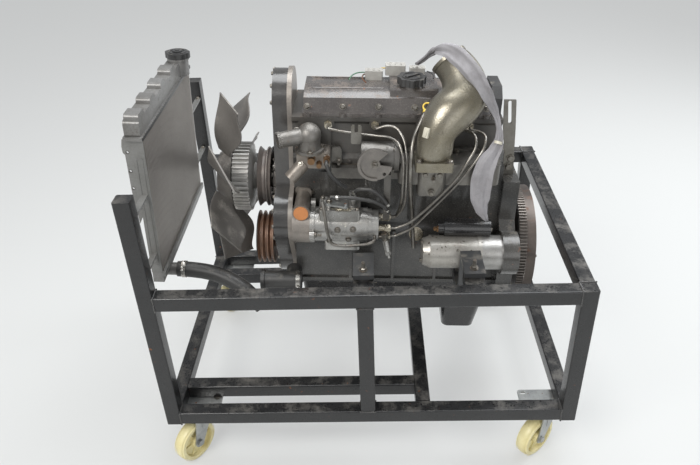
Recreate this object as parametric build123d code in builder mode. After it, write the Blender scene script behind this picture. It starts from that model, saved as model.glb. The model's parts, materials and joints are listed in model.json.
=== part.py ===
from build123d import *
import os
from math import cos, pi, radians, sin, tan

# Four-cylinder diesel engine with its fan and radiator, carried on a wheeled
# stand of square tube. Lengths in millimetres, angles in degrees. X runs along
# the stand from the radiator to the flywheel, Y away from the injection-pump
# side, Z up. The origin is on the floor, under the middle of the stand.

# Stand
STAND_L = 1110.0
STAND_W = 796.0
TUBE = 40.0
TUBE_WALL = 3.0
TUBE_CORNER = 4.0
STAND_Z = 165.0
RAIL_TOP = 434.0
TALL_POST_H = 702.0
MID_POST_X = -2.0
CROSS_X = 148.0
RUNNER_Y = (-278.0, 264.0)

# Casters
PLATE_L = 135.0
PLATE_W = 105.0
PLATE_T = 5.0
PLATE_CORNER = 8.0
SLOT_L = 16.0
SLOT_W = 9.0
SLOT_PITCH_X = 105.0
SLOT_PITCH_Y = 80.0
SWIVEL_END = 68.0
SWIVEL_SIDE = 62.0
RACE_R = 31.0
RACE_H = 8.0
RACE_GAP = 0.3
KING_R = 6.0
KING_NUT_R = 11.0
KING_NUT_H = 6.0
CROWN_T = 8.0
WHEEL_R = 62.5
WHEEL_W = 36.0
WHEEL_CROWN = 6.0
WHEEL_FILLET = 3.0
WHEEL_RIM_T = 15.0
WHEEL_WEB_W = 14.0
WHEEL_HUB_R = 19.0
WHEEL_HUB_W = 39.0
WHEEL_TRAIL = 28.0
FORK_INNER = 40.0
FORK_LEG_T = 3.5
FORK_CROWN_L = 54.0
FORK_SKIRT = 22.0
FORK_FOOT_R = 15.0
AXLE_R = 6.0
AXLE_HEAD_R = 10.0
AXLE_HEAD_H = 6.0
CASTER_YAW = {
    "front_left": -36.0,
    "front_right": -50.0,
    "back_left": -36.0,
    "back_right": 216.0,
}
BRAKED_CORNER = "front_right"
PEDAL_W = 34.0
PEDAL_REACH = 44.0
PEDAL_T = 4.0
PEDAL_SLOPE = 18.0
PEDAL_PIN_R = 3.0
PEDAL_BARREL_R = 5.0
PEDAL_PIN_Z = 133.5
PEDAL_PIN_Y = 19.0

# Fits: radial gap of a shaft in its bore and of a plug in its seat
FIT = 0.05
SEAT_GAP = 0.3
HEX_SIDES = 6
BEND_SHARE = 0.45

# Engine frame: on the crank axis, tilted down towards the flywheel
ENGINE_TILT = 2.4
FLYWHEEL_CLEAR = 57.0
ENGINE_Z = 515.0

# Block
BLOCK_L = 548.0
DECK_C = 289.0
UPPER_HALF = 95.0
SKIRT_HALF = 118.0
SKIRT_TOP_C = 52.0
SHOULDER_C = 112.0
PAN_RAIL_C = -65.0
PAN_RAIL_HALF = 125.0
PAN_RAIL_T = 10.0
CYLINDERS = 4
BORE_PITCH = 118.0
BORE_FIRST = 92.0
BARREL_R = 52.0
BARREL_PROUD = 7.0
BARREL_BOTTOM_C = 124.0
BARREL_TOP_C = 268.0
FLANGE_A = BLOCK_L
FLANGE_T = 42.0
FLANGE_R = 184.0
FLANGE_FOOT_C = -108.0
FLANGE_TOP_C = 254.0
FLANGE_TOP_HALF = 118.0
HOUSING_BOLT_R = 172.0
HOUSING_BOLT_HOLE_R = 6.0
HOUSING_BOLT_ANGLES = (8.0, 32.0, 56.0, 124.0, 180.0, 204.0, 328.0)
CRANK_R = 30.0
RIB_T = 8.0
RIB_PROUD = 8.0

# Head and its cover
HEAD_SHORT = 18.0
HEAD_L = BLOCK_L - HEAD_SHORT
HEAD_TOP_C = 418.0
HEAD_HALF = 95.0
HEAD_FOOT_T = 16.0
HEAD_WAIST = 10.0
PORT_BOSS_R = 25.0
INJECTOR_BOSS_R = 15.0
INJECTOR_C = 401.0
COVER_A = 26.0
COVER_SHORT = 30.0
COVER_END_A = HEAD_L - COVER_SHORT
COVER_FLANGE_T = 9.0
COVER_FLANGE_HALF = 95.0
COVER_WALL = 4.0
COVER_FOOT_HALF = 88.0
COVER_RIDGE_HALF = 74.0
COVER_RIDGE_C = 462.0
COVER_CROWN_HALF = 46.0
COVER_CROWN_C = 474.0
COVER_EAR_R = 13.0
COVER_EARS = 6
STEP_A = 246.0
STEP_END_A = 366.0
STEP_HALF = 66.0
STEP_C = 484.0
FILLER_A = 300.0
FILLER_B = -40.0
FILLER_NECK_R = 27.0
FILLER_TOP_C = 490.0
CAP_R = 37.0
CAP_C = 508.0
CAP_KNOBS = 8
CAP_KNOB_R = 9.0
CAP_PLUG_R = 20.0
CAP_PLUG_H = 14.0

# Timing case
CASE_FRONT_A = -50.0
CASE_SPLIT_A = -12.0
CAM_C = 430.0
CAM_LOBE_R = 78.0
CRANK_LOBE_R = 96.0
DRIVE_B = -112.0
DRIVE_C = 140.0
DRIVE_LOBE_R = 70.0
IDLER_B = 52.0
IDLER_C = 180.0
IDLER_LOBE_R = 62.0
PLATE_STEP = 5.0
CASE_RIM = 9.0
CASE_PANEL = 5.0
SEAL_BOSS_R = 40.0
SEAL_BOSS_T = 6.0

# Oil pan
PAN_FLANGE_T = 4.0
PAN_WALL = 3.0
PAN_HALF = 112.0
PAN_SHALLOW_C = -126.0
PAN_TAPER = 8.0
PAN_CORNER = 20.0
PAN_INSET = 10.0
WELL_L = 152.0
WELL_PROUD = 8.0
WELL_END_A = BLOCK_L + WELL_PROUD
WELL_A = WELL_END_A - WELL_L
WELL_HALF = 104.0
WELL_C = -276.0
WELL_FOOT_L = 96.0
WELL_FOOT_W = 128.0
DRAIN_R = 12.0
DRAIN_H = 9.0

# Crankshaft, pulley and flywheel
NOSE_A = -112.0
NOSE_R = 17.0
JOURNAL_A = -30.0
CRANK_FLANGE_SET = 44.0
CRANK_FLANGE_A = BLOCK_L + CRANK_FLANGE_SET
CRANK_FLANGE_R = 46.0
PULLEY_A = -118.0
PULLEY_END_A = -70.0
PULLEY_R = 76.0
PULLEY_GROOVES = 3
PULLEY_LAND = 3.0
PULLEY_GROOVE_D = 12.0
PULLEY_FLANK_IN = 0.34
PULLEY_FLANK_OUT = 0.76
PULLEY_HUB_STEP = 4.0
PULLEY_HUB_GAP = 2.0
PULLEY_FACE_D = 22.0
PULLEY_RIM_R = 58.0
PULLEY_HUB_R = 30.0
CRANK_BOLT_R = 14.0
CRANK_BOLT_H = 12.0
FLYWHEEL_SET = 13.0
FLYWHEEL_A = CRANK_FLANGE_A + FLYWHEEL_SET
FLYWHEEL_T = 48.0
ENGINE_X = STAND_L / 2 - TUBE - FLYWHEEL_CLEAR - FLYWHEEL_A - FLYWHEEL_T
FLYWHEEL_R = 160.0
FLYWHEEL_RECESS_R = 92.0
FLYWHEEL_RECESS_D = 4.0
FLYWHEEL_BEVEL = 8.0
FLYWHEEL_LIP = 3.0
FLYWHEEL_BACK_R = 120.0
FLYWHEEL_BACK_D = 16.0
FLYWHEEL_STEP_D = 6.0
FLYWHEEL_STEP_EDGE = 2.0
FLYWHEEL_STEP_R = 80.0
FLYWHEEL_WEB_R = 72.0
PILOT_R = 15.0
CLUTCH_PCR = 146.0
CLUTCH_HOLES = 6
CLUTCH_HOLE_R = 4.5
CLUTCH_HOLE_D = 20.0
CLUTCH_PHASE = 30.0
CRANK_BOLT_PCR = 34.0
CRANK_BOLTS = 8
CRANK_BOLT_HEAD_R = 8.0
CRANK_BOLT_HEAD_H = 8.0
GEAR_SET = 2.0
GEAR_A = FLYWHEEL_A + GEAR_SET
GEAR_T = 20.0
GEAR_TEETH = 120
GEAR_TIP_R = 171.0
GEAR_ROOT_R = 166.0
GEAR_BAND_T = 8.0
GEAR_TIP_SHARE = 0.34
GEAR_ROOT_SHARE = 0.42

# Water pump, its pulley, the viscous clutch and the fan
PUMP_AXIS_C = 200.0
WATER_PUMP_R = 56.0
WATER_PUMP_T = 12.0
WATER_PUMP_NOSE_R = 24.0
WATER_PUMP_NOSE_A = -86.0
WATER_PUMP_FLARE = 8.0
WATER_PUMP_EARS = 5
SPINDLE_R = 8.0
SPINDLE_FRONT_A = -112.0
SPINDLE_BACK_A = -64.0
SPINDLE_END_GAP = 1.0
WP_PULLEY_A = -102.0
WP_PULLEY_END_A = -67.0
WP_PULLEY_R = 83.0
WP_GROOVE_D = 11.0
WP_RIM_T = 6.0
WP_WEB_T = 5.0
WP_HUB_R = 28.0
WP_GROOVE_A = 6.0
WP_CREST_A = 5.0
WP_CREST_END_A = 8.0
WP_CREST_DROP = 1.0
WP_REAR_GROOVE_A = 11.0
WP_LIP_T = 5.0
WP_DISH_A = 9.0
WP_DISH_DROP = 4.0
CLUTCH_A = -168.0
CLUTCH_END_A = -118.0
CLUTCH_R = 86.0
CLUTCH_FIN_TIP_R = 95.0
CLUTCH_FINS = 44
CLUTCH_FIN_T = 3.6
CLUTCH_NECK_R = 30.0
CLUTCH_NECK_A = -105.6
CLUTCH_NECK_FLARE = 8.0
CLUTCH_SHOULDER_R = 60.0
CLUTCH_FACE_FIN_H = 7.0
FAN_BLADES = 7
FAN_HUB_R = 84.0
FAN_HUB_T = 5.0
FAN_HUB_A = -212.0
FAN_HUB_FRONT_R = 66.0
FAN_BORE_R = 44.0
FAN_SEAT_R = 58.0
FAN_SEAT_T = 8.0
FAN_DISH_T = 7.0
FAN_DISH_STEP = 4.0
FAN_RING_A = -172.0
FAN_BLADE_T = 4.0
FAN_PHASE = 8.0
FAN_STATIONS = (
    (76.0, 62.0, 40.0, 0.0, -195.0),
    (99.0, 78.0, 40.0, 5.0, -194.0),
    (132.0, 112.0, 44.0, 10.0, -182.0),
    (178.0, 124.0, 38.0, 2.0, -173.0),
    (226.0, 128.0, 30.0, -6.0, -168.0),
)

# Coolant castings
COOLANT_A = 14.0
COOLANT_END_A = 98.0
COOLANT_B = -148.0
COOLANT_C = 302.0
COOLANT_TOP_C = 344.0
COOLANT_CORNER = 9.0
DOME = (46.0, -133.0, 388.0)
DOME_R = 30.0
DOME_FLANGE_R = 36.0
DOME_FLANGE_T = 8.0
DOME_NECK_R = 28.0
OUTLET_END = (-30.0, -163.0, 384.0)
SPIGOT_R = 20.0
SPIGOT_WALL = 4.0
SPIGOT_BORE_D = 26.0
STUB_ROOT = (32.0, -134.0, 309.0)
STUB_END = (-4.0, -152.0, 274.0)
STUB_R = 18.0
INLET_A = 24.0
INLET_C = 194.0
INLET_R = 20.0
INLET_B = -96.0
INLET_END_B = -190.0
INLET_COLLAR_R = 22.0
INLET_COLLAR_L = 12.0
INLET_FLANGE_EDGE = 6.0
INLET_FLANGE_T = 8.0
PLUG_H = 6.0
PLUG_STEP = 1.0
SENSOR_R = 9.0
SENSOR_HEX_R = 11.0
SENSOR_HEX_H = 7.0
SENSOR_H = 15.0
SENSORS = ((52.0, 331.0, 1.0), (71.0, 317.0, 0.7), (90.0, 331.0, 0.85))

# Injection pump and its pipes
PUMP_B = -152.0
PUMP_C = 140.0
PUMP_BARREL_R = 46.0
PUMP_A = 46.0
PUMP_HEAD_A = 196.0
PUMP_HEAD_END_A = 224.0
PUMP_RING_R = 40.0
PUMP_FLANGE_T = 12.0
PUMP_FLANGE_R = 50.0
PUMP_EAR_R = 12.0
PUMP_EAR_PCR = 56.0
PUMP_EARS = 3
PUMP_EAR_PHASE = 60.0
PUMP_FLANGE_EDGE = 4.0
PUMP_BAND_R = 43.0
PUMP_BAND_L = 10.0
TOP_COVER_A = 70.0
TOP_COVER_END_A = 176.0
TOP_COVER_HALF = 36.0
TOP_COVER_C = 202.0
TOP_COVER_CORNER = 8.0
LOW_COVER_C = 74.0
LOW_COVER_INSET = 12.0
FEED_POST_BACK = 20.0
FEED_POST_R = 10.0
FEED_POST_H = 36.0
LEVER_POST_A = 96.0
LEVER_POST_B = -172.0
LEVER_POST_R = 7.0
LEVER_POST_H = 18.0
LEVER_T = 5.0
LEVER_EYE_R = 12.0
LEVER_ARM_L = 46.0
LEVER_ARM_R = 6.5
LEVER_DROOP = 22.0
LEVER_TOP_GAP = 2.0
LEVER_PIN_R = 4.5
VALVE_R = 8.5
VALVE_L = 32.0
VALVE_NUT_R = 10.5
VALVE_NUT_L = 14.0
VALVE_NUT_SET = 2.0
VALVE_PCR = 29.0
VALVE_TURNS = (-80.0, 10.0, 75.0, 150.0)
INJECTOR_R = 8.0
INJECTOR_L = 16.0
INJECTOR_HEX_R = 11.0
INJECTOR_HEX_H = 7.0
PIPE_R = 3.4
OVERFLOW_R = 4.2
HOSE_R = 5.0
PIPE_LEAD = 14.0
PIPE_ROUTES = (
    (
        (280.0, -150.0, 190.0), (281.0, -180.0, 232.0), (281.0, -188.0, 272.0),
        (281.0, -188.0, 318.0), (279.0, -185.0, 352.0), (270.0, -167.0, 382.0),
        (246.0, -140.0, 388.0), (214.0, -127.0, 384.0), (170.0, -122.0, 386.0),
        (124.0, -125.0, 394.0),
    ),
    (
        (288.0, -172.0, 206.0), (290.0, -185.0, 250.0), (290.0, -188.0, 300.0),
        (289.0, -182.0, 346.0), (282.0, -158.0, 388.0), (262.0, -132.0, 410.0),
        (236.0, -127.0, 412.0),
    ),
    (
        (304.0, -184.0, 166.0), (336.0, -190.0, 203.0), (376.0, -196.0, 254.0),
        (412.0, -198.0, 303.0), (436.0, -192.0, 350.0), (456.0, -178.0, 384.0),
        (452.0, -150.0, 406.0), (418.0, -127.0, 406.0), (376.0, -118.0, 400.0),
        (346.0, -125.0, 398.0),
    ),
    (
        (312.0, -172.0, 142.0), (342.0, -180.0, 186.0), (378.0, -187.0, 234.0),
        (418.0, -190.0, 288.0), (450.0, -188.0, 338.0), (476.0, -176.0, 380.0),
        (480.0, -148.0, 400.0), (462.0, -130.0, 402.0),
    ),
)
OVERFLOW_ROUTE = (
    (80.0, -206.0, 240.0), (86.0, -214.0, 206.0), (93.0, -216.0, 152.0), (101.0, -216.0, 116.0),
    (140.0, -214.0, 111.0), (192.0, -213.0, 116.0), (214.0, -205.0, 122.0),
    (215.0, -190.9, 127.0),
)
HOSE_ROUTES = (
    (
        (100.0, -196.0, 246.0), (150.0, -203.0, 250.0), (204.0, -205.0, 243.0),
        (234.0, -197.0, 226.0), (249.0, -191.3, 200.0),
    ),
    (
        (156.0, -176.0, 242.0), (168.0, -190.0, 268.0), (204.0, -199.0, 272.0),
        (228.0, -198.0, 252.0), (246.0, -194.0, 222.0),
    ),
    (
        (90.0, -168.1, 331.0), (90.0, -180.0, 331.0), (98.0, -182.0, 306.0),
        (117.0, -176.0, 279.0), (140.0, -166.0, 258.0),
    ),
)
DIPSTICK_ROUTE = (
    (297.0, 80.0, 340.0), (299.0, 76.0, 280.0), (306.0, 54.0, 222.0),
    (313.0, 32.0, 160.0), (320.0, 12.0, 96.0), (324.0, 5.25, 50.0),
)
STRUT_A = 234.0
STRUT_W = 17.0
STRUT_T = 4.0
STRUT_B = -186.0
STRUT_C = 176.0
STRUT_TOP_C = 292.0
STRUT_FOLD = 14.0
STRUT_BACK_B = -150.0

# Intake side
LOG_A = 270.0
LOG_END_A = 522.0
LOG_B = -178.0
LOG_BACK_B = -112.0
LOG_C = 276.0
LOG_TOP_C = 332.0
LOG_CORNER = 14.0
SLIM_B = -124.0
SLIM_C = 262.0
SLIM_TOP_C = 291.0
PORT_FLANGE_T = 8.0
PORT_FLANGE_HALF = 34.0
PORT_C = 318.0
PORT_HALF_H = 22.0
INTAKE_GAP = 2.0
INTAKE_BRANCH_C = 312.0
INTAKE_BRANCH_L = 37.0
RISER_A = 318.0
RISER_END_A = 388.0
RISER_B = -190.0
RISER_C = 250.0
RISER_TOP_C = 332.0
ELBOW_A = 353.0
ELBOW_B = -182.0
ELBOW_FLANGE_L = 92.0
ELBOW_FLANGE_W = 78.0
ELBOW_FLANGE_T = 24.0
ELBOW_STATIONS = (
    ((353.0, -182.0, 356.0), (0.0, 0.0, 1.0), 40.0, 34.0),
    ((355.0, -180.0, 402.0), (0.15, 0.1, 1.0), 44.0, 41.0),
    ((377.0, -164.0, 450.0), (0.65, 0.4, 0.9), 53.0, 50.0),
    ((413.0, -139.0, 486.0), (0.35, 0.5, 1.0), 57.0, 54.0),
    ((418.0, -105.0, 524.0), (-0.35, 0.6, 1.0), 52.0, 51.0),
    ((388.0, -62.0, 555.0), (-0.7, 0.6, 0.75), 45.0, 45.0),
)
ELBOW_LIP_R = 47.0
ELBOW_LIP_L = 8.0
ELBOW_BORE_D = 42.0
ELBOW_WALL = 6.0
SHIELD_B = -190.0
SHIELD_T = 5.0
SHIELD_A = 352.0
SHIELD_C = 306.0
SHIELD_R = 26.0
SHIELD_TIP_C = 264.0
SHIELD_TIP_R = 11.0
SHIELD_BOLT_R = 7.0
SHIELD_SLOT_PITCH = 13.0
SHIELD_SLOT_W = 6.0
SHIELD_SLOT_TURN = 75.0
SHIELD_SLOT_SHIFT = 3.0
SHIELD_SLOT_RISE = 2.0
THROTTLE_B = -140.0
THROTTLE_C = 336.0
THROTTLE_R = 36.0
THROTTLE_A = 176.0
THROTTLE_RING_R = 42.0
THROTTLE_RING_T = 12.0
THROTTLE_WALL = 5.0
THROTTLE_BORE_D = 22.0
THROTTLE_SHAFT_STOP = 8.0
THROTTLE_SHAFT_A = 210.0
THROTTLE_SHAFT_R = 5.0
THROTTLE_BOSS_R = 11.0
THROTTLE_BOSS_B = -186.0
QUADRANT_T = 4.0
QUADRANT_R = 43.0
QUADRANT_HUB_R = 13.0
QUADRANT_TRACK_R = 36.0
QUADRANT_TRACK_W = 5.0
QUADRANT_OPEN = (-9.5, 45.0)
TRACK_OPEN = (-80.5, 56.3)
QUADRANT_HOLE_A = 24.0
QUADRANT_HOLE_DROP = 26.0
QUADRANT_HOLE_R = 4.5
QUADRANT_SHAFT_L = 30.0

# Starter
STARTER_B = -178.0
STARTER_C = 75.0
STARTER_R = 44.0
STARTER_L = 136.0
STARTER_BAND_L = 10.0
STARTER_NOSE_L = 52.0
STARTER_END_A = BLOCK_L - STARTER_NOSE_L
STARTER_A = STARTER_END_A - STARTER_L
STARTER_BAND_A = STARTER_END_A - STARTER_BAND_L
STARTER_CAP_T = 18.0
STARTER_CAP_R = 42.0
STARTER_CAP_TIP_R = 35.0
NOSE_HOUSING_R = 46.0
NOSE_SMALL_R = 38.0
SOLENOID_R = 24.0
SOLENOID_LIFT = 62.0
SOLENOID_L = 98.0
SOLENOID_SHIFT = 24.0
SOLENOID_CAP_R = 17.0
SOLENOID_CAP_L = 16.0
SOLENOID_NOSE_L = 22.0
STARTER_LOBE_R = 58.0

# Exhaust side
EXHAUST_B = 95.0
EXHAUST_C = 338.0
EXHAUST_LOG_B = 158.0
EXHAUST_LOG_R = 26.0
EXHAUST_RUNNER_R = 20.0
EXHAUST_FLANGE_T = 9.0
EXHAUST_FLANGE_HALF = 30.0
EXHAUST_FLANGE_HALF_H = 26.0
EXHAUST_OUTLET_A = 320.0
EXHAUST_OUTLET_C = 236.0
OUTLET_FLANGE_R = 50.0
OUTLET_FLANGE_T = 10.0
OUTLET_BORE_R = 22.0
OUTLET_BORE_D = 24.0
OUTLET_PCR = 41.0
OUTLET_HOLE_R = 4.5
OUTLET_HOLES = 3
OUTLET_PHASE = 45.0
EXHAUST_STEM_R = 28.0

# Dipstick
DIPSTICK_TOP = (331.0, -112.0, 440.0)
DIPSTICK_BEND = (300.0, -172.0, 396.0)
DIPSTICK_TUBE_R = 5.0
DIPSTICK_BORE_R = 3.2
DIPSTICK_ROD_R = 2.6
DIPSTICK_STEM = 66.0
DIPSTICK_TIP_GAP = 4.0
DIPSTICK_RING_R = 11.0
DIPSTICK_RING_WIRE = 2.2
DIPSTICK_COLLAR_R = 6.5
DIPSTICK_COLLAR_H = 8.0

# Engine mounts
MOUNT_A = (190.0, 463.0)
MOUNT_PAD_DROP = (10.0, 41.0)
ARM_W = 52.0
ARM_T = 12.0
ARM_PAD_H = 58.0
ARM_RISE_Y = 238.0
ARM_REACH_Y = 338.0
BRACKET_W = 50.0
BRACKET_WALL = 5.0
BRACKET_H = 30.0
BRACKET_L = 58.0
BUSH_R = 19.0
BUSH_H = 9.0
BUSH_INSET = 4.0

# Radiator, in its own frame: across, up, and out of the face towards the fan
RAD_SET = 42.0
RAD_X = RAD_SET - STAND_L / 2
RAD_Z = 772.0
RAD_LEAN = 3.3
CORE_W = 480.0
CORE_MID_Y = -24.0
CORE_H = 372.0
CORE_T = 28.0
SIDE_T = 3.0
SIDE_OUTLINE = (
    (-4.0, 186.0), (-48.0, 186.0), (-51.0, 168.0), (-50.0, 152.0), (-45.5, 147.0),
    (-44.0, 50.0), (-37.0, -40.0), (-11.0, 15.0), (-5.0, 116.0),
)
SIDE_HOLE_N = -39.0
SIDE_HOLES = (154.0, 105.0, 59.0)
SIDE_HOLE_R = 3.0
TANK_W = 504.0
TANK_H = 52.0
TANK_T = 42.0
TANK_FOOT = 9.0
TANK_LIP = 2.0
TANK_INSET = 3.0
TANK_RIBS = 4
TANK_RIB_W = 46.0
TANK_RIB_H = 14.0
TANK_RIB_START = 10.0
BOTTOM_TANK_H = 34.0
FOOT_RAIL_T = 14.0
NECK_W = 150.0
NECK_N = -8.0
NECK_R = 27.0
NECK_H = 48.0
NECK_RIM_R = 30.0
NECK_RIM_H = 5.0
RAD_CAP_R = 34.0
RAD_CAP_H = 15.0
RAD_CAP_EARS = 4.0
RAD_OUTLET_W = -206.0
RAD_OUTLET_R = 17.0
RAD_OUTLET_DROP = 32.0
RAD_OUTLET_L = 26.0
RAD_OUTLET_SINK = 4.0
HANGER_T = 5.0
HANGER_V = (-132.0, 38.0)
HANGER_W = 15.0
HANGER_SET = 22.0

# Lower hose: hangs free from the radiator's lower outlet; X from the radiator
HOSE_OUTER_R = 21.0
HOSE_LEAD = 30.0
HOSE_ROUTE = (
    (97.0, -211.0, 544.0),
    (132.0, -219.0, 534.0),
    (166.0, -229.0, 519.0),
    (197.0, -240.0, 499.0),
    (233.0, -255.5, 459.0),
)

# Loose hose stub low on the front corner
STUB_HOSE_R = 25.0
STUB_HOSE_C = -34.0
STUB_HOSE_B = -168.0
STUB_HOSE_A = -94.0
STUB_HOSE_END_A = 18.0
STUB_RIM_R = 29.0
STUB_RIM_L = 10.0
STUB_WALL = 5.0
STUB_BORE_D = 40.0
STUB_ELBOW_R = 22.0

# Brackets and the rear cover
FORK_A = 150.0
FORK_W = 26.0
FORK_C = 368.0
FORK_TOP_C = 418.0
FORK_B = -137.0
FORK_T = 5.0
FORK_NOTCH_W = 9.0
FORK_NOTCH_D = 20.0
UPRIGHT = 90.0
LINK_SET = -2.0
LINK_A = BLOCK_L + LINK_SET
LINK_TOP_C = 460.0
LINK_LOW_C = 384.0
LINK_HALF_W = 15.0
LINK_SLOT_HALF_W = 4.5
LINK_B = -64.0
LINK_T = 7.0
LINK_FOOT_SET = 17.0
LINK_FOOT_A = BLOCK_L + LINK_FOOT_SET
LINK_KNEE_SET = 18.0
LINK_KNEE_A = BLOCK_L + LINK_KNEE_SET
LINK_KNEE_C = 318.0
LINK_KNEE_BACK = 17.0
LINK_FLARE = 8.0
LINK_NECK_IN = 6.0
LINK_SLOT_SHIFT = 3.0
LINK_SLOT_RISE = 6.0
LINK_SLOT_L = 62.0
LINK_SLOT_TURN = 97.0
REAR_COVER_SET = 2.0
REAR_COVER_L = 26.0
REAR_COVER_A = COVER_END_A + REAR_COVER_SET
REAR_COVER_END_A = REAR_COVER_A + REAR_COVER_L
REAR_COVER_HALF = 62.0
REAR_COVER_C = 484.0
REAR_COVER_BEVEL = 24.0
PLUG_CORNER = 4.0
PLUGS = (
    (206.0, 34.0, 474.0, 46.0, 28.0, 24.0),
    (262.0, 44.0, 484.0, 52.0, 30.0, 26.0),
    (318.0, 36.0, 484.0, 40.0, 26.0, 22.0),
)

# Harness: cloth sleeve from the plugs, over the elbow and down to its loose tail
SLEEVE_R = 8.0
SLEEVE_ROUTE = (
    (316.0, 34.0, 514.3), (329.0, 3.0, 535.0), (341.0, -32.0, 562.0), (354.0, -68.0, 586.0),
    (376.0, -102.0, 597.0), (402.0, -133.0, 586.0), (427.0, -157.0, 565.0),
    (450.0, -171.0, 537.0), (472.0, -170.0, 502.0), (491.0, -162.0, 469.0),
    (504.0, -160.0, 437.0), (511.0, -166.0, 405.0), (502.0, -180.0, 376.0),
    (484.0, -191.0, 352.0), (475.0, -196.0, 320.0), (473.0, -199.0, 286.0),
    (474.0, -202.0, 250.0), (481.0, -204.0, 216.0), (499.0, -202.0, 187.0),
)


ENGINE = Plane(
    origin=(ENGINE_X, 0, ENGINE_Z),
    x_dir=(cos(radians(ENGINE_TILT)), 0, -sin(radians(ENGINE_TILT))),
    z_dir=(sin(radians(ENGINE_TILT)), 0, cos(radians(ENGINE_TILT))),
)
FRONT = (-1, 0, 0)
REAR = (1, 0, 0)
NEAR = (0, -1, 0)
FAR = (0, 1, 0)
UP = (0, 0, 1)
DOWN = (0, 0, -1)
FLOOR_UP = (Align.CENTER, Align.CENTER, Align.MIN)


def engine_point(a, b, c):
    """Point given along the crank, away from the pump side, and up."""
    return ENGINE.from_local_coords((a, b, c))


def engine_way(way):
    """Direction given in the engine's own axes."""
    return engine_point(*way) - ENGINE.origin


def spot(a, b, c, way=UP):
    """Plane at an engine point, facing one way in the engine's axes."""
    return Plane(origin=engine_point(a, b, c), z_dir=engine_way(way))


def across(a):
    """Plane square to the crank: its sketches hold (b, c) and extrude to the rear."""
    return Plane(origin=engine_point(a, 0, 0), x_dir=engine_way(FAR), z_dir=engine_way(REAR))


def beside(b):
    """Upright plane along the crank: its sketches hold (a, c) and extrude to the near side."""
    return Plane(origin=engine_point(0, b, 0), x_dir=engine_way(REAR), z_dir=engine_way(NEAR))


def above(c):
    """Plane along the crank seen from above: its sketches hold (a, b) and extrude up."""
    return Plane(origin=engine_point(0, 0, c), x_dir=engine_way(REAR), z_dir=engine_way(UP))


def rod(place, radius, length, mode=Mode.ADD):
    """Round bar that stands on a plane."""
    with Locations(place):
        Cylinder(radius, length, align=FLOOR_UP, mode=mode)


def taper(place, radius, end_radius, length, mode=Mode.ADD):
    """Round bar that narrows or widens as it leaves its plane."""
    with Locations(place):
        Cone(radius, end_radius, length, align=FLOOR_UP, mode=mode)


def bar(plane, x0, x1, y0, y1, length, corner=0.0, mode=Mode.ADD):
    """Rectangular bar between limits on a plane."""
    with BuildSketch(plane) as face:
        with Locations(((x0 + x1) / 2, (y0 + y1) / 2)):
            if corner > 0:
                RectangleRounded(x1 - x0, y1 - y0, corner)
            else:
                Rectangle(x1 - x0, y1 - y0)
    extrude(face.sketch, amount=length, mode=mode)


def outline(plane, points, length, mode=Mode.ADD):
    """Straight-sided bar with the outline of a few points."""
    with BuildSketch(plane) as face:
        with BuildLine():
            Polyline(*points, close=True)
        make_face()
    extrude(face.sketch, amount=length, mode=mode)


def spin(plane, points, axis):
    """Turned solid from a closed half outline."""
    with BuildSketch(plane) as face:
        with BuildLine():
            Polyline(*points, close=True)
        make_face()
    revolve(face.sketch, axis=axis)


def bend_radii(points):
    """Arc of each corner of a route: as large as its two runs allow."""
    radii = []
    for before, corner, after in zip(points, points[1:], points[2:]):
        first = corner - before
        second = after - corner
        half_turn = radians(first.get_angle(second)) / 2
        shorter = min(first.length, second.length)
        radii.append(BEND_SHARE * shorter / tan(half_turn))
    return radii


def pipe(points, radius):
    """Round pipe along a route of straight runs joined by tangent arcs."""
    radii = bend_radii(points)
    with BuildLine() as route:
        if radii:
            FilletPolyline(*points, radius=radii)
        else:
            Polyline(*points)
    path = route.wires()[0]
    with BuildSketch(Plane(origin=path @ 0, z_dir=path % 0)) as section:
        Circle(radius)
    sweep(section.sketch, path=path)
    return radii


def engine_pipe(points, radius):
    """Pipe whose route is given in the engine's axes."""
    return pipe([engine_point(*point) for point in points], radius)


def save(part, name):
    """Write one piece as its own file."""
    part.label = name
    export_step(part, f"parts/{name}.step")


os.makedirs("parts", exist_ok=True)

half_l = STAND_L / 2
mount_x = [ENGINE_X + a for a in MOUNT_A]
half_w = STAND_W / 2
swivel_x = half_l - SWIVEL_END
swivel_y = half_w - SWIVEL_SIDE
post_x = half_l - TUBE / 2
post_y = half_w - TUBE / 2
inner_x = half_l - TUBE
inner_y = half_w - TUBE
rail_z = STAND_Z + RAIL_TOP - TUBE / 2
base_z = STAND_Z + TUBE / 2
bracket_top_z = STAND_Z + RAIL_TOP - BRACKET_WALL


def post(x, y, z, height, closed):
    """Upright tube, with a welded cap where its end shows."""
    with BuildSketch(Plane.XY.offset(z)) as outer:
        with Locations((x, y)):
            RectangleRounded(TUBE, TUBE, TUBE_CORNER)
    extrude(outer.sketch, amount=height)
    bore = height - TUBE_WALL if closed else height
    with BuildSketch(Plane.XY.offset(z)) as inner:
        with Locations((x, y)):
            Rectangle(TUBE - 2 * TUBE_WALL, TUBE - 2 * TUBE_WALL)
    extrude(inner.sketch, amount=bore, mode=Mode.SUBTRACT)


def rail(start, way, length):
    """Level tube from the middle of one end, cut a hair short at both ends."""
    first = Vector(*start) + Vector(*way) * FIT
    plane = Plane(origin=first, x_dir=(way[1], way[0], 0), z_dir=way)
    with BuildSketch(plane) as section:
        RectangleRounded(TUBE, TUBE, TUBE_CORNER)
        Rectangle(TUBE - 2 * TUBE_WALL, TUBE - 2 * TUBE_WALL, mode=Mode.SUBTRACT)
    extrude(section.sketch, amount=length - 2 * FIT)


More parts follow.
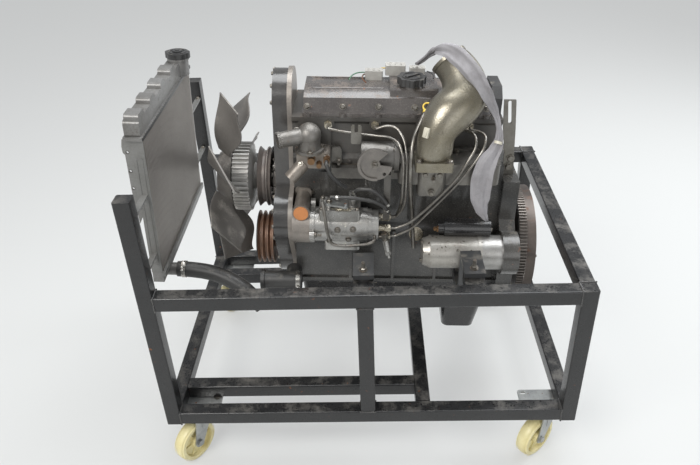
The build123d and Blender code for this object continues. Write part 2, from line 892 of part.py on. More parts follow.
# Stand posts: two tall ones carry the radiator, two short ones end at the rails
with BuildPart() as stand_posts:
    for y in (-post_y, post_y):
        post(-post_x, y, STAND_Z, TALL_POST_H, closed=True)
        post(post_x, y, STAND_Z, RAIL_TOP, closed=True)
        post(MID_POST_X, y, STAND_Z + TUBE, RAIL_TOP - 2 * TUBE, closed=False)
save(stand_posts.part, "stand_posts")

# Rails: top frame open at the radiator end, base frame with a cross-member and
# two runners, and the short channels that carry the engine mounts
with BuildPart() as stand_rails:
    for z in (rail_z, base_z):
        for y in (-post_y, post_y):
            rail((-inner_x, y, z), (1, 0, 0), 2 * inner_x)
    rail((post_x, -inner_y, rail_z), (0, 1, 0), 2 * inner_y)
    for x in (-post_x, post_x, CROSS_X):
        rail((x, -inner_y, base_z), (0, 1, 0), 2 * inner_y)
    for y in RUNNER_Y:
        rail((-inner_x, y, base_z), (1, 0, 0), CROSS_X - TUBE / 2 + inner_x)
    for x in mount_x:
        for side in (-1, 1):
            y0, y1 = sorted((side * (inner_y - FIT), side * (inner_y - BRACKET_L)))
            low = Plane.XY.offset(bracket_top_z - BRACKET_H)
            bar(low, x - BRACKET_W / 2, x + BRACKET_W / 2, y0, y1, BRACKET_H)
            bar(
                low, x - BRACKET_W / 2 + BRACKET_WALL, x + BRACKET_W / 2 - BRACKET_WALL,
                y0, y1, BRACKET_H - BRACKET_WALL, mode=Mode.SUBTRACT,
            )
save(stand_rails.part, "stand_rails")

caster_places = {
    "front_left": (-swivel_x, -swivel_y),
    "front_right": (swivel_x, -swivel_y),
    "back_left": (-swivel_x, swivel_y),
    "back_right": (swivel_x, swivel_y),
}
race_z = STAND_Z - PLATE_T - RACE_H
crown_z = race_z - RACE_GAP - CROWN_T - RACE_H / 2

# Caster top plates with their upper races and kingpins
with BuildPart() as caster_plates:
    for x, y in caster_places.values():
        with BuildSketch(Plane.XY.offset(STAND_Z - PLATE_T)) as plate:
            with Locations((x, y)):
                RectangleRounded(PLATE_L, PLATE_W, PLATE_CORNER)
                with GridLocations(SLOT_PITCH_X, SLOT_PITCH_Y, 2, 2):
                    SlotOverall(SLOT_L, SLOT_W, mode=Mode.SUBTRACT)
        extrude(plate.sketch, amount=PLATE_T)
        rod(Plane((x, y, race_z)), RACE_R, RACE_H)
        rod(Plane((x, y, crown_z - SEAT_GAP)), KING_R, race_z - crown_z + SEAT_GAP)
        rod(Plane((x, y, crown_z - SEAT_GAP - KING_NUT_H)), KING_NUT_R, KING_NUT_H)
save(caster_plates.part, "caster_plates")

for corner, (x, y) in caster_places.items():
    yaw = radians(CASTER_YAW[corner])
    axle_way = Vector(cos(yaw), sin(yaw), 0)
    roll_way = Vector(-sin(yaw), cos(yaw), 0)
    side = Plane(origin=(x, y, 0), x_dir=roll_way, z_dir=axle_way)
    top = Plane(origin=(x, y, crown_z), x_dir=axle_way, z_dir=(0, 0, 1))
    leg_out = FORK_INNER / 2 + FORK_LEG_T
    crown_top = crown_z + CROWN_T
    axle_mid = side.from_local_coords((-WHEEL_TRAIL, WHEEL_R, 0))

    # Fork: pressed crown, two legs, the lower race and the axle bolt
    with BuildPart() as caster_fork:
        for inner in (-leg_out, FORK_INNER / 2):
            with BuildSketch(side.offset(inner)) as leg:
                with Locations((-WHEEL_TRAIL, WHEEL_R)):
                    Circle(FORK_FOOT_R)
                with Locations((0, crown_top - FORK_SKIRT / 2)):
                    Rectangle(FORK_CROWN_L, FORK_SKIRT)
                make_hull()
            extrude(leg.sketch, amount=FORK_LEG_T)
        with BuildSketch(top) as crown:
            RectangleRounded(2 * leg_out, FORK_CROWN_L, FORK_LEG_T)
        extrude(crown.sketch, amount=CROWN_T)
        rod(Plane((x, y, crown_top)), RACE_R, RACE_H / 2)
        rod(Plane((x, y, crown_z)), KING_R + FIT, CROWN_T + RACE_H / 2, mode=Mode.SUBTRACT)
        bolt_start = axle_mid - axle_way * (leg_out + AXLE_HEAD_H)
        bolt = Plane(origin=bolt_start, z_dir=axle_way)
        rod(bolt, AXLE_R, 2 * leg_out + 2 * AXLE_HEAD_H)
        for start in (bolt_start, axle_mid + axle_way * leg_out):
            nut = Plane(origin=start, x_dir=roll_way, z_dir=axle_way)
            with BuildSketch(nut) as hexagon:
                RegularPolygon(AXLE_HEAD_R, HEX_SIDES)
            extrude(hexagon.sketch, amount=AXLE_HEAD_H)
        if corner == BRAKED_CORNER:
            pedal_pin = side.from_local_coords((PEDAL_PIN_Y, PEDAL_PIN_Z, -leg_out))
            rod(
                Plane(origin=pedal_pin, z_dir=axle_way), PEDAL_PIN_R + FIT, 2 * leg_out,
                mode=Mode.SUBTRACT,
            )
    save(caster_fork.part, f"caster_fork_{corner}")

    # Wheel: crowned nylon tyre, thin web and long hub on the axle bolt
    with BuildPart() as caster_wheel:
        half = WHEEL_W / 2
        rim_r = WHEEL_R - WHEEL_RIM_T
        shoulder_r = WHEEL_R - WHEEL_CROWN
        web_r = rim_r - WHEEL_FILLET
        hub_r = WHEEL_HUB_R + WHEEL_FILLET
        turn = Plane(origin=axle_mid, x_dir=axle_way, z_dir=-roll_way)
        with BuildSketch(turn) as section:
            with BuildLine():
                Polyline(
                    (-half, shoulder_r), (-half, rim_r), (-WHEEL_WEB_W / 2, web_r),
                    (-WHEEL_WEB_W / 2, hub_r), (-WHEEL_HUB_W / 2, WHEEL_HUB_R),
                    (-WHEEL_HUB_W / 2, AXLE_R + FIT), (WHEEL_HUB_W / 2, AXLE_R + FIT),
                    (WHEEL_HUB_W / 2, WHEEL_HUB_R), (WHEEL_WEB_W / 2, hub_r),
                    (WHEEL_WEB_W / 2, web_r), (half, rim_r), (half, shoulder_r),
                )
                ThreePointArc((half, shoulder_r), (0, WHEEL_R), (-half, shoulder_r))
            make_face()
        revolve(section.sketch, axis=Axis(axle_mid, axle_way))
    save(caster_wheel.part, f"caster_wheel_{corner}")

# Brake pedal on the braked caster: barrel and pin between the fork legs, and a tread
brake_x, brake_y = caster_places[BRAKED_CORNER]
brake_yaw = radians(CASTER_YAW[BRAKED_CORNER])
brake_axle = Vector(cos(brake_yaw), sin(brake_yaw), 0)
brake_side = Plane(
    origin=(brake_x, brake_y, 0), x_dir=(-sin(brake_yaw), cos(brake_yaw), 0), z_dir=brake_axle
)
with BuildPart() as brake_pedal:
    pin_start = brake_side.from_local_coords((PEDAL_PIN_Y, PEDAL_PIN_Z, -leg_out))
    rod(Plane(origin=pin_start, z_dir=brake_axle), PEDAL_PIN_R, 2 * leg_out)
    barrel_start = brake_side.from_local_coords((PEDAL_PIN_Y, PEDAL_PIN_Z, -PEDAL_W / 2))
    rod(Plane(origin=barrel_start, z_dir=brake_axle), PEDAL_BARREL_R, PEDAL_W)
    slope = radians(PEDAL_SLOPE)
    tip_y = PEDAL_PIN_Y + PEDAL_REACH * cos(slope)
    tip_z = PEDAL_PIN_Z - PEDAL_REACH * sin(slope)
    tread = [
        (PEDAL_PIN_Y, PEDAL_PIN_Z), (tip_y, tip_z), (tip_y + PEDAL_T, tip_z + PEDAL_T),
        (tip_y + PEDAL_T, tip_z + 2 * PEDAL_T), (tip_y, tip_z + PEDAL_T),
        (PEDAL_PIN_Y, PEDAL_PIN_Z + PEDAL_T),
    ]
    outline(brake_side.offset(-PEDAL_W / 2), tread, PEDAL_W)
save(brake_pedal.part, "brake_pedal")

crank_axis = Axis(ENGINE.origin, engine_way(REAR))
pump_axis = Axis(engine_point(0, 0, PUMP_AXIS_C), engine_way(REAR))
bore_places = [BORE_FIRST + i * BORE_PITCH for i in range(CYLINDERS)]
flange_end_a = FLANGE_A + FLANGE_T
upper_pad_top_c = HEAD_TOP_C - HEAD_WAIST


def mirrored(points):
    """Closed outline from its half with positive first coordinates."""
    return points + [(-x, y) for x, y in reversed(points)]


# Cylinder block: deck, barrels, skirt, pan rail and the flange for the gearbox
with BuildPart() as cylinder_block:
    block_half = [
        (UPPER_HALF, DECK_C),
        (UPPER_HALF, SHOULDER_C),
        (SKIRT_HALF, SKIRT_TOP_C),
        (SKIRT_HALF, PAN_RAIL_C + PAN_RAIL_T),
        (PAN_RAIL_HALF, PAN_RAIL_C + PAN_RAIL_T),
        (PAN_RAIL_HALF, PAN_RAIL_C),
    ]
    outline(across(0), mirrored(block_half), BLOCK_L)
    for a in bore_places:
        for side in (-1, 1):
            barrel_b = side * (UPPER_HALF + BARREL_PROUD - BARREL_R)
            rod(spot(a, barrel_b, BARREL_BOTTOM_C), BARREL_R, BARREL_TOP_C - BARREL_BOTTOM_C)
    for a in [a + BORE_PITCH / 2 for a in bore_places[:-1]]:
        for side in (-1, 1):
            rib_b = side * (SKIRT_HALF - RIB_PROUD)
            bar(
                above(PAN_RAIL_C + PAN_RAIL_T), a - RIB_T / 2, a + RIB_T / 2,
                rib_b - RIB_PROUD - RIB_T, rib_b + RIB_PROUD + RIB_T,
                SHOULDER_C - PAN_RAIL_C - 2 * PAN_RAIL_T,
            )
    with BuildSketch(across(FLANGE_A)) as flange:
        Circle(FLANGE_R)
        with Locations((0, FLANGE_TOP_C / 2)):
            Rectangle(2 * FLANGE_TOP_HALF, FLANGE_TOP_C)
        with Locations((STARTER_B, STARTER_C)):
            Circle(STARTER_LOBE_R)
        with Locations((0, FLANGE_FOOT_C - FLANGE_R / 2)):
            Rectangle(2 * FLANGE_R, FLANGE_R, mode=Mode.SUBTRACT)
        for angle in HOUSING_BOLT_ANGLES:
            place = (HOUSING_BOLT_R * cos(radians(angle)), HOUSING_BOLT_R * sin(radians(angle)))
            with Locations(place):
                Circle(HOUSING_BOLT_HOLE_R, mode=Mode.SUBTRACT)
    extrude(flange.sketch, amount=FLANGE_T)
    rod(spot(0, 0, 0, REAR), CRANK_R + FIT, flange_end_a, mode=Mode.SUBTRACT)
    rod(spot(0, STARTER_B, STARTER_C, REAR), NOSE_SMALL_R + FIT, flange_end_a, mode=Mode.SUBTRACT)
save(cylinder_block.part, "cylinder_block")

# Cylinder head: waisted sides, port pads and injector bosses
with BuildPart() as cylinder_head:
    waist_half = HEAD_HALF - HEAD_WAIST
    head_half = [
        (HEAD_HALF, DECK_C),
        (HEAD_HALF, DECK_C + HEAD_FOOT_T),
        (waist_half, DECK_C + HEAD_FOOT_T + HEAD_WAIST),
        (waist_half, upper_pad_top_c - HEAD_WAIST),
        (HEAD_HALF, upper_pad_top_c),
        (HEAD_HALF, HEAD_TOP_C),
    ]
    outline(across(0), mirrored(head_half), HEAD_L)
    for a in bore_places:
        rod(spot(a, -waist_half + HEAD_WAIST, PORT_C, NEAR), PORT_BOSS_R, 2 * HEAD_WAIST)
        rod(spot(a, waist_half - HEAD_WAIST, EXHAUST_C, FAR), PORT_BOSS_R, 2 * HEAD_WAIST)
        rod(spot(a, -waist_half + HEAD_WAIST, INJECTOR_C, NEAR), INJECTOR_BOSS_R, 2 * HEAD_WAIST)
    bar(
        beside(-waist_half), COOLANT_A, COOLANT_END_A, COOLANT_C, upper_pad_top_c,
        HEAD_WAIST, COOLANT_CORNER,
    )
save(cylinder_head.part, "cylinder_head")

# Valve cover: pressed shell with a scalloped flange and a raised filler step
with BuildPart() as valve_cover:
    bar(
        above(HEAD_TOP_C), COVER_A, COVER_END_A,
        -COVER_FLANGE_HALF + COVER_WALL, COVER_FLANGE_HALF - COVER_WALL,
        COVER_FLANGE_T, COVER_EAR_R,
    )
    ear_pitch = (COVER_END_A - COVER_A - 2 * COVER_EAR_R) / (COVER_EARS - 1)
    for i in range(COVER_EARS):
        for side in (-1, 1):
            ear_a = COVER_A + COVER_EAR_R + i * ear_pitch
            ear_b = side * (COVER_FLANGE_HALF - COVER_EAR_R)
            rod(spot(ear_a, ear_b, HEAD_TOP_C), COVER_EAR_R, COVER_FLANGE_T)
    cover_half = [
        (COVER_FOOT_HALF, HEAD_TOP_C),
        (COVER_FOOT_HALF, HEAD_TOP_C + COVER_FLANGE_T),
        (COVER_RIDGE_HALF, COVER_RIDGE_C),
        (COVER_CROWN_HALF, COVER_CROWN_C),
    ]
    shell_l = COVER_END_A - COVER_A - 2 * COVER_WALL
    outline(across(COVER_A + COVER_WALL), mirrored(cover_half), shell_l)
    step_half = [
        (COVER_RIDGE_HALF - COVER_WALL, COVER_RIDGE_C - COVER_WALL),
        (STEP_HALF, STEP_C - COVER_WALL),
        (STEP_HALF - COVER_WALL, STEP_C),
    ]
    outline(across(STEP_A), mirrored(step_half), STEP_END_A - STEP_A)
    rod(spot(FILLER_A, FILLER_B, COVER_RIDGE_C), FILLER_NECK_R, FILLER_TOP_C - COVER_RIDGE_C)
    hollow_half = [
        (COVER_FOOT_HALF - COVER_WALL, HEAD_TOP_C),
        (COVER_FOOT_HALF - COVER_WALL, HEAD_TOP_C + COVER_FLANGE_T),
        (COVER_RIDGE_HALF - COVER_WALL, COVER_RIDGE_C - COVER_WALL),
        (COVER_CROWN_HALF, COVER_CROWN_C - COVER_WALL),
    ]
    outline(
        across(COVER_A + 2 * COVER_WALL), mirrored(hollow_half),
        shell_l - 2 * COVER_WALL, mode=Mode.SUBTRACT,
    )
    rod(
        spot(FILLER_A, FILLER_B, COVER_RIDGE_C - COVER_WALL), CAP_PLUG_R,
        FILLER_TOP_C - COVER_RIDGE_C + COVER_WALL, mode=Mode.SUBTRACT,
    )
save(valve_cover.part, "valve_cover")

# Oil filler cap: knobbed disc with a short plug in the neck
with BuildPart() as oil_filler_cap:
    cap_foot_c = FILLER_TOP_C + SEAT_GAP
    with BuildSketch(spot(FILLER_A, FILLER_B, cap_foot_c)) as knobbed:
        Circle(CAP_R - CAP_KNOB_R / 2)
        with PolarLocations(CAP_R - CAP_KNOB_R, CAP_KNOBS):
            Circle(CAP_KNOB_R)
    extrude(knobbed.sketch, amount=CAP_C - cap_foot_c)
    rod(spot(FILLER_A, FILLER_B, cap_foot_c, DOWN), CAP_PLUG_R - 2 * SEAT_GAP, CAP_PLUG_H)
save(oil_filler_cap.part, "oil_filler_cap")


def case_outline(plane, grow):
    """The timing case seen from the front: a tall loop and the pump-drive lobe."""
    with BuildSketch(plane) as tall:
        with Locations((0, CAM_C)):
            Circle(CAM_LOBE_R + grow)
        Circle(CRANK_LOBE_R + grow)
        make_hull()
    with BuildSketch(plane) as lobe:
        with Locations((DRIVE_B, DRIVE_C)):
            Circle(DRIVE_LOBE_R + grow)
        with Locations((IDLER_B, IDLER_C)):
            Circle(IDLER_LOBE_R + grow)
        Circle(CRANK_LOBE_R - 2 * PLATE_STEP + grow)
        make_hull()
    return tall.sketch, lobe.sketch


# Timing cover: rim and recessed panel, with the crank seal boss
with BuildPart() as timing_cover:
    for face in case_outline(across(CASE_FRONT_A), 0):
        extrude(face, amount=CASE_SPLIT_A - CASE_FRONT_A)
    for face in case_outline(across(CASE_FRONT_A), -CASE_RIM):
        extrude(face, amount=CASE_PANEL, mode=Mode.SUBTRACT)
    rod(spot(CASE_FRONT_A + CASE_PANEL, 0, 0, FRONT), SEAL_BOSS_R, CASE_PANEL + SEAL_BOSS_T)
    rod(
        spot(CASE_FRONT_A + CASE_PANEL, 0, PUMP_AXIS_C, FRONT),
        WATER_PUMP_R + CASE_PANEL, CASE_PANEL,
    )
    rod(
        spot(CASE_FRONT_A - SEAL_BOSS_T, 0, 0, REAR), NOSE_R + FIT,
        JOURNAL_A - CASE_FRONT_A + SEAL_BOSS_T, mode=Mode.SUBTRACT,
    )
    rod(spot(JOURNAL_A, 0, 0, REAR), CRANK_R + FIT, CASE_SPLIT_A - JOURNAL_A, mode=Mode.SUBTRACT)
save(timing_cover.part, "timing_cover")

# Timing back plate with the cast bracket that carries the injection pump
with BuildPart() as timing_plate:
    for face in case_outline(across(CASE_SPLIT_A), PLATE_STEP):
        extrude(face, amount=-CASE_SPLIT_A)
    rod(spot(0, PUMP_B, PUMP_C, REAR), PUMP_FLANGE_R, PUMP_A)
    bar(
        across(0), -SKIRT_HALF - FIT, 0, PUMP_C - 2 * PUMP_FLANGE_R, PUMP_C + 2 * PUMP_FLANGE_R,
        PUMP_A, mode=Mode.SUBTRACT,
    )
    rod(
        spot(INLET_A, INLET_B, INLET_C, NEAR), INLET_COLLAR_R + 2 * SEAT_GAP,
        INLET_B - INLET_END_B + INLET_COLLAR_L, mode=Mode.SUBTRACT,
    )
    rod(spot(CASE_SPLIT_A, 0, 0, REAR), CRANK_R + FIT, -CASE_SPLIT_A, mode=Mode.SUBTRACT)
save(timing_plate.part, "timing_plate")

# Oil pan: flanged shell, shallow in front and with a deep well at the back
with BuildPart() as oil_pan:
    well_mid = (WELL_A + WELL_END_A) / 2
    bar(
        above(PAN_RAIL_C - PAN_FLANGE_T), 0, BLOCK_L,
        -PAN_RAIL_HALF, PAN_RAIL_HALF, PAN_FLANGE_T,
    )
    for inset, mode in ((0, Mode.ADD), (PAN_WALL, Mode.SUBTRACT)):
        top_c = PAN_RAIL_C
        shallow_c = PAN_SHALLOW_C + inset
        with BuildSketch(above(top_c)) as mouth:
            with Locations((BLOCK_L / 2, 0)):
                RectangleRounded(
                    BLOCK_L - 2 * PAN_INSET - 2 * inset, 2 * (PAN_HALF - inset), PAN_CORNER
                )
        extrude(mouth.sketch, amount=shallow_c - top_c, taper=PAN_TAPER, mode=mode)
        with BuildSketch(above(shallow_c + PAN_TAPER)) as brim:
            with Locations((well_mid, 0)):
                RectangleRounded(
                    WELL_END_A - WELL_A - 2 * inset - 2 * PAN_INSET,
                    2 * (WELL_HALF - inset), PAN_CORNER,
                )
        with BuildSketch(above(WELL_C + inset)) as foot:
            with Locations((well_mid, 0)):
                RectangleRounded(
                    WELL_FOOT_L - 2 * inset, WELL_FOOT_W - 2 * inset, PAN_CORNER
                )
        loft([brim.sketch, foot.sketch], mode=mode)
    rod(spot(well_mid, 0, WELL_C, DOWN), DRAIN_R, DRAIN_H)
save(oil_pan.part, "oil_pan")

# Crankshaft: nose, journal shaft and flywheel flange, with its nose bolt
with BuildPart() as crankshaft:
    rod(spot(NOSE_A, 0, 0, REAR), NOSE_R, JOURNAL_A - NOSE_A)
    rod(spot(JOURNAL_A, 0, 0, REAR), CRANK_R, CRANK_FLANGE_A - JOURNAL_A)
    rod(spot(CRANK_FLANGE_A, 0, 0, REAR), CRANK_FLANGE_R, FLYWHEEL_A - CRANK_FLANGE_A)
    with BuildSketch(spot(NOSE_A - FIT, 0, 0, FRONT)) as bolt_head:
        RegularPolygon(CRANK_BOLT_R, HEX_SIDES)
    extrude(bolt_head.sketch, amount=CRANK_BOLT_H)
save(crankshaft.part, "crankshaft")

# Crank pulley: grooved rim, dished face and hub
with BuildPart() as crank_pulley:
    groove_r = PULLEY_R - PULLEY_GROOVE_D
    pitch = (PULLEY_END_A - PULLEY_A - PULLEY_LAND) / PULLEY_GROOVES
    rim = [(PULLEY_A, PULLEY_RIM_R), (PULLEY_A, PULLEY_R)]
    for i in range(PULLEY_GROOVES):
        start = PULLEY_A + PULLEY_LAND + i * pitch
        rim.append((start, PULLEY_R))
        rim.append((start + pitch * PULLEY_FLANK_IN, groove_r))
        rim.append((start + (pitch - PULLEY_LAND) * PULLEY_FLANK_OUT, groove_r))
        rim.append((start + pitch - PULLEY_LAND, PULLEY_R))
    rim.append((PULLEY_END_A, PULLEY_R))
    web_a = PULLEY_A + PULLEY_FACE_D
    hub_end_a = CASE_FRONT_A - SEAL_BOSS_T - PULLEY_HUB_GAP
    hub = [
        (PULLEY_END_A, PULLEY_HUB_R), (hub_end_a, PULLEY_HUB_R - PULLEY_HUB_STEP),
        (hub_end_a, NOSE_R + FIT), (NOSE_A, NOSE_R + FIT), (NOSE_A, PULLEY_HUB_R),
        (web_a, PULLEY_HUB_R + PULLEY_HUB_STEP), (web_a, PULLEY_RIM_R - PULLEY_HUB_STEP),
    ]
    spin(beside(0), rim + hub, crank_axis)
save(crank_pulley.part, "crank_pulley")

# Flywheel: friction face recess at the back, clutch-cover and crank bolt holes
with BuildPart() as flywheel:
    end_a = FLYWHEEL_A + FLYWHEEL_T
    front_a = FLYWHEEL_A + FLYWHEEL_RECESS_D
    step_a = end_a - FLYWHEEL_STEP_D
    web_a = end_a - FLYWHEEL_BACK_D
    gear_seat_r = GEAR_ROOT_R - GEAR_BAND_T
    wheel = [
        (FLYWHEEL_A, PILOT_R), (FLYWHEEL_A, FLYWHEEL_RECESS_R),
        (front_a, FLYWHEEL_RECESS_R + FLYWHEEL_BEVEL), (front_a, gear_seat_r),
        (GEAR_A + GEAR_T, gear_seat_r), (GEAR_A + GEAR_T, FLYWHEEL_R + FLYWHEEL_LIP),
        (end_a, FLYWHEEL_R + FLYWHEEL_LIP), (end_a, FLYWHEEL_BACK_R + FLYWHEEL_BEVEL),
        (step_a, FLYWHEEL_BACK_R + FLYWHEEL_STEP_EDGE), (step_a, FLYWHEEL_STEP_R),
        (web_a, FLYWHEEL_WEB_R), (web_a, PILOT_R),
    ]
    spin(beside(0), wheel, crank_axis)
    with Locations(spot(end_a - CLUTCH_HOLE_D, 0, 0, REAR)):
        with PolarLocations(CLUTCH_PCR, CLUTCH_HOLES, start_angle=CLUTCH_PHASE):
            Cylinder(CLUTCH_HOLE_R, CLUTCH_HOLE_D, align=FLOOR_UP, mode=Mode.SUBTRACT)
    with Locations(spot(web_a, 0, 0, REAR)):
        with PolarLocations(CRANK_BOLT_PCR, CRANK_BOLTS):
            Cylinder(CRANK_BOLT_HEAD_R, CRANK_BOLT_HEAD_H, align=FLOOR_UP)
save(flywheel.part, "flywheel")

# Ring gear: toothed band pressed on the flywheel
with BuildPart() as ring_gear:
    tooth = 2 * pi / GEAR_TEETH
    gear_points = []
    for i in range(GEAR_TEETH):
        for radius, share in (
            (GEAR_ROOT_R, -GEAR_ROOT_SHARE), (GEAR_TIP_R, -GEAR_TIP_SHARE / 2),
            (GEAR_TIP_R, GEAR_TIP_SHARE / 2), (GEAR_ROOT_R, GEAR_ROOT_SHARE),
        ):
            angle = (i + share) * tooth
            gear_points.append((radius * cos(angle), radius * sin(angle)))
    with BuildSketch(across(GEAR_A)) as teeth:
        with BuildLine():
            Polyline(*gear_points, close=True)
        make_face()
        Circle(gear_seat_r + FIT, mode=Mode.SUBTRACT)
    extrude(teeth.sketch, amount=GEAR_T)
save(ring_gear.part, "ring_gear")

# Water pump body on the timing cover, with its bearing nose
with BuildPart() as water_pump:
    with BuildSketch(spot(CASE_FRONT_A, 0, PUMP_AXIS_C, FRONT)) as flange:
        Circle(WATER_PUMP_R - PLATE_STEP)
        with PolarLocations(WATER_PUMP_R - PLATE_STEP, WATER_PUMP_EARS):
            Circle(PLATE_STEP * 2)
    extrude(flange.sketch, amount=WATER_PUMP_T)
    taper(
        spot(CASE_FRONT_A - WATER_PUMP_T, 0, PUMP_AXIS_C, FRONT),
        WATER_PUMP_NOSE_R + WATER_PUMP_FLARE, WATER_PUMP_NOSE_R,
        CASE_FRONT_A - WATER_PUMP_T - WATER_PUMP_NOSE_A,
    )
    rod(
        spot(WATER_PUMP_NOSE_A, 0, PUMP_AXIS_C, REAR), SPINDLE_R + FIT,
        SPINDLE_BACK_A - WATER_PUMP_NOSE_A + SPINDLE_END_GAP, mode=Mode.SUBTRACT,
    )
save(water_pump.part, "water_pump")

# Pump spindle and its pulley, carried together in the bearing
with BuildPart() as water_pump_pulley:
    wp_mid = (WP_PULLEY_A + WP_PULLEY_END_A) / 2
    wp_inner = WP_PULLEY_R - WP_GROOVE_D - WP_RIM_T
    dish = [
        (WP_PULLEY_A, WP_PULLEY_R), (wp_mid - WP_GROOVE_A, WP_PULLEY_R - WP_GROOVE_D),
        (wp_mid, WP_PULLEY_R - WP_GROOVE_D), (wp_mid + WP_CREST_A, WP_PULLEY_R - WP_CREST_DROP),
        (wp_mid + WP_CREST_END_A, WP_PULLEY_R - WP_CREST_DROP),
        (wp_mid + WP_REAR_GROOVE_A, WP_PULLEY_R - WP_GROOVE_D / 2),
        (WP_PULLEY_END_A, WP_PULLEY_R), (WP_PULLEY_END_A, WP_PULLEY_R - WP_LIP_T),
        (wp_mid + WP_DISH_A, wp_inner), (WP_PULLEY_A + WP_WEB_T, wp_inner - WP_DISH_DROP),
        (WP_PULLEY_A + WP_WEB_T, 0), (WP_PULLEY_A, 0), (WP_PULLEY_A, WP_PULLEY_R - WP_RIM_T),
    ]
    wp_face = Plane(
        origin=engine_point(0, 0, PUMP_AXIS_C), x_dir=engine_way(REAR), z_dir=engine_way(NEAR)
    )
    spin(wp_face, dish, pump_axis)
    rod(spot(SPINDLE_FRONT_A, 0, PUMP_AXIS_C, REAR), SPINDLE_R, SPINDLE_BACK_A - SPINDLE_FRONT_A)
    hub_l = WP_PULLEY_A - CLUTCH_NECK_A - SEAT_GAP
    rod(spot(WP_PULLEY_A, 0, PUMP_AXIS_C, FRONT), WP_HUB_R, hub_l)
save(water_pump_pulley.part, "water_pump_pulley")

# Viscous clutch: finned drum on the pump spindle, free to slip against it
with BuildPart() as fan_clutch:
    with BuildSketch(across(CLUTCH_A)) as drum:
        with Locations((0, PUMP_AXIS_C)):
            Circle(CLUTCH_R)
            with PolarLocations(CLUTCH_R, CLUTCH_FINS):
                Rectangle(2 * (CLUTCH_FIN_TIP_R - CLUTCH_R), CLUTCH_FIN_T)
    extrude(drum.sketch, amount=CLUTCH_END_A - CLUTCH_A - CLUTCH_FACE_FIN_H)
    taper(
        spot(CLUTCH_END_A - CLUTCH_FACE_FIN_H, 0, PUMP_AXIS_C, REAR), CLUTCH_R,
        CLUTCH_SHOULDER_R, CLUTCH_FACE_FIN_H,
    )
    taper(
        spot(CLUTCH_END_A, 0, PUMP_AXIS_C, REAR), CLUTCH_NECK_R + CLUTCH_NECK_FLARE,
        CLUTCH_NECK_R, CLUTCH_NECK_A - CLUTCH_END_A,
    )
    rod(spot(CLUTCH_A, 0, PUMP_AXIS_C, FRONT), FAN_HUB_FRONT_R - 2 * FAN_HUB_T, CLUTCH_FACE_FIN_H)
    rod(
        spot(SPINDLE_FRONT_A - SEAT_GAP, 0, PUMP_AXIS_C, REAR), SPINDLE_R + FIT,
        CLUTCH_NECK_A - SPINDLE_FRONT_A + SEAT_GAP, mode=Mode.SUBTRACT,
    )
save(fan_clutch.part, "fan_clutch")

# One fan blade about the Z axis, its root along X: twisted, widening, then swept
blade_mid = FAN_STATIONS[0][-1]
with BuildPart() as blade:
    sections = []
    for radius, chord, pitch, sweep_back, a in FAN_STATIONS:
        turn_in = radians(pitch)
        chord_way = (0, cos(turn_in), sin(turn_in))
        with BuildSketch(
            Plane(origin=(radius, sweep_back, a - blade_mid), x_dir=chord_way, z_dir=(1, 0, 0))
        ) as section:
            RectangleRounded(chord, FAN_BLADE_T, FAN_BLADE_T / 2 - FIT)
        sections.append(section.sketch)
    loft(sections)

# Fan: dished hub ring and its blades in one moulding
with BuildPart() as fan:
    fan_seat_a = CLUTCH_A - CLUTCH_FACE_FIN_H - FIT
    hub_profile = [
        (FAN_HUB_A, FAN_BORE_R), (FAN_HUB_A, FAN_HUB_FRONT_R),
        (FAN_RING_A, FAN_HUB_R), (FAN_RING_A, FAN_HUB_R - FAN_HUB_T),
        (FAN_HUB_A + FAN_DISH_T, FAN_HUB_FRONT_R - FAN_DISH_STEP),
        (fan_seat_a - FAN_SEAT_T, FAN_SEAT_R), (fan_seat_a, FAN_SEAT_R),
        (fan_seat_a, FAN_BORE_R),
    ]
    spin(wp_face, hub_profile, pump_axis)
    fan_place = Plane(
        origin=engine_point(blade_mid, 0, PUMP_AXIS_C), x_dir=engine_way(UP), z_dir=engine_way(REAR)
    )
    with Locations(fan_place):
        with PolarLocations(0, FAN_BLADES, start_angle=FAN_PHASE):
            add(blade.part)
save(fan.part, "fan")

# Coolant housing on the head, with its side stub
with BuildPart() as coolant_housing:
    bar(
        beside(-HEAD_HALF), COOLANT_A, COOLANT_END_A, COOLANT_C, COOLANT_TOP_C,
        -HEAD_HALF - COOLANT_B, COOLANT_CORNER,
    )
    stub_way = Vector(*STUB_END) - Vector(*STUB_ROOT)
    rod(spot(*STUB_ROOT, tuple(stub_way)), STUB_R, stub_way.length)
    back_way = Vector(*STUB_ROOT) - Vector(*STUB_END)
    rod(
        spot(*STUB_END, tuple(back_way)), STUB_R - SPIGOT_WALL, SPIGOT_BORE_D,
        mode=Mode.SUBTRACT,
    )
save(coolant_housing.part, "coolant_housing")

# Thermostat housing: domed cover with the outlet spigot towards the radiator
with BuildPart() as thermostat_housing:
    dome_a, dome_b, dome_c = DOME
    rod(spot(dome_a, dome_b, COOLANT_TOP_C), DOME_FLANGE_R, DOME_FLANGE_T)
    rod(spot(dome_a, dome_b, COOLANT_TOP_C), DOME_NECK_R, dome_c - COOLANT_TOP_C)
    with Locations(spot(*DOME)):
        Sphere(DOME_R)
    outlet_way = Vector(*OUTLET_END) - Vector(*DOME)
    rod(spot(*DOME, tuple(outlet_way)), SPIGOT_R, outlet_way.length)
    inward = Vector(*DOME) - Vector(*OUTLET_END)
    rod(
        spot(*OUTLET_END, tuple(inward)), SPIGOT_R - SPIGOT_WALL, SPIGOT_BORE_D,
        mode=Mode.SUBTRACT,
    )
save(thermostat_housing.part, "thermostat_housing")

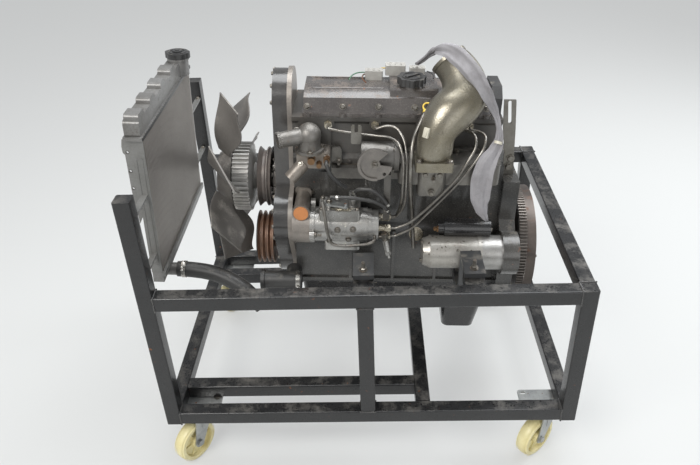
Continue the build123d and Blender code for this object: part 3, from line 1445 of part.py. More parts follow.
# Sender units screwed into the coolant housing
with BuildPart() as coolant_sensors:
    for a, c, size in SENSORS:
        with BuildSketch(spot(a, COOLANT_B, c, NEAR)) as hexagon:
            RegularPolygon(SENSOR_HEX_R * size, HEX_SIDES)
        extrude(hexagon.sketch, amount=SENSOR_HEX_H)
        rod(spot(a, COOLANT_B - SENSOR_HEX_H, c, NEAR), SENSOR_R * size, SENSOR_H * size)
save(coolant_sensors.part, "coolant_sensors")

# Water inlet: short pipe with a flange on the block and a collar at its mouth
with BuildPart() as water_inlet:
    bar(
        beside(INLET_B), INLET_A - INLET_COLLAR_R, INLET_A + INLET_COLLAR_R,
        INLET_C - INLET_R - INLET_FLANGE_EDGE, INLET_C + INLET_R + INLET_FLANGE_EDGE,
        INLET_FLANGE_T, COOLANT_CORNER,
    )
    rod(spot(INLET_A, INLET_B, INLET_C, NEAR), INLET_R, INLET_B - INLET_END_B)
    rod(spot(INLET_A, INLET_END_B, INLET_C, FAR), INLET_COLLAR_R, INLET_COLLAR_L)
    rod(
        spot(INLET_A, INLET_END_B, INLET_C, FAR), INLET_R - SPIGOT_WALL, SPIGOT_BORE_D,
        mode=Mode.SUBTRACT,
    )
save(water_inlet.part, "water_inlet")

# Plug pushed into the water inlet
with BuildPart() as inlet_plug:
    rod(
        spot(INLET_A, INLET_END_B - PLUG_STEP, INLET_C, FAR), INLET_R - SPIGOT_WALL - FIT,
        SPIGOT_BORE_D - PLUG_H,
    )
    rod(spot(INLET_A, INLET_END_B, INLET_C, NEAR), INLET_R - PLUG_STEP, PLUG_H / 2)
save(inlet_plug.part, "inlet_plug")

# Injection pump: flange, barrel, governor cover, hydraulic head and lever post
with BuildPart() as injection_pump:
    with BuildSketch(across(PUMP_A)) as flange:
        with Locations((PUMP_B, PUMP_C)):
            Circle(PUMP_BARREL_R + PUMP_FLANGE_EDGE)
            with PolarLocations(PUMP_EAR_PCR, PUMP_EARS, start_angle=PUMP_EAR_PHASE):
                Circle(PUMP_EAR_R)
    extrude(flange.sketch, amount=PUMP_FLANGE_T)
    barrel_a = PUMP_A + PUMP_FLANGE_T
    rod(spot(barrel_a, PUMP_B, PUMP_C, REAR), PUMP_BARREL_R, PUMP_HEAD_A - barrel_a)
    rod(spot(PUMP_HEAD_A, PUMP_B, PUMP_C, REAR), PUMP_BAND_R, PUMP_BAND_L)
    rod(spot(PUMP_HEAD_A, PUMP_B, PUMP_C, REAR), PUMP_RING_R, PUMP_HEAD_END_A - PUMP_HEAD_A)
    bar(
        above(PUMP_C), TOP_COVER_A, TOP_COVER_END_A, PUMP_B - TOP_COVER_HALF,
        PUMP_B + TOP_COVER_HALF, TOP_COVER_C - PUMP_C, TOP_COVER_CORNER,
    )
    bar(
        above(LOW_COVER_C), TOP_COVER_A + LOW_COVER_INSET, TOP_COVER_END_A,
        PUMP_B - TOP_COVER_HALF + LOW_COVER_INSET, PUMP_B + TOP_COVER_HALF - LOW_COVER_INSET,
        PUMP_C - LOW_COVER_C, TOP_COVER_CORNER,
    )
    rod(spot(LEVER_POST_A, LEVER_POST_B, TOP_COVER_C), LEVER_POST_R, LEVER_POST_H)
    rod(spot(TOP_COVER_END_A - FEED_POST_BACK, PUMP_B, TOP_COVER_C), FEED_POST_R, FEED_POST_H)
save(injection_pump.part, "injection_pump")

# Control lever of the pump, on its post
with BuildPart() as pump_lever:
    lever_c = TOP_COVER_C + LEVER_POST_H - LEVER_T - LEVER_TOP_GAP
    tip_a = LEVER_POST_A + LEVER_ARM_L * cos(radians(LEVER_DROOP))
    tip_b = LEVER_POST_B - LEVER_ARM_L * sin(radians(LEVER_DROOP))
    with BuildSketch(above(lever_c)) as arm:
        with Locations((LEVER_POST_A, LEVER_POST_B)):
            Circle(LEVER_EYE_R)
        with Locations((tip_a, tip_b)):
            Circle(LEVER_ARM_R)
        make_hull()
        with Locations((LEVER_POST_A, LEVER_POST_B)):
            Circle(LEVER_POST_R + FIT, mode=Mode.SUBTRACT)
    extrude(arm.sketch, amount=LEVER_T)
    rod(spot(tip_a, tip_b, lever_c + LEVER_T), LEVER_PIN_R, LEVER_ARM_R)
save(pump_lever.part, "pump_lever")

# Delivery valves, four in the pump's hydraulic head
valve_places = []
for turn_angle in VALVE_TURNS:
    valve_b = PUMP_B - VALVE_PCR * sin(radians(turn_angle))
    valve_c = PUMP_C + VALVE_PCR * cos(radians(turn_angle))
    valve_places.append((valve_b, valve_c))
valve_tip_a = PUMP_HEAD_END_A + VALVE_L
with BuildPart() as delivery_valves:
    for b, c in valve_places:
        rod(spot(PUMP_HEAD_END_A, b, c, REAR), VALVE_R, VALVE_L)
        with BuildSketch(spot(valve_tip_a - VALVE_NUT_L - VALVE_NUT_SET, b, c, REAR)) as nut:
            RegularPolygon(VALVE_NUT_R, HEX_SIDES)
        extrude(nut.sketch, amount=VALVE_NUT_L)
save(delivery_valves.part, "delivery_valves")

# Injectors, one in each boss of the head
injector_b = -HEAD_HALF
injector_tips = []
with BuildPart() as injectors:
    for a in bore_places:
        rod(spot(a, injector_b, INJECTOR_C, NEAR), INJECTOR_R, INJECTOR_L)
        with BuildSketch(spot(a, injector_b, INJECTOR_C, NEAR)) as hexagon:
            RegularPolygon(INJECTOR_HEX_R, HEX_SIDES)
        extrude(hexagon.sketch, amount=INJECTOR_HEX_H)
        injector_tips.append((a, injector_b - INJECTOR_L, INJECTOR_C))
save(injectors.part, "injectors")

# High-pressure pipes from the delivery valves to the injectors, and the
# overflow pipe round the pump
with BuildPart() as injection_pipes:
    for place, middle, tip in zip(valve_places, PIPE_ROUTES, injector_tips):
        start = (valve_tip_a, *place)
        lead = (valve_tip_a + PIPE_LEAD, *place)
        end_a, end_b, end_c = tip
        engine_pipe([start, lead, *middle, (end_a, end_b - PIPE_LEAD, end_c), tip], PIPE_R)
    engine_pipe(OVERFLOW_ROUTE, OVERFLOW_R)
save(injection_pipes.part, "injection_pipes")

# Rubber fuel hoses over the pump
with BuildPart() as fuel_hoses:
    for route in HOSE_ROUTES:
        engine_pipe(route, HOSE_R)
save(fuel_hoses.part, "fuel_hoses")

# Intake manifold: log on four ports, with the riser that carries the elbow
with BuildPart() as intake_manifold:
    bar(above(LOG_C), LOG_A, LOG_END_A, LOG_B, LOG_BACK_B, LOG_TOP_C - LOG_C, LOG_CORNER)
    bar(
        above(SLIM_C), COOLANT_END_A + INTAKE_GAP, LOG_A + LOG_CORNER, SLIM_B,
        -HEAD_HALF - PORT_FLANGE_T, SLIM_TOP_C - SLIM_C,
    )
    for a in bore_places:
        bar(
            beside(-HEAD_HALF), max(a - PORT_FLANGE_HALF, COOLANT_END_A + INTAKE_GAP),
            a + PORT_FLANGE_HALF, PORT_C - PORT_HALF_H, PORT_C + PORT_HALF_H,
            PORT_FLANGE_T, TOP_COVER_CORNER,
        )
    for a in bore_places[2:]:
        rod(spot(a, -HEAD_HALF, INTAKE_BRANCH_C, NEAR), PORT_HALF_H, INTAKE_BRANCH_L)
    bar(
        above(RISER_C), RISER_A, RISER_END_A, RISER_B, LOG_BACK_B, RISER_TOP_C - RISER_C,
        LOG_CORNER,
    )
save(intake_manifold.part, "intake_manifold")

# Intake elbow: one casting, square flange below and swan neck above
with BuildPart() as intake_elbow:
    bar(
        above(RISER_TOP_C), ELBOW_A - ELBOW_FLANGE_L / 2, ELBOW_A + ELBOW_FLANGE_L / 2,
        ELBOW_B - ELBOW_FLANGE_W / 2, ELBOW_B + ELBOW_FLANGE_W / 2, ELBOW_FLANGE_T,
        LOG_CORNER / 2,
    )
    sections = []
    for place, way, wide, deep in ELBOW_STATIONS:
        normal = engine_way(way)
        across_way = engine_way(REAR) - normal * (engine_way(REAR).dot(normal) / normal.dot(normal))
        with BuildSketch(
            Plane(origin=engine_point(*place), x_dir=across_way, z_dir=normal)
        ) as section:
            Ellipse(wide, deep)
        sections.append(section.sketch)
    loft(sections)
    mouth, mouth_way = ELBOW_STATIONS[-1][0], ELBOW_STATIONS[-1][1]
    rod(spot(*mouth, mouth_way), ELBOW_LIP_R, ELBOW_LIP_L)
    lip = Vector(*mouth) + Vector(*mouth_way).normalized() * ELBOW_LIP_L
    rod(
        spot(*tuple(lip), tuple(-Vector(*mouth_way))), ELBOW_STATIONS[-1][2] - ELBOW_WALL,
        ELBOW_BORE_D, mode=Mode.SUBTRACT,
    )
save(intake_elbow.part, "intake_elbow")

# Shield-shaped plate that blanks the port in the riser
with BuildPart() as blanking_plate:
    with BuildSketch(beside(SHIELD_B)) as shield:
        with Locations((SHIELD_A, SHIELD_C)):
            Rectangle(2 * SHIELD_R, SHIELD_R)
        with Locations((SHIELD_A, SHIELD_TIP_C)):
            Circle(SHIELD_TIP_R)
        make_hull()
        with Locations((SHIELD_A + SHIELD_SLOT_SHIFT, SHIELD_C + SHIELD_SLOT_RISE)):
            SlotCenterToCenter(
                SHIELD_SLOT_PITCH, SHIELD_SLOT_W, rotation=SHIELD_SLOT_TURN, mode=Mode.SUBTRACT
            )
    extrude(shield.sketch, amount=SHIELD_T)
    rod(spot(SHIELD_A, SHIELD_B - SHIELD_T, SHIELD_TIP_C, NEAR), SHIELD_BOLT_R, SHIELD_T)
save(blanking_plate.part, "blanking_plate")

# Throttle body: open barrel, bright clamp ring and the shaft boss
with BuildPart() as throttle_body:
    length = LOG_A - THROTTLE_A
    rod(spot(THROTTLE_A, THROTTLE_B, THROTTLE_C, REAR), THROTTLE_R, length)
    rod(
        spot(LOG_A - THROTTLE_RING_T, THROTTLE_B, THROTTLE_C, REAR), THROTTLE_RING_R,
        THROTTLE_RING_T,
    )
    rod(
        spot(THROTTLE_SHAFT_A, THROTTLE_B, THROTTLE_C, NEAR), THROTTLE_BOSS_R,
        THROTTLE_B - THROTTLE_BOSS_B,
    )
    rod(
        spot(THROTTLE_A, THROTTLE_B, THROTTLE_C, REAR), THROTTLE_R - THROTTLE_WALL,
        THROTTLE_BORE_D, mode=Mode.SUBTRACT,
    )
    rod(
        spot(THROTTLE_SHAFT_A, THROTTLE_BOSS_B, THROTTLE_C, FAR), THROTTLE_SHAFT_R + FIT,
        THROTTLE_B - THROTTLE_BOSS_B - THROTTLE_SHAFT_STOP, mode=Mode.SUBTRACT,
    )
    bar(
        beside(STRUT_B + STRUT_T), STRUT_A, STRUT_A + STRUT_W, STRUT_C,
        STRUT_TOP_C + STRUT_FOLD, STRUT_T,
    )
    bar(
        beside(STRUT_BACK_B), STRUT_A, STRUT_A + STRUT_W, STRUT_TOP_C,
        STRUT_TOP_C + STRUT_FOLD, STRUT_BACK_B - STRUT_B,
    )
save(throttle_body.part, "throttle_body")


def open_sector(first, last):
    """Cut the quadrant's sketch away between two angles."""
    points = [(THROTTLE_SHAFT_A, THROTTLE_C)]
    for angle in (first, (first + last) / 2, last):
        turn_in = radians(angle)
        points.append((
            THROTTLE_SHAFT_A + 2 * QUADRANT_R * cos(turn_in),
            THROTTLE_C + 2 * QUADRANT_R * sin(turn_in),
        ))
    Polygon(*points, align=None, mode=Mode.SUBTRACT)


# Throttle quadrant: cable disc with its rim track, on the throttle shaft
with BuildPart() as throttle_quadrant:
    quadrant_b = THROTTLE_BOSS_B - SEAT_GAP
    with BuildSketch(beside(quadrant_b)) as plate:
        with Locations((THROTTLE_SHAFT_A, THROTTLE_C)):
            Circle(QUADRANT_R)
        open_sector(*QUADRANT_OPEN)
        with Locations((THROTTLE_SHAFT_A + QUADRANT_HOLE_A, THROTTLE_C - QUADRANT_HOLE_DROP)):
            Circle(QUADRANT_HOLE_R, mode=Mode.SUBTRACT)
        with Locations((THROTTLE_SHAFT_A, THROTTLE_C)):
            Circle(QUADRANT_HUB_R)
    extrude(plate.sketch, amount=QUADRANT_T)
    with BuildSketch(beside(quadrant_b - QUADRANT_T)) as track:
        with Locations((THROTTLE_SHAFT_A, THROTTLE_C)):
            Circle(QUADRANT_R)
            Circle(QUADRANT_TRACK_R, mode=Mode.SUBTRACT)
        open_sector(*TRACK_OPEN)
    extrude(track.sketch, amount=QUADRANT_TRACK_W)
    rod(spot(THROTTLE_SHAFT_A, quadrant_b, THROTTLE_C, FAR), THROTTLE_SHAFT_R, QUADRANT_SHAFT_L)
save(throttle_quadrant.part, "throttle_quadrant")

# Starter motor: barrel, bright band, end cap and its solenoid
with BuildPart() as starter_motor:
    rod(spot(STARTER_A, STARTER_B, STARTER_C, REAR), STARTER_R, STARTER_END_A - STARTER_A)
    taper(
        spot(STARTER_A, STARTER_B, STARTER_C, FRONT), STARTER_CAP_R, STARTER_CAP_TIP_R,
        STARTER_CAP_T,
    )
    rod(
        spot(STARTER_BAND_A, STARTER_B, STARTER_C, REAR), NOSE_HOUSING_R,
        STARTER_END_A - STARTER_BAND_A,
    )
    solenoid_c = STARTER_C + SOLENOID_LIFT
    solenoid_b = STARTER_B + SOLENOID_SHIFT
    solenoid_a = STARTER_END_A - SOLENOID_L
    rod(spot(solenoid_a, solenoid_b, solenoid_c, REAR), SOLENOID_R, SOLENOID_L)
    rod(spot(solenoid_a, solenoid_b, solenoid_c, FRONT), SOLENOID_CAP_R, SOLENOID_CAP_L)
save(starter_motor.part, "starter_motor")

# Drive housing between the starter and the flange
with BuildPart() as starter_housing:
    rod(
        spot(STARTER_END_A, STARTER_B, STARTER_C, REAR), NOSE_HOUSING_R,
        FLANGE_A - STARTER_END_A,
    )
    rod(spot(STARTER_END_A, solenoid_b, solenoid_c, REAR), SOLENOID_R, SOLENOID_NOSE_L)
    rod(spot(FLANGE_A, STARTER_B, STARTER_C, REAR), NOSE_SMALL_R, FLANGE_T)
save(starter_housing.part, "starter_housing")

# Exhaust manifold on the far side: four branches, a log and a flanged outlet
with BuildPart() as exhaust_manifold:
    for a in bore_places:
        bar(
            beside(EXHAUST_B + EXHAUST_FLANGE_T), a - EXHAUST_FLANGE_HALF, a + EXHAUST_FLANGE_HALF,
            EXHAUST_C - EXHAUST_FLANGE_HALF_H, EXHAUST_C + EXHAUST_FLANGE_HALF_H,
            EXHAUST_FLANGE_T, TOP_COVER_CORNER,
        )
        rod(spot(a, EXHAUST_B, EXHAUST_C, FAR), EXHAUST_RUNNER_R, EXHAUST_LOG_B - EXHAUST_B)
    log_a = bore_places[0] - EXHAUST_RUNNER_R
    log_end_a = bore_places[-1] + EXHAUST_RUNNER_R
    rod(spot(log_a, EXHAUST_LOG_B, EXHAUST_C, REAR), EXHAUST_LOG_R, log_end_a - log_a)
    drop = EXHAUST_C - EXHAUST_OUTLET_C
    rod(spot(EXHAUST_OUTLET_A, EXHAUST_LOG_B, EXHAUST_C, DOWN), EXHAUST_STEM_R, drop)
    rod(
        spot(EXHAUST_OUTLET_A, EXHAUST_LOG_B, EXHAUST_OUTLET_C, UP), OUTLET_FLANGE_R,
        OUTLET_FLANGE_T,
    )
    rod(
        spot(EXHAUST_OUTLET_A, EXHAUST_LOG_B, EXHAUST_OUTLET_C, UP), OUTLET_BORE_R,
        OUTLET_BORE_D, mode=Mode.SUBTRACT,
    )
    with Locations(spot(EXHAUST_OUTLET_A, EXHAUST_LOG_B, EXHAUST_OUTLET_C, UP)):
        with PolarLocations(OUTLET_PCR, OUTLET_HOLES, start_angle=OUTLET_PHASE):
            Cylinder(OUTLET_HOLE_R, OUTLET_FLANGE_T, align=FLOOR_UP, mode=Mode.SUBTRACT)
save(exhaust_manifold.part, "exhaust_manifold")

# Dipstick tube, from the block up past the throttle
with BuildPart() as dipstick_tube:
    lower_run = [(a, -SKIRT_HALF - out, c) for a, out, c in DIPSTICK_ROUTE]
    engine_pipe([DIPSTICK_TOP, DIPSTICK_BEND, *lower_run], DIPSTICK_TUBE_R)
    stem_way = Vector(*DIPSTICK_BEND) - Vector(*DIPSTICK_TOP)
    rod(
        spot(*DIPSTICK_TOP, tuple(stem_way)), DIPSTICK_BORE_R, DIPSTICK_STEM + DIPSTICK_TIP_GAP,
        mode=Mode.SUBTRACT,
    )
save(dipstick_tube.part, "dipstick_tube")

# Dipstick: straight upper stem, stop collar and pull ring
with BuildPart() as dipstick:
    up_way = -stem_way
    rod(spot(*DIPSTICK_TOP, tuple(stem_way)), DIPSTICK_ROD_R, DIPSTICK_STEM)
    seat = Vector(*DIPSTICK_TOP) + up_way.normalized() * SEAT_GAP
    rod(spot(*tuple(seat), tuple(up_way)), DIPSTICK_COLLAR_R, DIPSTICK_COLLAR_H)
    rod(spot(*DIPSTICK_TOP, tuple(up_way)), DIPSTICK_ROD_R, DIPSTICK_COLLAR_H)
    ring_mid = seat + up_way.normalized() * (DIPSTICK_COLLAR_H + DIPSTICK_RING_R)
    with Locations(spot(*tuple(ring_mid), tuple(up_way.cross(Vector(*REAR))))):
        Torus(DIPSTICK_RING_R, DIPSTICK_RING_WIRE)
save(dipstick.part, "dipstick")

# Mount arms: pad on the block, level web, rise and end plate
with BuildPart() as mount_arms:
    for x, pad_drop in zip(mount_x, MOUNT_PAD_DROP):
        pad_z = ENGINE_Z - pad_drop
        for side in (-1, 1):
            pad_y = side * SKIRT_HALF
            plate_y = side * (SKIRT_HALF + ARM_T)
            rise_y = side * ARM_RISE_Y
            end_y = side * ARM_REACH_Y
            face = Plane(origin=(x - ARM_W / 2, 0, 0), x_dir=(0, 1, 0), z_dir=(1, 0, 0))
            end_z = bracket_top_z + BUSH_H
            points = [
                (pad_y, pad_z - ARM_PAD_H / 2), (pad_y, pad_z + ARM_PAD_H / 2),
                (plate_y, pad_z + ARM_PAD_H / 2), (plate_y + side * ARM_T, pad_z + ARM_T / 2),
                (rise_y - side * ARM_T, pad_z + ARM_T / 2), (rise_y, end_z + ARM_T),
                (end_y, end_z + ARM_T), (end_y, end_z), (rise_y + side * ARM_T, end_z),
                (rise_y, pad_z - ARM_T / 2), (plate_y, pad_z - ARM_PAD_H / 2),
            ]
            outline(face, points, ARM_W)
save(mount_arms.part, "mount_arms")

# Rubber bushes between the arms and the stand's brackets
with BuildPart() as mount_bushes:
    for x in mount_x:
        for side in (-1, 1):
            place = Plane((x, side * (ARM_REACH_Y - BUSH_R - BUSH_INSET), bracket_top_z))
            rod(place, BUSH_R, BUSH_H)
save(mount_bushes.part, "mount_bushes")

lean = radians(RAD_LEAN)
RADIATOR = Plane(
    origin=(RAD_X, 0, RAD_Z), x_dir=(0, 1, 0), z_dir=(cos(lean), 0, -sin(lean))
)
core_left = CORE_MID_Y - CORE_W / 2
core_right = CORE_MID_Y + CORE_W / 2
core_low = -CORE_H / 2
core_high = CORE_H / 2

# Radiator core
with BuildPart() as radiator_core:
    bar(RADIATOR.offset(-CORE_T), core_left, core_right, core_low, core_high, CORE_T)
save(radiator_core.part, "radiator_core")

# Radiator tanks: ribbed top tank with its filler neck, bottom tank with its outlet
with BuildPart() as radiator_tanks:
    tank_left = CORE_MID_Y - TANK_W / 2
    tank_right = CORE_MID_Y + TANK_W / 2
    foot_top = core_high + TANK_FOOT
    back = RADIATOR.offset(-TANK_T)
    bar(back, tank_left, tank_right, core_high, foot_top, TANK_T + TANK_LIP)
    bar(
        RADIATOR.offset(TANK_INSET - TANK_T), tank_left + 2 * TANK_INSET,
        tank_right - 2 * TANK_INSET, foot_top - TANK_INSET,
        foot_top + TANK_H - TANK_RIB_H, TANK_T - TANK_INSET - TANK_LIP, TANK_FOOT,
    )
    rib_pitch = (NECK_W - NECK_R - tank_left) / TANK_RIBS
    for i in range(TANK_RIBS):
        rib_w = tank_left + TANK_RIB_START + i * rib_pitch
        bar(
            RADIATOR.offset(2 * TANK_INSET - TANK_T), rib_w, rib_w + TANK_RIB_W, foot_top,
            foot_top + TANK_H, TANK_T - 2 * TANK_INSET - TANK_LIP, TANK_FOOT,
        )
    neck_place = Plane(
        origin=RADIATOR.from_local_coords((NECK_W, foot_top, NECK_N)), z_dir=RADIATOR.y_dir
    )
    rod(neck_place, NECK_R, NECK_H)
    rod(neck_place.offset(NECK_H - NECK_RIM_H), NECK_RIM_R, NECK_RIM_H)
    bar(
        RADIATOR.offset(-CORE_T), core_left, core_right, core_low - BOTTOM_TANK_H, core_low,
        CORE_T,
    )
    outlet_place = Plane(
        origin=RADIATOR.from_local_coords(
            (RAD_OUTLET_W, core_low - RAD_OUTLET_DROP, -RAD_OUTLET_SINK)
        ),
        z_dir=RADIATOR.z_dir,
    )
    rod(outlet_place, RAD_OUTLET_R, RAD_OUTLET_L)
save(radiator_tanks.part, "radiator_tanks")

# Radiator cap with its two ears
with BuildPart() as radiator_cap:
    cap_place = neck_place.offset(NECK_H + SEAT_GAP)
    with BuildSketch(cap_place) as disc:
        Circle(RAD_CAP_R - RAD_CAP_EARS)
        SlotOverall(2 * RAD_CAP_R, RAD_CAP_R)
    extrude(disc.sketch, amount=RAD_CAP_H)
    rod(cap_place.offset(RAD_CAP_H), NECK_R / 2, RAD_CAP_EARS)
save(radiator_cap.part, "radiator_cap")

# Radiator frame: side plates with their drilled brackets, foot rail and the
# hangers on the tall posts
with BuildPart() as radiator_frame:
    for side, edge in ((-1, core_left), (1, core_right)):
        flank = Plane(
            origin=RADIATOR.from_local_coords((edge, 0, 0)), x_dir=RADIATOR.z_dir,
            z_dir=RADIATOR.x_dir * side,
        )
        with BuildSketch(flank) as plate:
            with BuildLine():
                Polyline(*[(n, -side * v) for n, v in SIDE_OUTLINE], close=True)
            make_face()
            with Locations((-CORE_T / 2, 0)):
                Rectangle(CORE_T, CORE_H)
            with Locations([(SIDE_HOLE_N, -side * v) for v in SIDE_HOLES]):
                Circle(SIDE_HOLE_R, mode=Mode.SUBTRACT)
        extrude(plate.sketch, amount=SIDE_T)
        y0, y1 = sorted((edge + side * SIDE_T, side * (inner_y - FIT)))
        for rise in HANGER_V:
            hanger_x = RAD_X + rise * tan(lean) - HANGER_SET
            bar(Plane.XY.offset(RAD_Z + rise), hanger_x, hanger_x + HANGER_W, y0, y1, HANGER_T)
    bar(
        RADIATOR.offset(SEAT_GAP), core_left - SIDE_T, core_right + SIDE_T,
        core_low - FOOT_RAIL_T, core_low, FOOT_RAIL_T / 2,
    )
save(radiator_frame.part, "radiator_frame")

# Lower radiator hose, pushed on the outlet and hanging free
hose_start = outlet_place.from_local_coords((0, 0, RAD_OUTLET_L + SEAT_GAP))
hose_lead = outlet_place.from_local_coords((0, 0, RAD_OUTLET_L + HOSE_LEAD))
hose_points = [hose_start, hose_lead, *[Vector(RAD_X + x, y, z) for x, y, z in HOSE_ROUTE]]
with BuildPart() as lower_hose:
    hose_radii = pipe(hose_points, HOSE_OUTER_R)
save(lower_hose.part, "lower_hose")
print("lower hose radii", [round(radius) for radius in hose_radii])

# Moulded hose stub low at the front corner, on its spigot
with BuildPart() as hose_stub:
    stub_l = STUB_HOSE_END_A - STUB_HOSE_A
    rod(spot(STUB_HOSE_A, STUB_HOSE_B, STUB_HOSE_C, REAR), STUB_HOSE_R, stub_l)
    rod(spot(STUB_HOSE_A, STUB_HOSE_B, STUB_HOSE_C, REAR), STUB_RIM_R, STUB_RIM_L)
    rod(
        spot(STUB_HOSE_END_A - STUB_HOSE_R, -SKIRT_HALF, STUB_HOSE_C, NEAR), STUB_ELBOW_R,
        -SKIRT_HALF - STUB_HOSE_B,
    )
    rod(
        spot(STUB_HOSE_A, STUB_HOSE_B, STUB_HOSE_C, REAR), STUB_HOSE_R - STUB_WALL,
        STUB_BORE_D, mode=Mode.SUBTRACT,
    )
save(hose_stub.part, "hose_stub")

# Steel brackets: the fork beside the throttle and the slotted link at the back
with BuildPart() as engine_brackets:
    fork_mid = FORK_A + FORK_W / 2
    with BuildSketch(beside(FORK_B)) as fork:
        with Locations((fork_mid, (FORK_C + FORK_TOP_C) / 2)):
            RectangleRounded(FORK_W, FORK_TOP_C - FORK_C, FORK_T)
        with Locations((fork_mid, FORK_TOP_C)):
            SlotOverall(2 * FORK_NOTCH_D, FORK_NOTCH_W, rotation=UPRIGHT, mode=Mode.SUBTRACT)
    extrude(fork.sketch, amount=FORK_T)
    bar(
        above(FORK_C), fork_mid - FORK_T, fork_mid + FORK_T, FORK_B,
        -HEAD_HALF + HEAD_WAIST, FORK_T,
    )
    with BuildSketch(beside(LINK_B)) as link:
        with BuildLine():
            Polyline(
                (LINK_A - LINK_HALF_W, LINK_TOP_C), (LINK_A + LINK_HALF_W, LINK_TOP_C),
                (LINK_A + LINK_HALF_W + LINK_FLARE, LINK_LOW_C),
                (LINK_KNEE_A + LINK_FLARE, LINK_KNEE_C),
                (LINK_FOOT_A + LINK_HALF_W, FLANGE_TOP_C),
                (LINK_FOOT_A - LINK_HALF_W, FLANGE_TOP_C),
                (LINK_KNEE_A - LINK_KNEE_BACK, LINK_KNEE_C),
                (LINK_A - LINK_HALF_W + LINK_NECK_IN, LINK_LOW_C),
                close=True,
            )
        make_face()
        slot_c = (LINK_TOP_C + LINK_LOW_C) / 2 + LINK_SLOT_RISE
        with Locations((LINK_A + LINK_SLOT_SHIFT, slot_c)):
            SlotOverall(
                LINK_SLOT_L, 2 * LINK_SLOT_HALF_W, rotation=LINK_SLOT_TURN, mode=Mode.SUBTRACT
            )
    extrude(link.sketch, amount=LINK_T)
save(engine_brackets.part, "engine_brackets")

# Rear cover: dark end cap of the camshaft behind the valve cover
with BuildPart() as rear_cover:
    cap_half = [
        (REAR_COVER_HALF, HEAD_TOP_C),
        (REAR_COVER_HALF, REAR_COVER_C - REAR_COVER_BEVEL),
        (REAR_COVER_HALF - REAR_COVER_BEVEL, REAR_COVER_C),
    ]
    outline(across(REAR_COVER_A), mirrored(cap_half), REAR_COVER_END_A - REAR_COVER_A)
save(rear_cover.part, "rear_cover")

# Harness plugs lying on the valve cover
with BuildPart() as harness_plugs:
    for a, b, c, plug_l, plug_w, plug_h in PLUGS:
        bar(
            above(c), a - plug_l / 2, a + plug_l / 2, b - plug_w / 2, b + plug_w / 2,
            plug_h, PLUG_CORNER,
        )
save(harness_plugs.part, "harness_plugs")

# Harness sleeve: soft cloth tube over the elbow, with its hanging tail
sleeve_points = [engine_point(*point) for point in SLEEVE_ROUTE]
with BuildPart() as harness_sleeve:
    sleeve_radii = pipe(sleeve_points, SLEEVE_R)
save(harness_sleeve.part, "harness_sleeve")
print("sleeve radii", [round(radius) for radius in sleeve_radii])
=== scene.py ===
"""Looks of a diesel engine on its wheeled stand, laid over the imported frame.

The CAD nodes keep their meshes. Each gets a layered procedural finish, apart
from the radiator's core, which keeps its packed one. The small parts that a
photograph shows, such as screws, clamps, wires and tubes, are added as pieces
that ride with their bodies.
"""
import json
import logging
import math
from abc import ABC, abstractmethod
from dataclasses import asdict, dataclass, field, fields
from enum import Enum
from itertools import product
from typing import Dict, Iterable, List, Optional, Sequence, Tuple, Union

import bmesh
import bpy
from mathutils import Matrix, Vector
from mathutils.bvhtree import BVHTree


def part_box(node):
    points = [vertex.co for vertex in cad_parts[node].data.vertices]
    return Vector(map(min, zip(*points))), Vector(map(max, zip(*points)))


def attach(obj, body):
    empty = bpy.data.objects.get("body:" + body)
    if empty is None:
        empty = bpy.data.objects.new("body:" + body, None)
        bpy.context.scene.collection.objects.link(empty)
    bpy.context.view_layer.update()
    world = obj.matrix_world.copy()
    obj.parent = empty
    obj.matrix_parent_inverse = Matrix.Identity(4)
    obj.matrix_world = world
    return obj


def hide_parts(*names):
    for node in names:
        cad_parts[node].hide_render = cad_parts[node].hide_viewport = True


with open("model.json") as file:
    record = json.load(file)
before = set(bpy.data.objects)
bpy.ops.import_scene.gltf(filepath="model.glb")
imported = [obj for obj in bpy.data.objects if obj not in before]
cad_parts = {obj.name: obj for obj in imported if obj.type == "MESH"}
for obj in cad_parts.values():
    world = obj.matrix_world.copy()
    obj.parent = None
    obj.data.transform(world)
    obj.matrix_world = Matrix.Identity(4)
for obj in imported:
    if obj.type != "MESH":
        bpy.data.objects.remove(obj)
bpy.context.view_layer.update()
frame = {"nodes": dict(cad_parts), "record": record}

LOG = logging.getLogger("engine_scene")

MM = 0.001
TILT = math.radians(2.4)
ENGINE_ORIGIN = Vector((-195.0, 0.0, 515.0))
ENGINE_AXES = Matrix(
    (
        (math.cos(TILT), 0.0, math.sin(TILT)),
        (0.0, 1.0, 0.0),
        (-math.sin(TILT), 0.0, math.cos(TILT)),
    )
)
LEAN = math.radians(3.3)
RADIATOR_ORIGIN = Vector((-513.0, 0.0, 772.0))
RADIATOR_AXES = Matrix(
    (
        (0.0, math.sin(LEAN), math.cos(LEAN)),
        (1.0, 0.0, 0.0),
        (0.0, math.cos(LEAN), -math.sin(LEAN)),
    )
)

Triple = Tuple[float, float, float]
Value = Union["Wire", bpy.types.NodeSocket, bpy.types.ID, float, int, str, Tuple[float, ...]]

UP = Vector((0.0, 0.0, 1.0))
DOWN = -UP
PORTS = (92.0, 210.0, 328.0, 446.0)
STREAK = (1.0, 1.0, 0.12)
NOISE_ROUGHNESS = 0.58
SEED_STEP = 0.37
COAT_ROUGHNESS = 0.16
GRAIN_HEIGHT = 0.0012
CORE_FINISH = "core_fins"
CHAMFER_SHARE = 0.28
HEAD_SPIN = 1.05
MERGE_DISTANCE = 0.00001
SMOOTH_ANGLE = 32.0
WHOLLY_SMOOTH = 181.0


class Body(str, Enum):
    """Bodies of the joint tree that carry added pieces, besides the casters' own."""

    STAND = "stand"
    CRANK = "crank"
    FAN = "fan"
    PUMP_LEVER = "pump_lever"
    QUADRANT = "throttle_quadrant"
    OIL_CAP = "oil_filler_cap"
    RADIATOR_CAP = "radiator_cap"


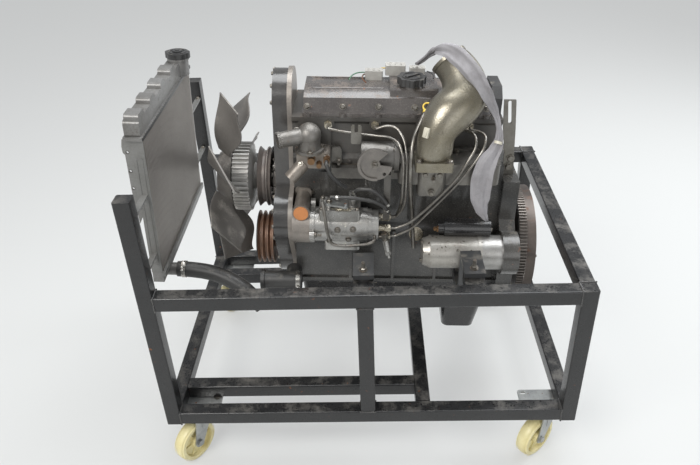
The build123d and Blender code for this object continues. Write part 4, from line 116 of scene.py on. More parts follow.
class Way(Enum):
    """Directions in the engine frame: along the crank, across it, and up."""

    FRONT = (-1.0, 0.0, 0.0)
    REAR = (1.0, 0.0, 0.0)
    NEAR = (0.0, -1.0, 0.0)
    FAR = (0.0, 1.0, 0.0)
    UP = (0.0, 0.0, 1.0)
    DOWN = (0.0, 0.0, -1.0)


SIDES = ((-1, Way.FAR), (1, Way.NEAR))


def engine_point(a: float, b: float, c: float) -> Vector:
    """Place (a, b, c), mm along the crank, to the far side and up, in the object frame."""
    return (ENGINE_ORIGIN + ENGINE_AXES @ Vector((a, b, c))) * MM


def engine_way(way: Union[Way, Triple]) -> Vector:
    """Turn a direction of the engine frame into the object frame."""
    numbers = way.value if isinstance(way, Way) else way
    return (ENGINE_AXES @ Vector(numbers)).normalized()


def radiator_point(w: float, v: float, n: float) -> Vector:
    """Place (w, v, n), mm across the core, up it and out of it, in the object frame."""
    return (RADIATOR_ORIGIN + RADIATOR_AXES @ Vector((w, v, n))) * MM


def radiator_way(w: float, v: float, n: float) -> Vector:
    """Turn a direction of the radiator frame into the object frame."""
    return (RADIATOR_AXES @ Vector((w, v, n))).normalized()


def plain_point(x: float, y: float, z: float) -> Vector:
    """Place a point of the object frame."""
    return Vector((x, y, z)) * MM


def around(
    a: float, b: float, c: float, radius: float, angles: Iterable[float]
) -> List[Triple]:
    """Place points on a circle round an axis along the crank."""
    return [(a, b + radius * math.cos(angle), c + radius * math.sin(angle)) for angle in angles]


def sixths(first: float) -> List[float]:
    """Divide the circle into six."""
    return [math.pi * turn / 3 + first for turn in range(6)]


def heading(points: Sequence[Vector], index: int) -> Vector:
    """Read which way a line of points runs at one of them.

    Args:
        points: The line.
        index: Number of the point.

    Returns:
        The unit direction.
    """
    before = points[max(index - 1, 0)]
    after = points[min(index + 1, len(points) - 1)]
    return (after - before).normalized()


def run_length(points: Sequence[Vector]) -> float:
    """Add up a line's length."""
    return sum((after - before).length for before, after in zip(points, points[1:]))


def new_object(name: str, data: bpy.types.ID) -> bpy.types.Object:
    """Make an object at the origin and put it in the scene.

    Args:
        name: Its name.
        data: Its mesh, curve, light or camera.

    Returns:
        The object.
    """
    made = bpy.data.objects.new(name, data)
    bpy.context.scene.collection.objects.link(made)
    return made


# -------------------- nodes


class Wire:
    """A node socket that answers to arithmetic.

    Each operation adds one maths node and gives the wire out of it, so that a
    finish can be written as a formula.
    """

    def __init__(self, graph: "Graph", socket: bpy.types.NodeSocket) -> None:
        """Wrap an output socket."""
        self.graph = graph
        self.socket = socket

    def __add__(self, other: Value) -> "Wire":
        """Add a value."""
        return self.graph.maths("ADD", self, other)

    def __sub__(self, other: Value) -> "Wire":
        """Take a value away."""
        return self.graph.maths("SUBTRACT", self, other)

    def __rsub__(self, other: Value) -> "Wire":
        """Take this wire away from a value."""
        return self.graph.maths("SUBTRACT", other, self)

    def __mul__(self, other: Value) -> "Wire":
        """Multiply by a value."""
        return self.graph.maths("MULTIPLY", self, other)

    __radd__ = __add__
    __rmul__ = __mul__

    def clamp(self) -> "Wire":
        """Hold the value between 0 and 1."""
        return self.graph.maths("ADD", self, 0.0, clamp=True)

    def highest(self, other: Value) -> "Wire":
        """Take the larger of two values."""
        return self.graph.maths("MAXIMUM", self, other)

    def window(self, low: float, high: float) -> "Wire":
        """Stretch a range onto 0 to 1 and hold it there."""
        return ((self - low) * (1.0 / (high - low))).clamp()

    def mix(self, low: float, high: float) -> "Wire":
        """Run between two numbers as this wire runs from 0 to 1."""
        return self * (high - low) + low


class Graph:
    """Adds nodes to one node tree."""

    def __init__(self, tree: bpy.types.NodeTree) -> None:
        """Take the tree."""
        self.tree = tree

    def feed(self, socket: bpy.types.NodeSocket, value: Value) -> None:
        """Give an input socket its link or its value.

        Args:
            socket: The input.
            value: Wire or socket to link, or a plain value.
        """
        source = value.socket if isinstance(value, Wire) else value
        if isinstance(source, bpy.types.NodeSocket):
            self.tree.links.new(source, socket)
        else:
            socket.default_value = source

    def node(
        self,
        kind: str,
        settings: Optional[Dict[str, object]] = None,
        inputs: Optional[Dict[Union[str, int], Value]] = None,
    ) -> bpy.types.Node:
        """Add a node: its settings come first, then its sockets.

        Args:
            kind: Type of the node.
            settings: Properties by name.
            inputs: Links and values by the socket's name or place.

        Returns:
            The node.
        """
        node = self.tree.nodes.new(kind)
        for name, value in (settings or {}).items():
            setattr(node, name, value)
        for key, value in (inputs or {}).items():
            self.feed(node.inputs[key], value)
        return node

    def maths(self, operation: str, *operands: Value, clamp: bool = False) -> Wire:
        """Add a maths node.

        Args:
            operation: Its operation.
            *operands: Its inputs in order.
            clamp: Whether the result is held between 0 and 1.

        Returns:
            The wire out of it.
        """
        settings = {"operation": operation, "use_clamp": clamp}
        node = self.node("ShaderNodeMath", settings, dict(enumerate(operands)))
        return Wire(self, node.outputs[0])


class MaterialGraph(Graph):
    """The nodes of one new material."""

    def __init__(self, name: str) -> None:
        """Start the material with its Principled shader.

        Args:
            name: Name of the material.
        """
        self.material = bpy.data.materials.new(name)
        self.material.use_nodes = True
        super().__init__(self.material.node_tree)
        self.shader = self.tree.nodes["Principled BSDF"]

    def surface(self, name: str, value: Value) -> None:
        """Feed one input of the shader."""
        self.feed(self.shader.inputs[name], value)

    def place(self) -> bpy.types.NodeSocket:
        """Read the place on the piece."""
        return self.node("ShaderNodeTexCoord").outputs["Object"]

    def stretched(self, vector: bpy.types.NodeSocket) -> bpy.types.NodeSocket:
        """Squeeze the vertical coordinate, so that noise runs in streaks."""
        node = self.node("ShaderNodeVectorMath", {"operation": "MULTIPLY"}, {0: vector, 1: STREAK})
        return node.outputs[0]

    def upward(self) -> Wire:
        """Read how far the surface looks up."""
        normal = self.node("ShaderNodeNewGeometry").outputs["Normal"]
        return Wire(self, self.node("ShaderNodeSeparateXYZ", inputs={0: normal}).outputs["Z"])

    def noise(
        self, vector: bpy.types.NodeSocket, scale: float, detail: float, seed: float
    ) -> Wire:
        """Add a noise texture.

        Args:
            vector: Coordinates the noise is read at.
            scale: Patches per metre.
            detail: Number of finer octaves.
            seed: Number that tells two noises apart.

        Returns:
            The wire with the noise from 0 to 1.
        """
        inputs = {
            "Vector": vector, "Scale": scale, "Detail": detail,
            "Roughness": NOISE_ROUGHNESS, "W": seed * SEED_STEP,
        }
        node = self.node("ShaderNodeTexNoise", {"noise_dimensions": "4D"}, inputs)
        return Wire(self, node.outputs[0])

    def mix(
        self,
        factor: Wire,
        low: Union[bpy.types.NodeSocket, Triple],
        high: Union[bpy.types.NodeSocket, Triple],
    ) -> bpy.types.NodeSocket:
        """Mix two colours.

        Args:
            factor: Share of the second colour.
            low: First colour, a socket or three numbers.
            high: Second colour, a socket or three numbers.

        Returns:
            The socket with the mixed colour.
        """
        first, second = (
            colour if isinstance(colour, bpy.types.NodeSocket) else (*colour, 1.0)
            for colour in (low, high)
        )
        inputs = {"Factor": factor, 6: first, 7: second}
        return self.node("ShaderNodeMix", {"data_type": "RGBA"}, inputs).outputs[2]

    def bump(self, height: Wire, strength: float, distance: float) -> None:
        """Raise the surface by a height."""
        inputs = {"Strength": strength, "Distance": distance, "Height": height}
        self.surface("Normal", self.node("ShaderNodeBump", inputs=inputs).outputs["Normal"])


# -------------------- finishes


@dataclass(frozen=True)
class Finish:
    """A surface in layers: two tones of its own, then what has settled on it, thicker on upward
    faces; on the stand's paint that lighter top is partly painted top light.

    Colours are linear RGB. Scales are patches per metre.
    """

    base: Triple
    shade: Triple
    stain: Triple = (0.30, 0.26, 0.20)
    stain_share: float = 0.25
    upward: float = 0.35
    scale: float = 9.0
    grain: float = 260.0
    rough: Tuple[float, float] = (0.38, 0.7)
    metal: float = 0.0
    relief: float = 0.25
    coat: float = 0.0
    streaks: float = 0.0
    spots: Optional[Triple] = None
    spot_share: float = 0.12
    spot_scale: float = 70.0


DUST = (0.36, 0.33, 0.27)
RUST = (0.17, 0.062, 0.024)
OIL = (0.016, 0.014, 0.012)
CRUST = (0.62, 0.60, 0.53)

FINISHES: Dict[str, Finish] = {
    # Strong upward stain: partly dust, partly painted top light that makes the rails' tops lighter
    # than their sides.
    "stand_paint": Finish((0.0105, 0.0107, 0.0112), (0.019, 0.019, 0.0195), (0.125, 0.117, 0.105),
        0.12, 0.75, rough=(0.3, 0.6), relief=0.16, coat=0.18, streaks=0.25, spots=RUST,
        spot_share=0.02),
    "zinc_steel": Finish((0.46, 0.47, 0.46), (0.30, 0.31, 0.31), DUST, 0.24, rough=(0.34, 0.66),
        metal=0.85, scale=26.0, relief=0.14, spots=RUST, spot_share=0.04),
    "cream_nylon": Finish((0.80, 0.73, 0.42), (0.68, 0.58, 0.28), (0.22, 0.19, 0.13), 0.26, 0.2,
        rough=(0.36, 0.7), relief=0.12, scale=18.0),
    "block_paint": Finish((0.028, 0.028, 0.027), (0.076, 0.072, 0.066), (0.203, 0.177, 0.140),
        0.22, 0.4, rough=(0.25, 0.66), relief=0.55, grain=420.0, coat=0.5, streaks=0.5, spots=RUST,
        spot_share=0.03),
    "head_iron": Finish((0.052, 0.050, 0.047), (0.088, 0.080, 0.070), (0.19, 0.165, 0.13), 0.22,
        0.4, rough=(0.34, 0.72), relief=0.45, grain=380.0, coat=0.2, spots=RUST, spot_share=0.04,
        streaks=0.35),
    "cover_paint": Finish((0.060, 0.054, 0.052), (0.108, 0.097, 0.089), (0.230, 0.182, 0.147),
        0.27, 0.45, rough=(0.26, 0.62), relief=0.22, coat=0.5, scale=12.0,
        spots=(0.218, 0.101, 0.060), spot_share=0.035, spot_scale=46.0),
    "black_plastic": Finish((0.030, 0.030, 0.031), (0.052, 0.051, 0.050), DUST, 0.2, 0.45,
        rough=(0.36, 0.68), relief=0.2),
    "case_paint": Finish((0.034, 0.033, 0.033), (0.070, 0.066, 0.062), (0.22, 0.195, 0.165), 0.18,
        0.3, rough=(0.2, 0.58), relief=0.28, coat=0.5, streaks=0.5, scale=14.0),
    "case_plate_paint": Finish((0.196, 0.180, 0.165), (0.312, 0.278, 0.244), (0.435, 0.392, 0.319),
        0.24, 0.4, rough=(0.32, 0.7), metal=0.35, relief=0.3, streaks=0.45),
    "pan_paint": Finish((0.013, 0.013, 0.014), (0.024, 0.023, 0.023), (0.072, 0.064, 0.053), 0.18,
        0.4, rough=(0.25, 0.62), relief=0.16, coat=0.4, streaks=0.4),
    "machined_steel": Finish((0.52, 0.51, 0.49), (0.36, 0.35, 0.33), RUST, 0.22, 0.1,
        rough=(0.26, 0.6), metal=0.95, scale=22.0, relief=0.1),
    "pulley_iron": Finish((0.297, 0.166, 0.104), (0.176, 0.115, 0.085), (0.108, 0.090, 0.081),
        0.32, 0.1, rough=(0.44, 0.8), metal=0.25, relief=0.35, scale=22.0, streaks=0.2),
    "flywheel_iron": Finish((0.078, 0.065, 0.057), (0.135, 0.113, 0.099), RUST, 0.36, 0.1,
        rough=(0.4, 0.78), metal=0.5, relief=0.25, scale=16.0, streaks=0.3),
    "gear_steel": Finish((0.125, 0.112, 0.103), (0.205, 0.185, 0.167), RUST, 0.32, 0.1,
        rough=(0.36, 0.72), metal=0.7, scale=30.0, relief=0.2),
    "rusty_pulley": Finish((0.117, 0.105, 0.098), (0.195, 0.165, 0.147), RUST, 0.22, 0.1,
        rough=(0.42, 0.78), metal=0.3, relief=0.3, scale=22.0),
    "clutch_aluminium": Finish((0.46, 0.452, 0.435), (0.33, 0.32, 0.30), (0.19, 0.17, 0.145), 0.3,
        0.1, rough=(0.42, 0.74), metal=0.45, relief=0.35, scale=20.0),
    "fan_plastic": Finish((0.112, 0.105, 0.098), (0.175, 0.164, 0.151), (0.38, 0.355, 0.32), 0.32,
        0.45, rough=(0.32, 0.66), relief=0.2, scale=8.0, streaks=0.35),
    "brown_casting": Finish((0.18, 0.155, 0.132), (0.29, 0.265, 0.235), (0.115, 0.08, 0.056), 0.3,
        0.3, rough=(0.42, 0.76), metal=0.5, relief=0.5, grain=360.0, scale=20.0),
    "crusted_casting": Finish((0.215, 0.207, 0.195), (0.135, 0.125, 0.112), (0.40, 0.385, 0.345),
        0.26, 0.3, rough=(0.42, 0.84), metal=0.6, relief=0.65, grain=340.0, scale=24.0,
        spots=(0.15, 0.088, 0.055), spot_share=0.07),
    "sender_brass": Finish((0.23, 0.135, 0.066), (0.155, 0.092, 0.052), (0.085, 0.058, 0.04), 0.28,
        rough=(0.34, 0.7), metal=0.8, scale=60.0),
    "orange_plug": Finish((0.56, 0.225, 0.078), (0.46, 0.185, 0.07), (0.20, 0.13, 0.085), 0.2,
        rough=(0.4, 0.66), scale=40.0, relief=0.1),
    "pump_aluminium": Finish((0.48, 0.475, 0.46), (0.31, 0.30, 0.28), (0.115, 0.088, 0.06), 0.32,
        0.2, rough=(0.3, 0.72), metal=0.85, relief=0.45, grain=360.0, scale=24.0, spots=CRUST,
        spot_share=0.05),
    "fitting_steel": Finish((0.46, 0.43, 0.36), (0.30, 0.26, 0.19), (0.12, 0.075, 0.045), 0.24,
        rough=(0.28, 0.66), metal=0.9, scale=60.0, relief=0.15),
    "pipe_steel": Finish((0.28, 0.27, 0.25), (0.17, 0.155, 0.135), (0.11, 0.062, 0.036), 0.3,
        rough=(0.3, 0.66), metal=0.85, scale=44.0, relief=0.15),
    "hose_rubber": Finish((0.026, 0.026, 0.026), (0.048, 0.047, 0.045), (0.17, 0.16, 0.14), 0.26,
        0.45, rough=(0.42, 0.76), relief=0.3, scale=26.0, grain=520.0),
    "intake_casting": Finish((0.125, 0.119, 0.110), (0.215, 0.204, 0.184), (0.070, 0.056, 0.041),
        0.3, 0.25, rough=(0.36, 0.74), metal=0.6, relief=0.5, grain=360.0, scale=18.0,
        streaks=0.3),
    "elbow_casting": Finish((0.297, 0.280, 0.237), (0.193, 0.172, 0.123), (0.074, 0.063, 0.043),
        0.34, 0.1, rough=(0.3, 0.64), metal=0.78, relief=0.45, grain=300.0, scale=11.0,
        streaks=0.35),
    "bright_plate": Finish((0.215, 0.206, 0.187), (0.142, 0.132, 0.112), (0.075, 0.060, 0.044),
        0.26, 0.1, rough=(0.32, 0.66), metal=0.7, scale=20.0, relief=0.2),
    "throttle_casting": Finish((0.140, 0.135, 0.127), (0.084, 0.078, 0.069), (0.048, 0.038, 0.028),
        0.3, 0.2, rough=(0.34, 0.72), metal=0.7, relief=0.4, scale=26.0),
    "brown_quadrant": Finish((0.160, 0.150, 0.140), (0.235, 0.217, 0.198), (0.065, 0.053, 0.044),
        0.28, 0.1, rough=(0.34, 0.66), metal=0.65, scale=40.0, relief=0.25),
    "starter_paint": Finish((0.43, 0.415, 0.385), (0.28, 0.262, 0.232), (0.13, 0.10, 0.07), 0.27,
        0.2, rough=(0.36, 0.7), metal=0.6, relief=0.2, scale=18.0, streaks=0.35,
        spots=(0.055, 0.044, 0.034), spot_share=0.10, spot_scale=95.0),
    "starter_casting": Finish((0.46, 0.455, 0.445), (0.31, 0.302, 0.285), (0.13, 0.105, 0.078),
        0.28, 0.2, rough=(0.36, 0.7), metal=0.7, relief=0.4, grain=360.0, scale=22.0),
    "exhaust_iron": Finish((0.12, 0.060, 0.036), (0.20, 0.105, 0.062), (0.075, 0.058, 0.050), 0.34,
        0.3, rough=(0.55, 0.86), metal=0.25, relief=0.6, grain=340.0, scale=16.0),
    "yellow_ring": Finish((0.86, 0.62, 0.10), (0.70, 0.46, 0.07), (0.24, 0.17, 0.06), 0.18,
        rough=(0.32, 0.6), scale=60.0, relief=0.1),
    "arm_paint": Finish((0.030, 0.031, 0.032), (0.050, 0.051, 0.052), (0.15, 0.135, 0.11), 0.24,
        0.5, rough=(0.34, 0.66), relief=0.2, coat=0.25, spots=RUST, spot_share=0.03),
    "tank_aluminium": Finish((0.225, 0.222, 0.218), (0.135, 0.130, 0.122), (0.075, 0.064, 0.052),
        0.36, 0.15, rough=(0.36, 0.72), metal=0.3, relief=0.18, scale=12.0, streaks=0.45),
    "cap_black": Finish((0.028, 0.028, 0.029), (0.050, 0.050, 0.050), DUST, 0.2, 0.5,
        rough=(0.3, 0.62), relief=0.15, scale=30.0),
    "frame_steel": Finish((0.225, 0.225, 0.218), (0.155, 0.152, 0.143), (0.105, 0.083, 0.060),
        0.28, 0.2, rough=(0.36, 0.7), metal=0.4, relief=0.15, scale=12.0, streaks=0.45, spots=RUST,
        spot_share=0.03),
    "grey_plug": Finish((0.42, 0.41, 0.38), (0.31, 0.30, 0.28), (0.14, 0.12, 0.09), 0.24,
        rough=(0.4, 0.7), scale=46.0, relief=0.12),
    "sleeve_cloth": Finish((0.325, 0.317, 0.332), (0.205, 0.197, 0.204), (0.105, 0.092, 0.083),
        0.26, 0.1, rough=(0.72, 0.9), relief=0.8, grain=900.0, scale=22.0, streaks=0.3),
    "screw_steel": Finish((0.25, 0.238, 0.215), (0.165, 0.150, 0.128), RUST, 0.3,
        rough=(0.34, 0.7), metal=0.85, scale=90.0, relief=0.14),
    "dark_screw": Finish((0.105, 0.100, 0.094), (0.17, 0.155, 0.14), RUST, 0.28, rough=(0.34, 0.7),
        metal=0.7, scale=90.0, relief=0.15),
    "clamp_steel": Finish((0.56, 0.55, 0.52), (0.38, 0.36, 0.33), (0.15, 0.09, 0.05), 0.22,
        rough=(0.24, 0.58), metal=0.95, scale=60.0, relief=0.1),
    "gasket": Finish((0.15, 0.13, 0.10), (0.085, 0.072, 0.06), OIL, 0.3, rough=(0.6, 0.85),
        scale=40.0),
    "core_tube": Finish((0.275, 0.261, 0.255), (0.362, 0.345, 0.339), (0.450, 0.413, 0.389), 0.3,
        0.1, rough=(0.5, 0.82), metal=0.2, scale=14.0, grain=520.0, relief=0.4),
    "weld": Finish((0.030, 0.030, 0.031), (0.058, 0.056, 0.052), RUST, 0.2, rough=(0.34, 0.6),
        coat=0.2, scale=60.0, relief=0.3),
    "wire_black": Finish((0.024, 0.024, 0.025), (0.042, 0.042, 0.043), DUST, 0.2,
        rough=(0.36, 0.6), scale=70.0),
    "wire_brown": Finish((0.14, 0.060, 0.030), (0.10, 0.045, 0.026), OIL, 0.2, rough=(0.34, 0.6),
        scale=70.0),
    "wire_green": Finish((0.05, 0.15, 0.075), (0.035, 0.10, 0.055), OIL, 0.2, rough=(0.34, 0.6),
        scale=70.0),
    "wire_yellow": Finish((0.60, 0.42, 0.09), (0.42, 0.29, 0.07), OIL, 0.2, rough=(0.34, 0.6),
        scale=70.0),
    "pale_plastic": Finish((0.62, 0.59, 0.49), (0.48, 0.45, 0.37), (0.19, 0.16, 0.12), 0.2,
        rough=(0.36, 0.62), scale=50.0, relief=0.12),
    # Near-black and glossy; used only for the disc of painted shade in the hose mouth.
    "grease": Finish((0.018, 0.016, 0.014), (0.040, 0.035, 0.030), (0.09, 0.078, 0.062), 0.3,
        rough=(0.22, 0.6), coat=0.5, scale=60.0, relief=0.5),
}


class FinishBook:
    """Builds one material per finish and keeps it for the next caller."""

    def __init__(self) -> None:
        """Start with the radiator core's material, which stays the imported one."""
        self._made: Dict[str, bpy.types.Material] = {
            CORE_FINISH: bpy.data.materials[CORE_FINISH]
        }

    def material(self, name: str) -> bpy.types.Material:
        """Give the material of a finish, built on first use.

        Args:
            name: Name of the finish.

        Returns:
            The material.
        """
        if name not in self._made:
            self._made[name] = self._layered(name, FINISHES[name])
        return self._made[name]

    @staticmethod
    def _layered(name: str, finish: Finish) -> bpy.types.Material:
        """Wire a finish's layers.

        Args:
            name: Name of the material.
            finish: Its layers.

        Returns:
            The new material.
        """
        graph = MaterialGraph(name)
        place = graph.place()
        seed = sum(ord(letter) for letter in name) % 97
        broad = graph.noise(place, finish.scale, 5.0, seed)
        cloud = graph.noise(place, finish.scale * 2.7, 6.0, seed + 11)
        grain = graph.noise(place, finish.grain, 3.0, seed + 23)
        mottle = (broad * 0.7 + grain * 0.3).window(0.38, 0.64)
        lift = graph.upward().clamp()

        colour = graph.mix(mottle, finish.base, finish.shade)
        # Stain cover, thicker on upward faces: settled dust, and on the stand's paint also painted
        # top light.
        cover = (
            cloud * 0.72 + grain * 0.28 + lift * finish.upward * 0.3
            - (0.78 - finish.stain_share * 0.56)
        ) * 5.5
        if finish.streaks:
            run = graph.noise(graph.stretched(place), 34.0, 3.0, seed + 31)
            cover = cover + run.window(0.52, 0.74) * finish.streaks * (mottle * 0.6 + 0.4)
        cover = cover.clamp()
        colour = graph.mix(cover * 0.86, colour, finish.stain)
        if finish.spots is not None:
            dots = graph.noise(place, finish.spot_scale, 4.0, seed + 47)
            spotted = (dots + broad * 0.3 - (0.86 - finish.spot_share)).window(0.0, 0.05)
            colour = graph.mix(spotted, colour, finish.spots)
            cover = cover.highest(spotted)

        graph.surface("Base Color", colour)
        rough = cover.mix(*finish.rough) + (grain - 0.5) * 0.22
        graph.surface("Roughness", rough.clamp())
        if finish.metal:
            graph.surface("Metallic", cover.mix(finish.metal, finish.metal * 0.15).clamp())
        if finish.coat:
            graph.surface("Coat Roughness", COAT_ROUGHNESS)
            graph.surface("Coat Weight", cover.mix(finish.coat, 0.0).clamp())
        graph.bump(grain * 0.75 + cloud * 0.25 + cover * 0.12, finish.relief, GRAIN_HEIGHT)
        return graph.material


# -------------------- geometry


class Surface:
    """Ray casts on one or more CAD nodes."""

    def __init__(self, *nodes: str) -> None:
        """Gather the nodes' triangles.

        Args:
            *nodes: Names of the CAD nodes to cast on.
        """
        points: List[Vector] = []
        faces: List[Tuple[int, ...]] = []
        for name in nodes:
            mesh = frame["nodes"][name].data
            start = len(points)
            points.extend(vertex.co.copy() for vertex in mesh.vertices)
            faces.extend(
                tuple(index + start for index in face.vertices) for face in mesh.polygons
            )
        self._tree = BVHTree.FromPolygons(points, faces)

    def seat(self, start: Vector, toward: Vector, reach: float = 0.25) -> Optional["Seat"]:
        """Find where a straight line first meets the surface.

        Args:
            start: Point the line starts from, in metres.
            toward: Direction it runs in.
            reach: Longest run, in metres.

        Returns:
            The seat there, or None where nothing is met.
        """
        point, normal, _, _ = self._tree.ray_cast(start, toward.normalized(), reach)
        if point is None:
            return None
        if normal.dot(toward) > 0:
            normal = -normal
        return Seat(point, normal.normalized())

    def seats(self, starts: Iterable[Triple], way: Way, reach: float) -> List[Optional["Seat"]]:
        """Find the seats of a row of lines in the engine frame."""
        toward = engine_way(way)
        return [self.seat(engine_point(*start), toward, reach) for start in starts]


@dataclass(frozen=True)
class Seat:
    """A place on a surface, with the direction that leads away from it."""

    point: Vector
    normal: Vector


@dataclass(frozen=True)
class Fastener:
    """Sizes of a screw, nut or rivet, in mm."""

    head_r: float = 6.5
    head_h: float = 5.0
    sides: int = 6
    washer_r: float = 8.5
    washer_h: float = 1.4
    tip_r: float = 0.01
    tip_h: float = 0.01


HEX_M8 = Fastener()
HEX_M6 = Fastener(5.0, 4.0, 6, 6.6, 1.2)
HEX_M10 = Fastener(9.0, 6.5, 6, 11.5, 1.8)
NUT_M8 = Fastener(7.0, 6.0, 6, 8.8, 1.4, 3.8, 12.0)
NUT_M10 = Fastener(9.0, 7.5, 6, 11.0, 1.6, 4.8, 15.0)
SOCKET = Fastener(5.6, 5.0, 16, 6.2, 0.5)


class GeometryGraph(Graph):
    """The nodes of one new Geometry Nodes group."""

    def __init__(self, name: str, **kinds: str) -> None:
        """Start the group with its sockets.

        Args:
            name: Name of the group.
            **kinds: Types of its further inputs by name.
        """
        super().__init__(bpy.data.node_groups.new(name, "GeometryNodeTree"))
        self._socket("Geometry", "Geometry", "OUTPUT")
        self._socket("Geometry", "Geometry")
        self.keys = {key: self._socket(key, kind) for key, kind in kinds.items()}
        self.entry = self.node("NodeGroupInput").outputs

    def _socket(self, name: str, kind: str, in_out: str = "INPUT") -> str:
        """Add a socket to the group."""
        made = self.tree.interface.new_socket(
            name=name, in_out=in_out, socket_type=f"NodeSocket{kind}"
        )
        return made.identifier

    def close(self, shape: bpy.types.NodeSocket) -> None:
        """Lead a geometry out of the group."""
        self.node("NodeGroupOutput", inputs={"Geometry": shape})

    def set_on_seats(self, shape: bpy.types.NodeSocket, spin: float = 0.0) -> None:
        """Set a shape on every seat, realise it and give it its material.

        Args:
            shape: Geometry of one copy.
            spin: Largest random turn about the seat's direction, in radians.
        """
        aim = self.node(
            "GeometryNodeInputNamedAttribute", {"data_type": "FLOAT_VECTOR"}, {"Name": "aim"}
        )
        align = self.node(
            "FunctionNodeAlignRotationToVector", {"axis": "Z"},
            {"Vector": aim.outputs["Attribute"]},
        )
        place = self.node(
            "GeometryNodeInstanceOnPoints",
            inputs={
                "Points": self.entry["Geometry"], "Instance": shape,
                "Rotation": align.outputs["Rotation"],
            },
        )
        turn = self.node(
            "GeometryNodeRotateInstances", inputs={"Instances": place.outputs["Instances"]}
        )
        if spin:
            chance = self.node("FunctionNodeRandomValue", {"data_type": "FLOAT"}, {3: spin})
            gather = self.node("ShaderNodeCombineXYZ", inputs={"Z": chance.outputs[1]})
            self.feed(turn.inputs["Rotation"], gather.outputs[0])
        realize = self.node(
            "GeometryNodeRealizeInstances", inputs={"Geometry": turn.outputs["Instances"]}
        )
        paint = self.node(
            "GeometryNodeSetMaterial",
            inputs={"Geometry": realize.outputs["Geometry"], "Material": self.entry["Material"]},
        )
        self.close(paint.outputs["Geometry"])


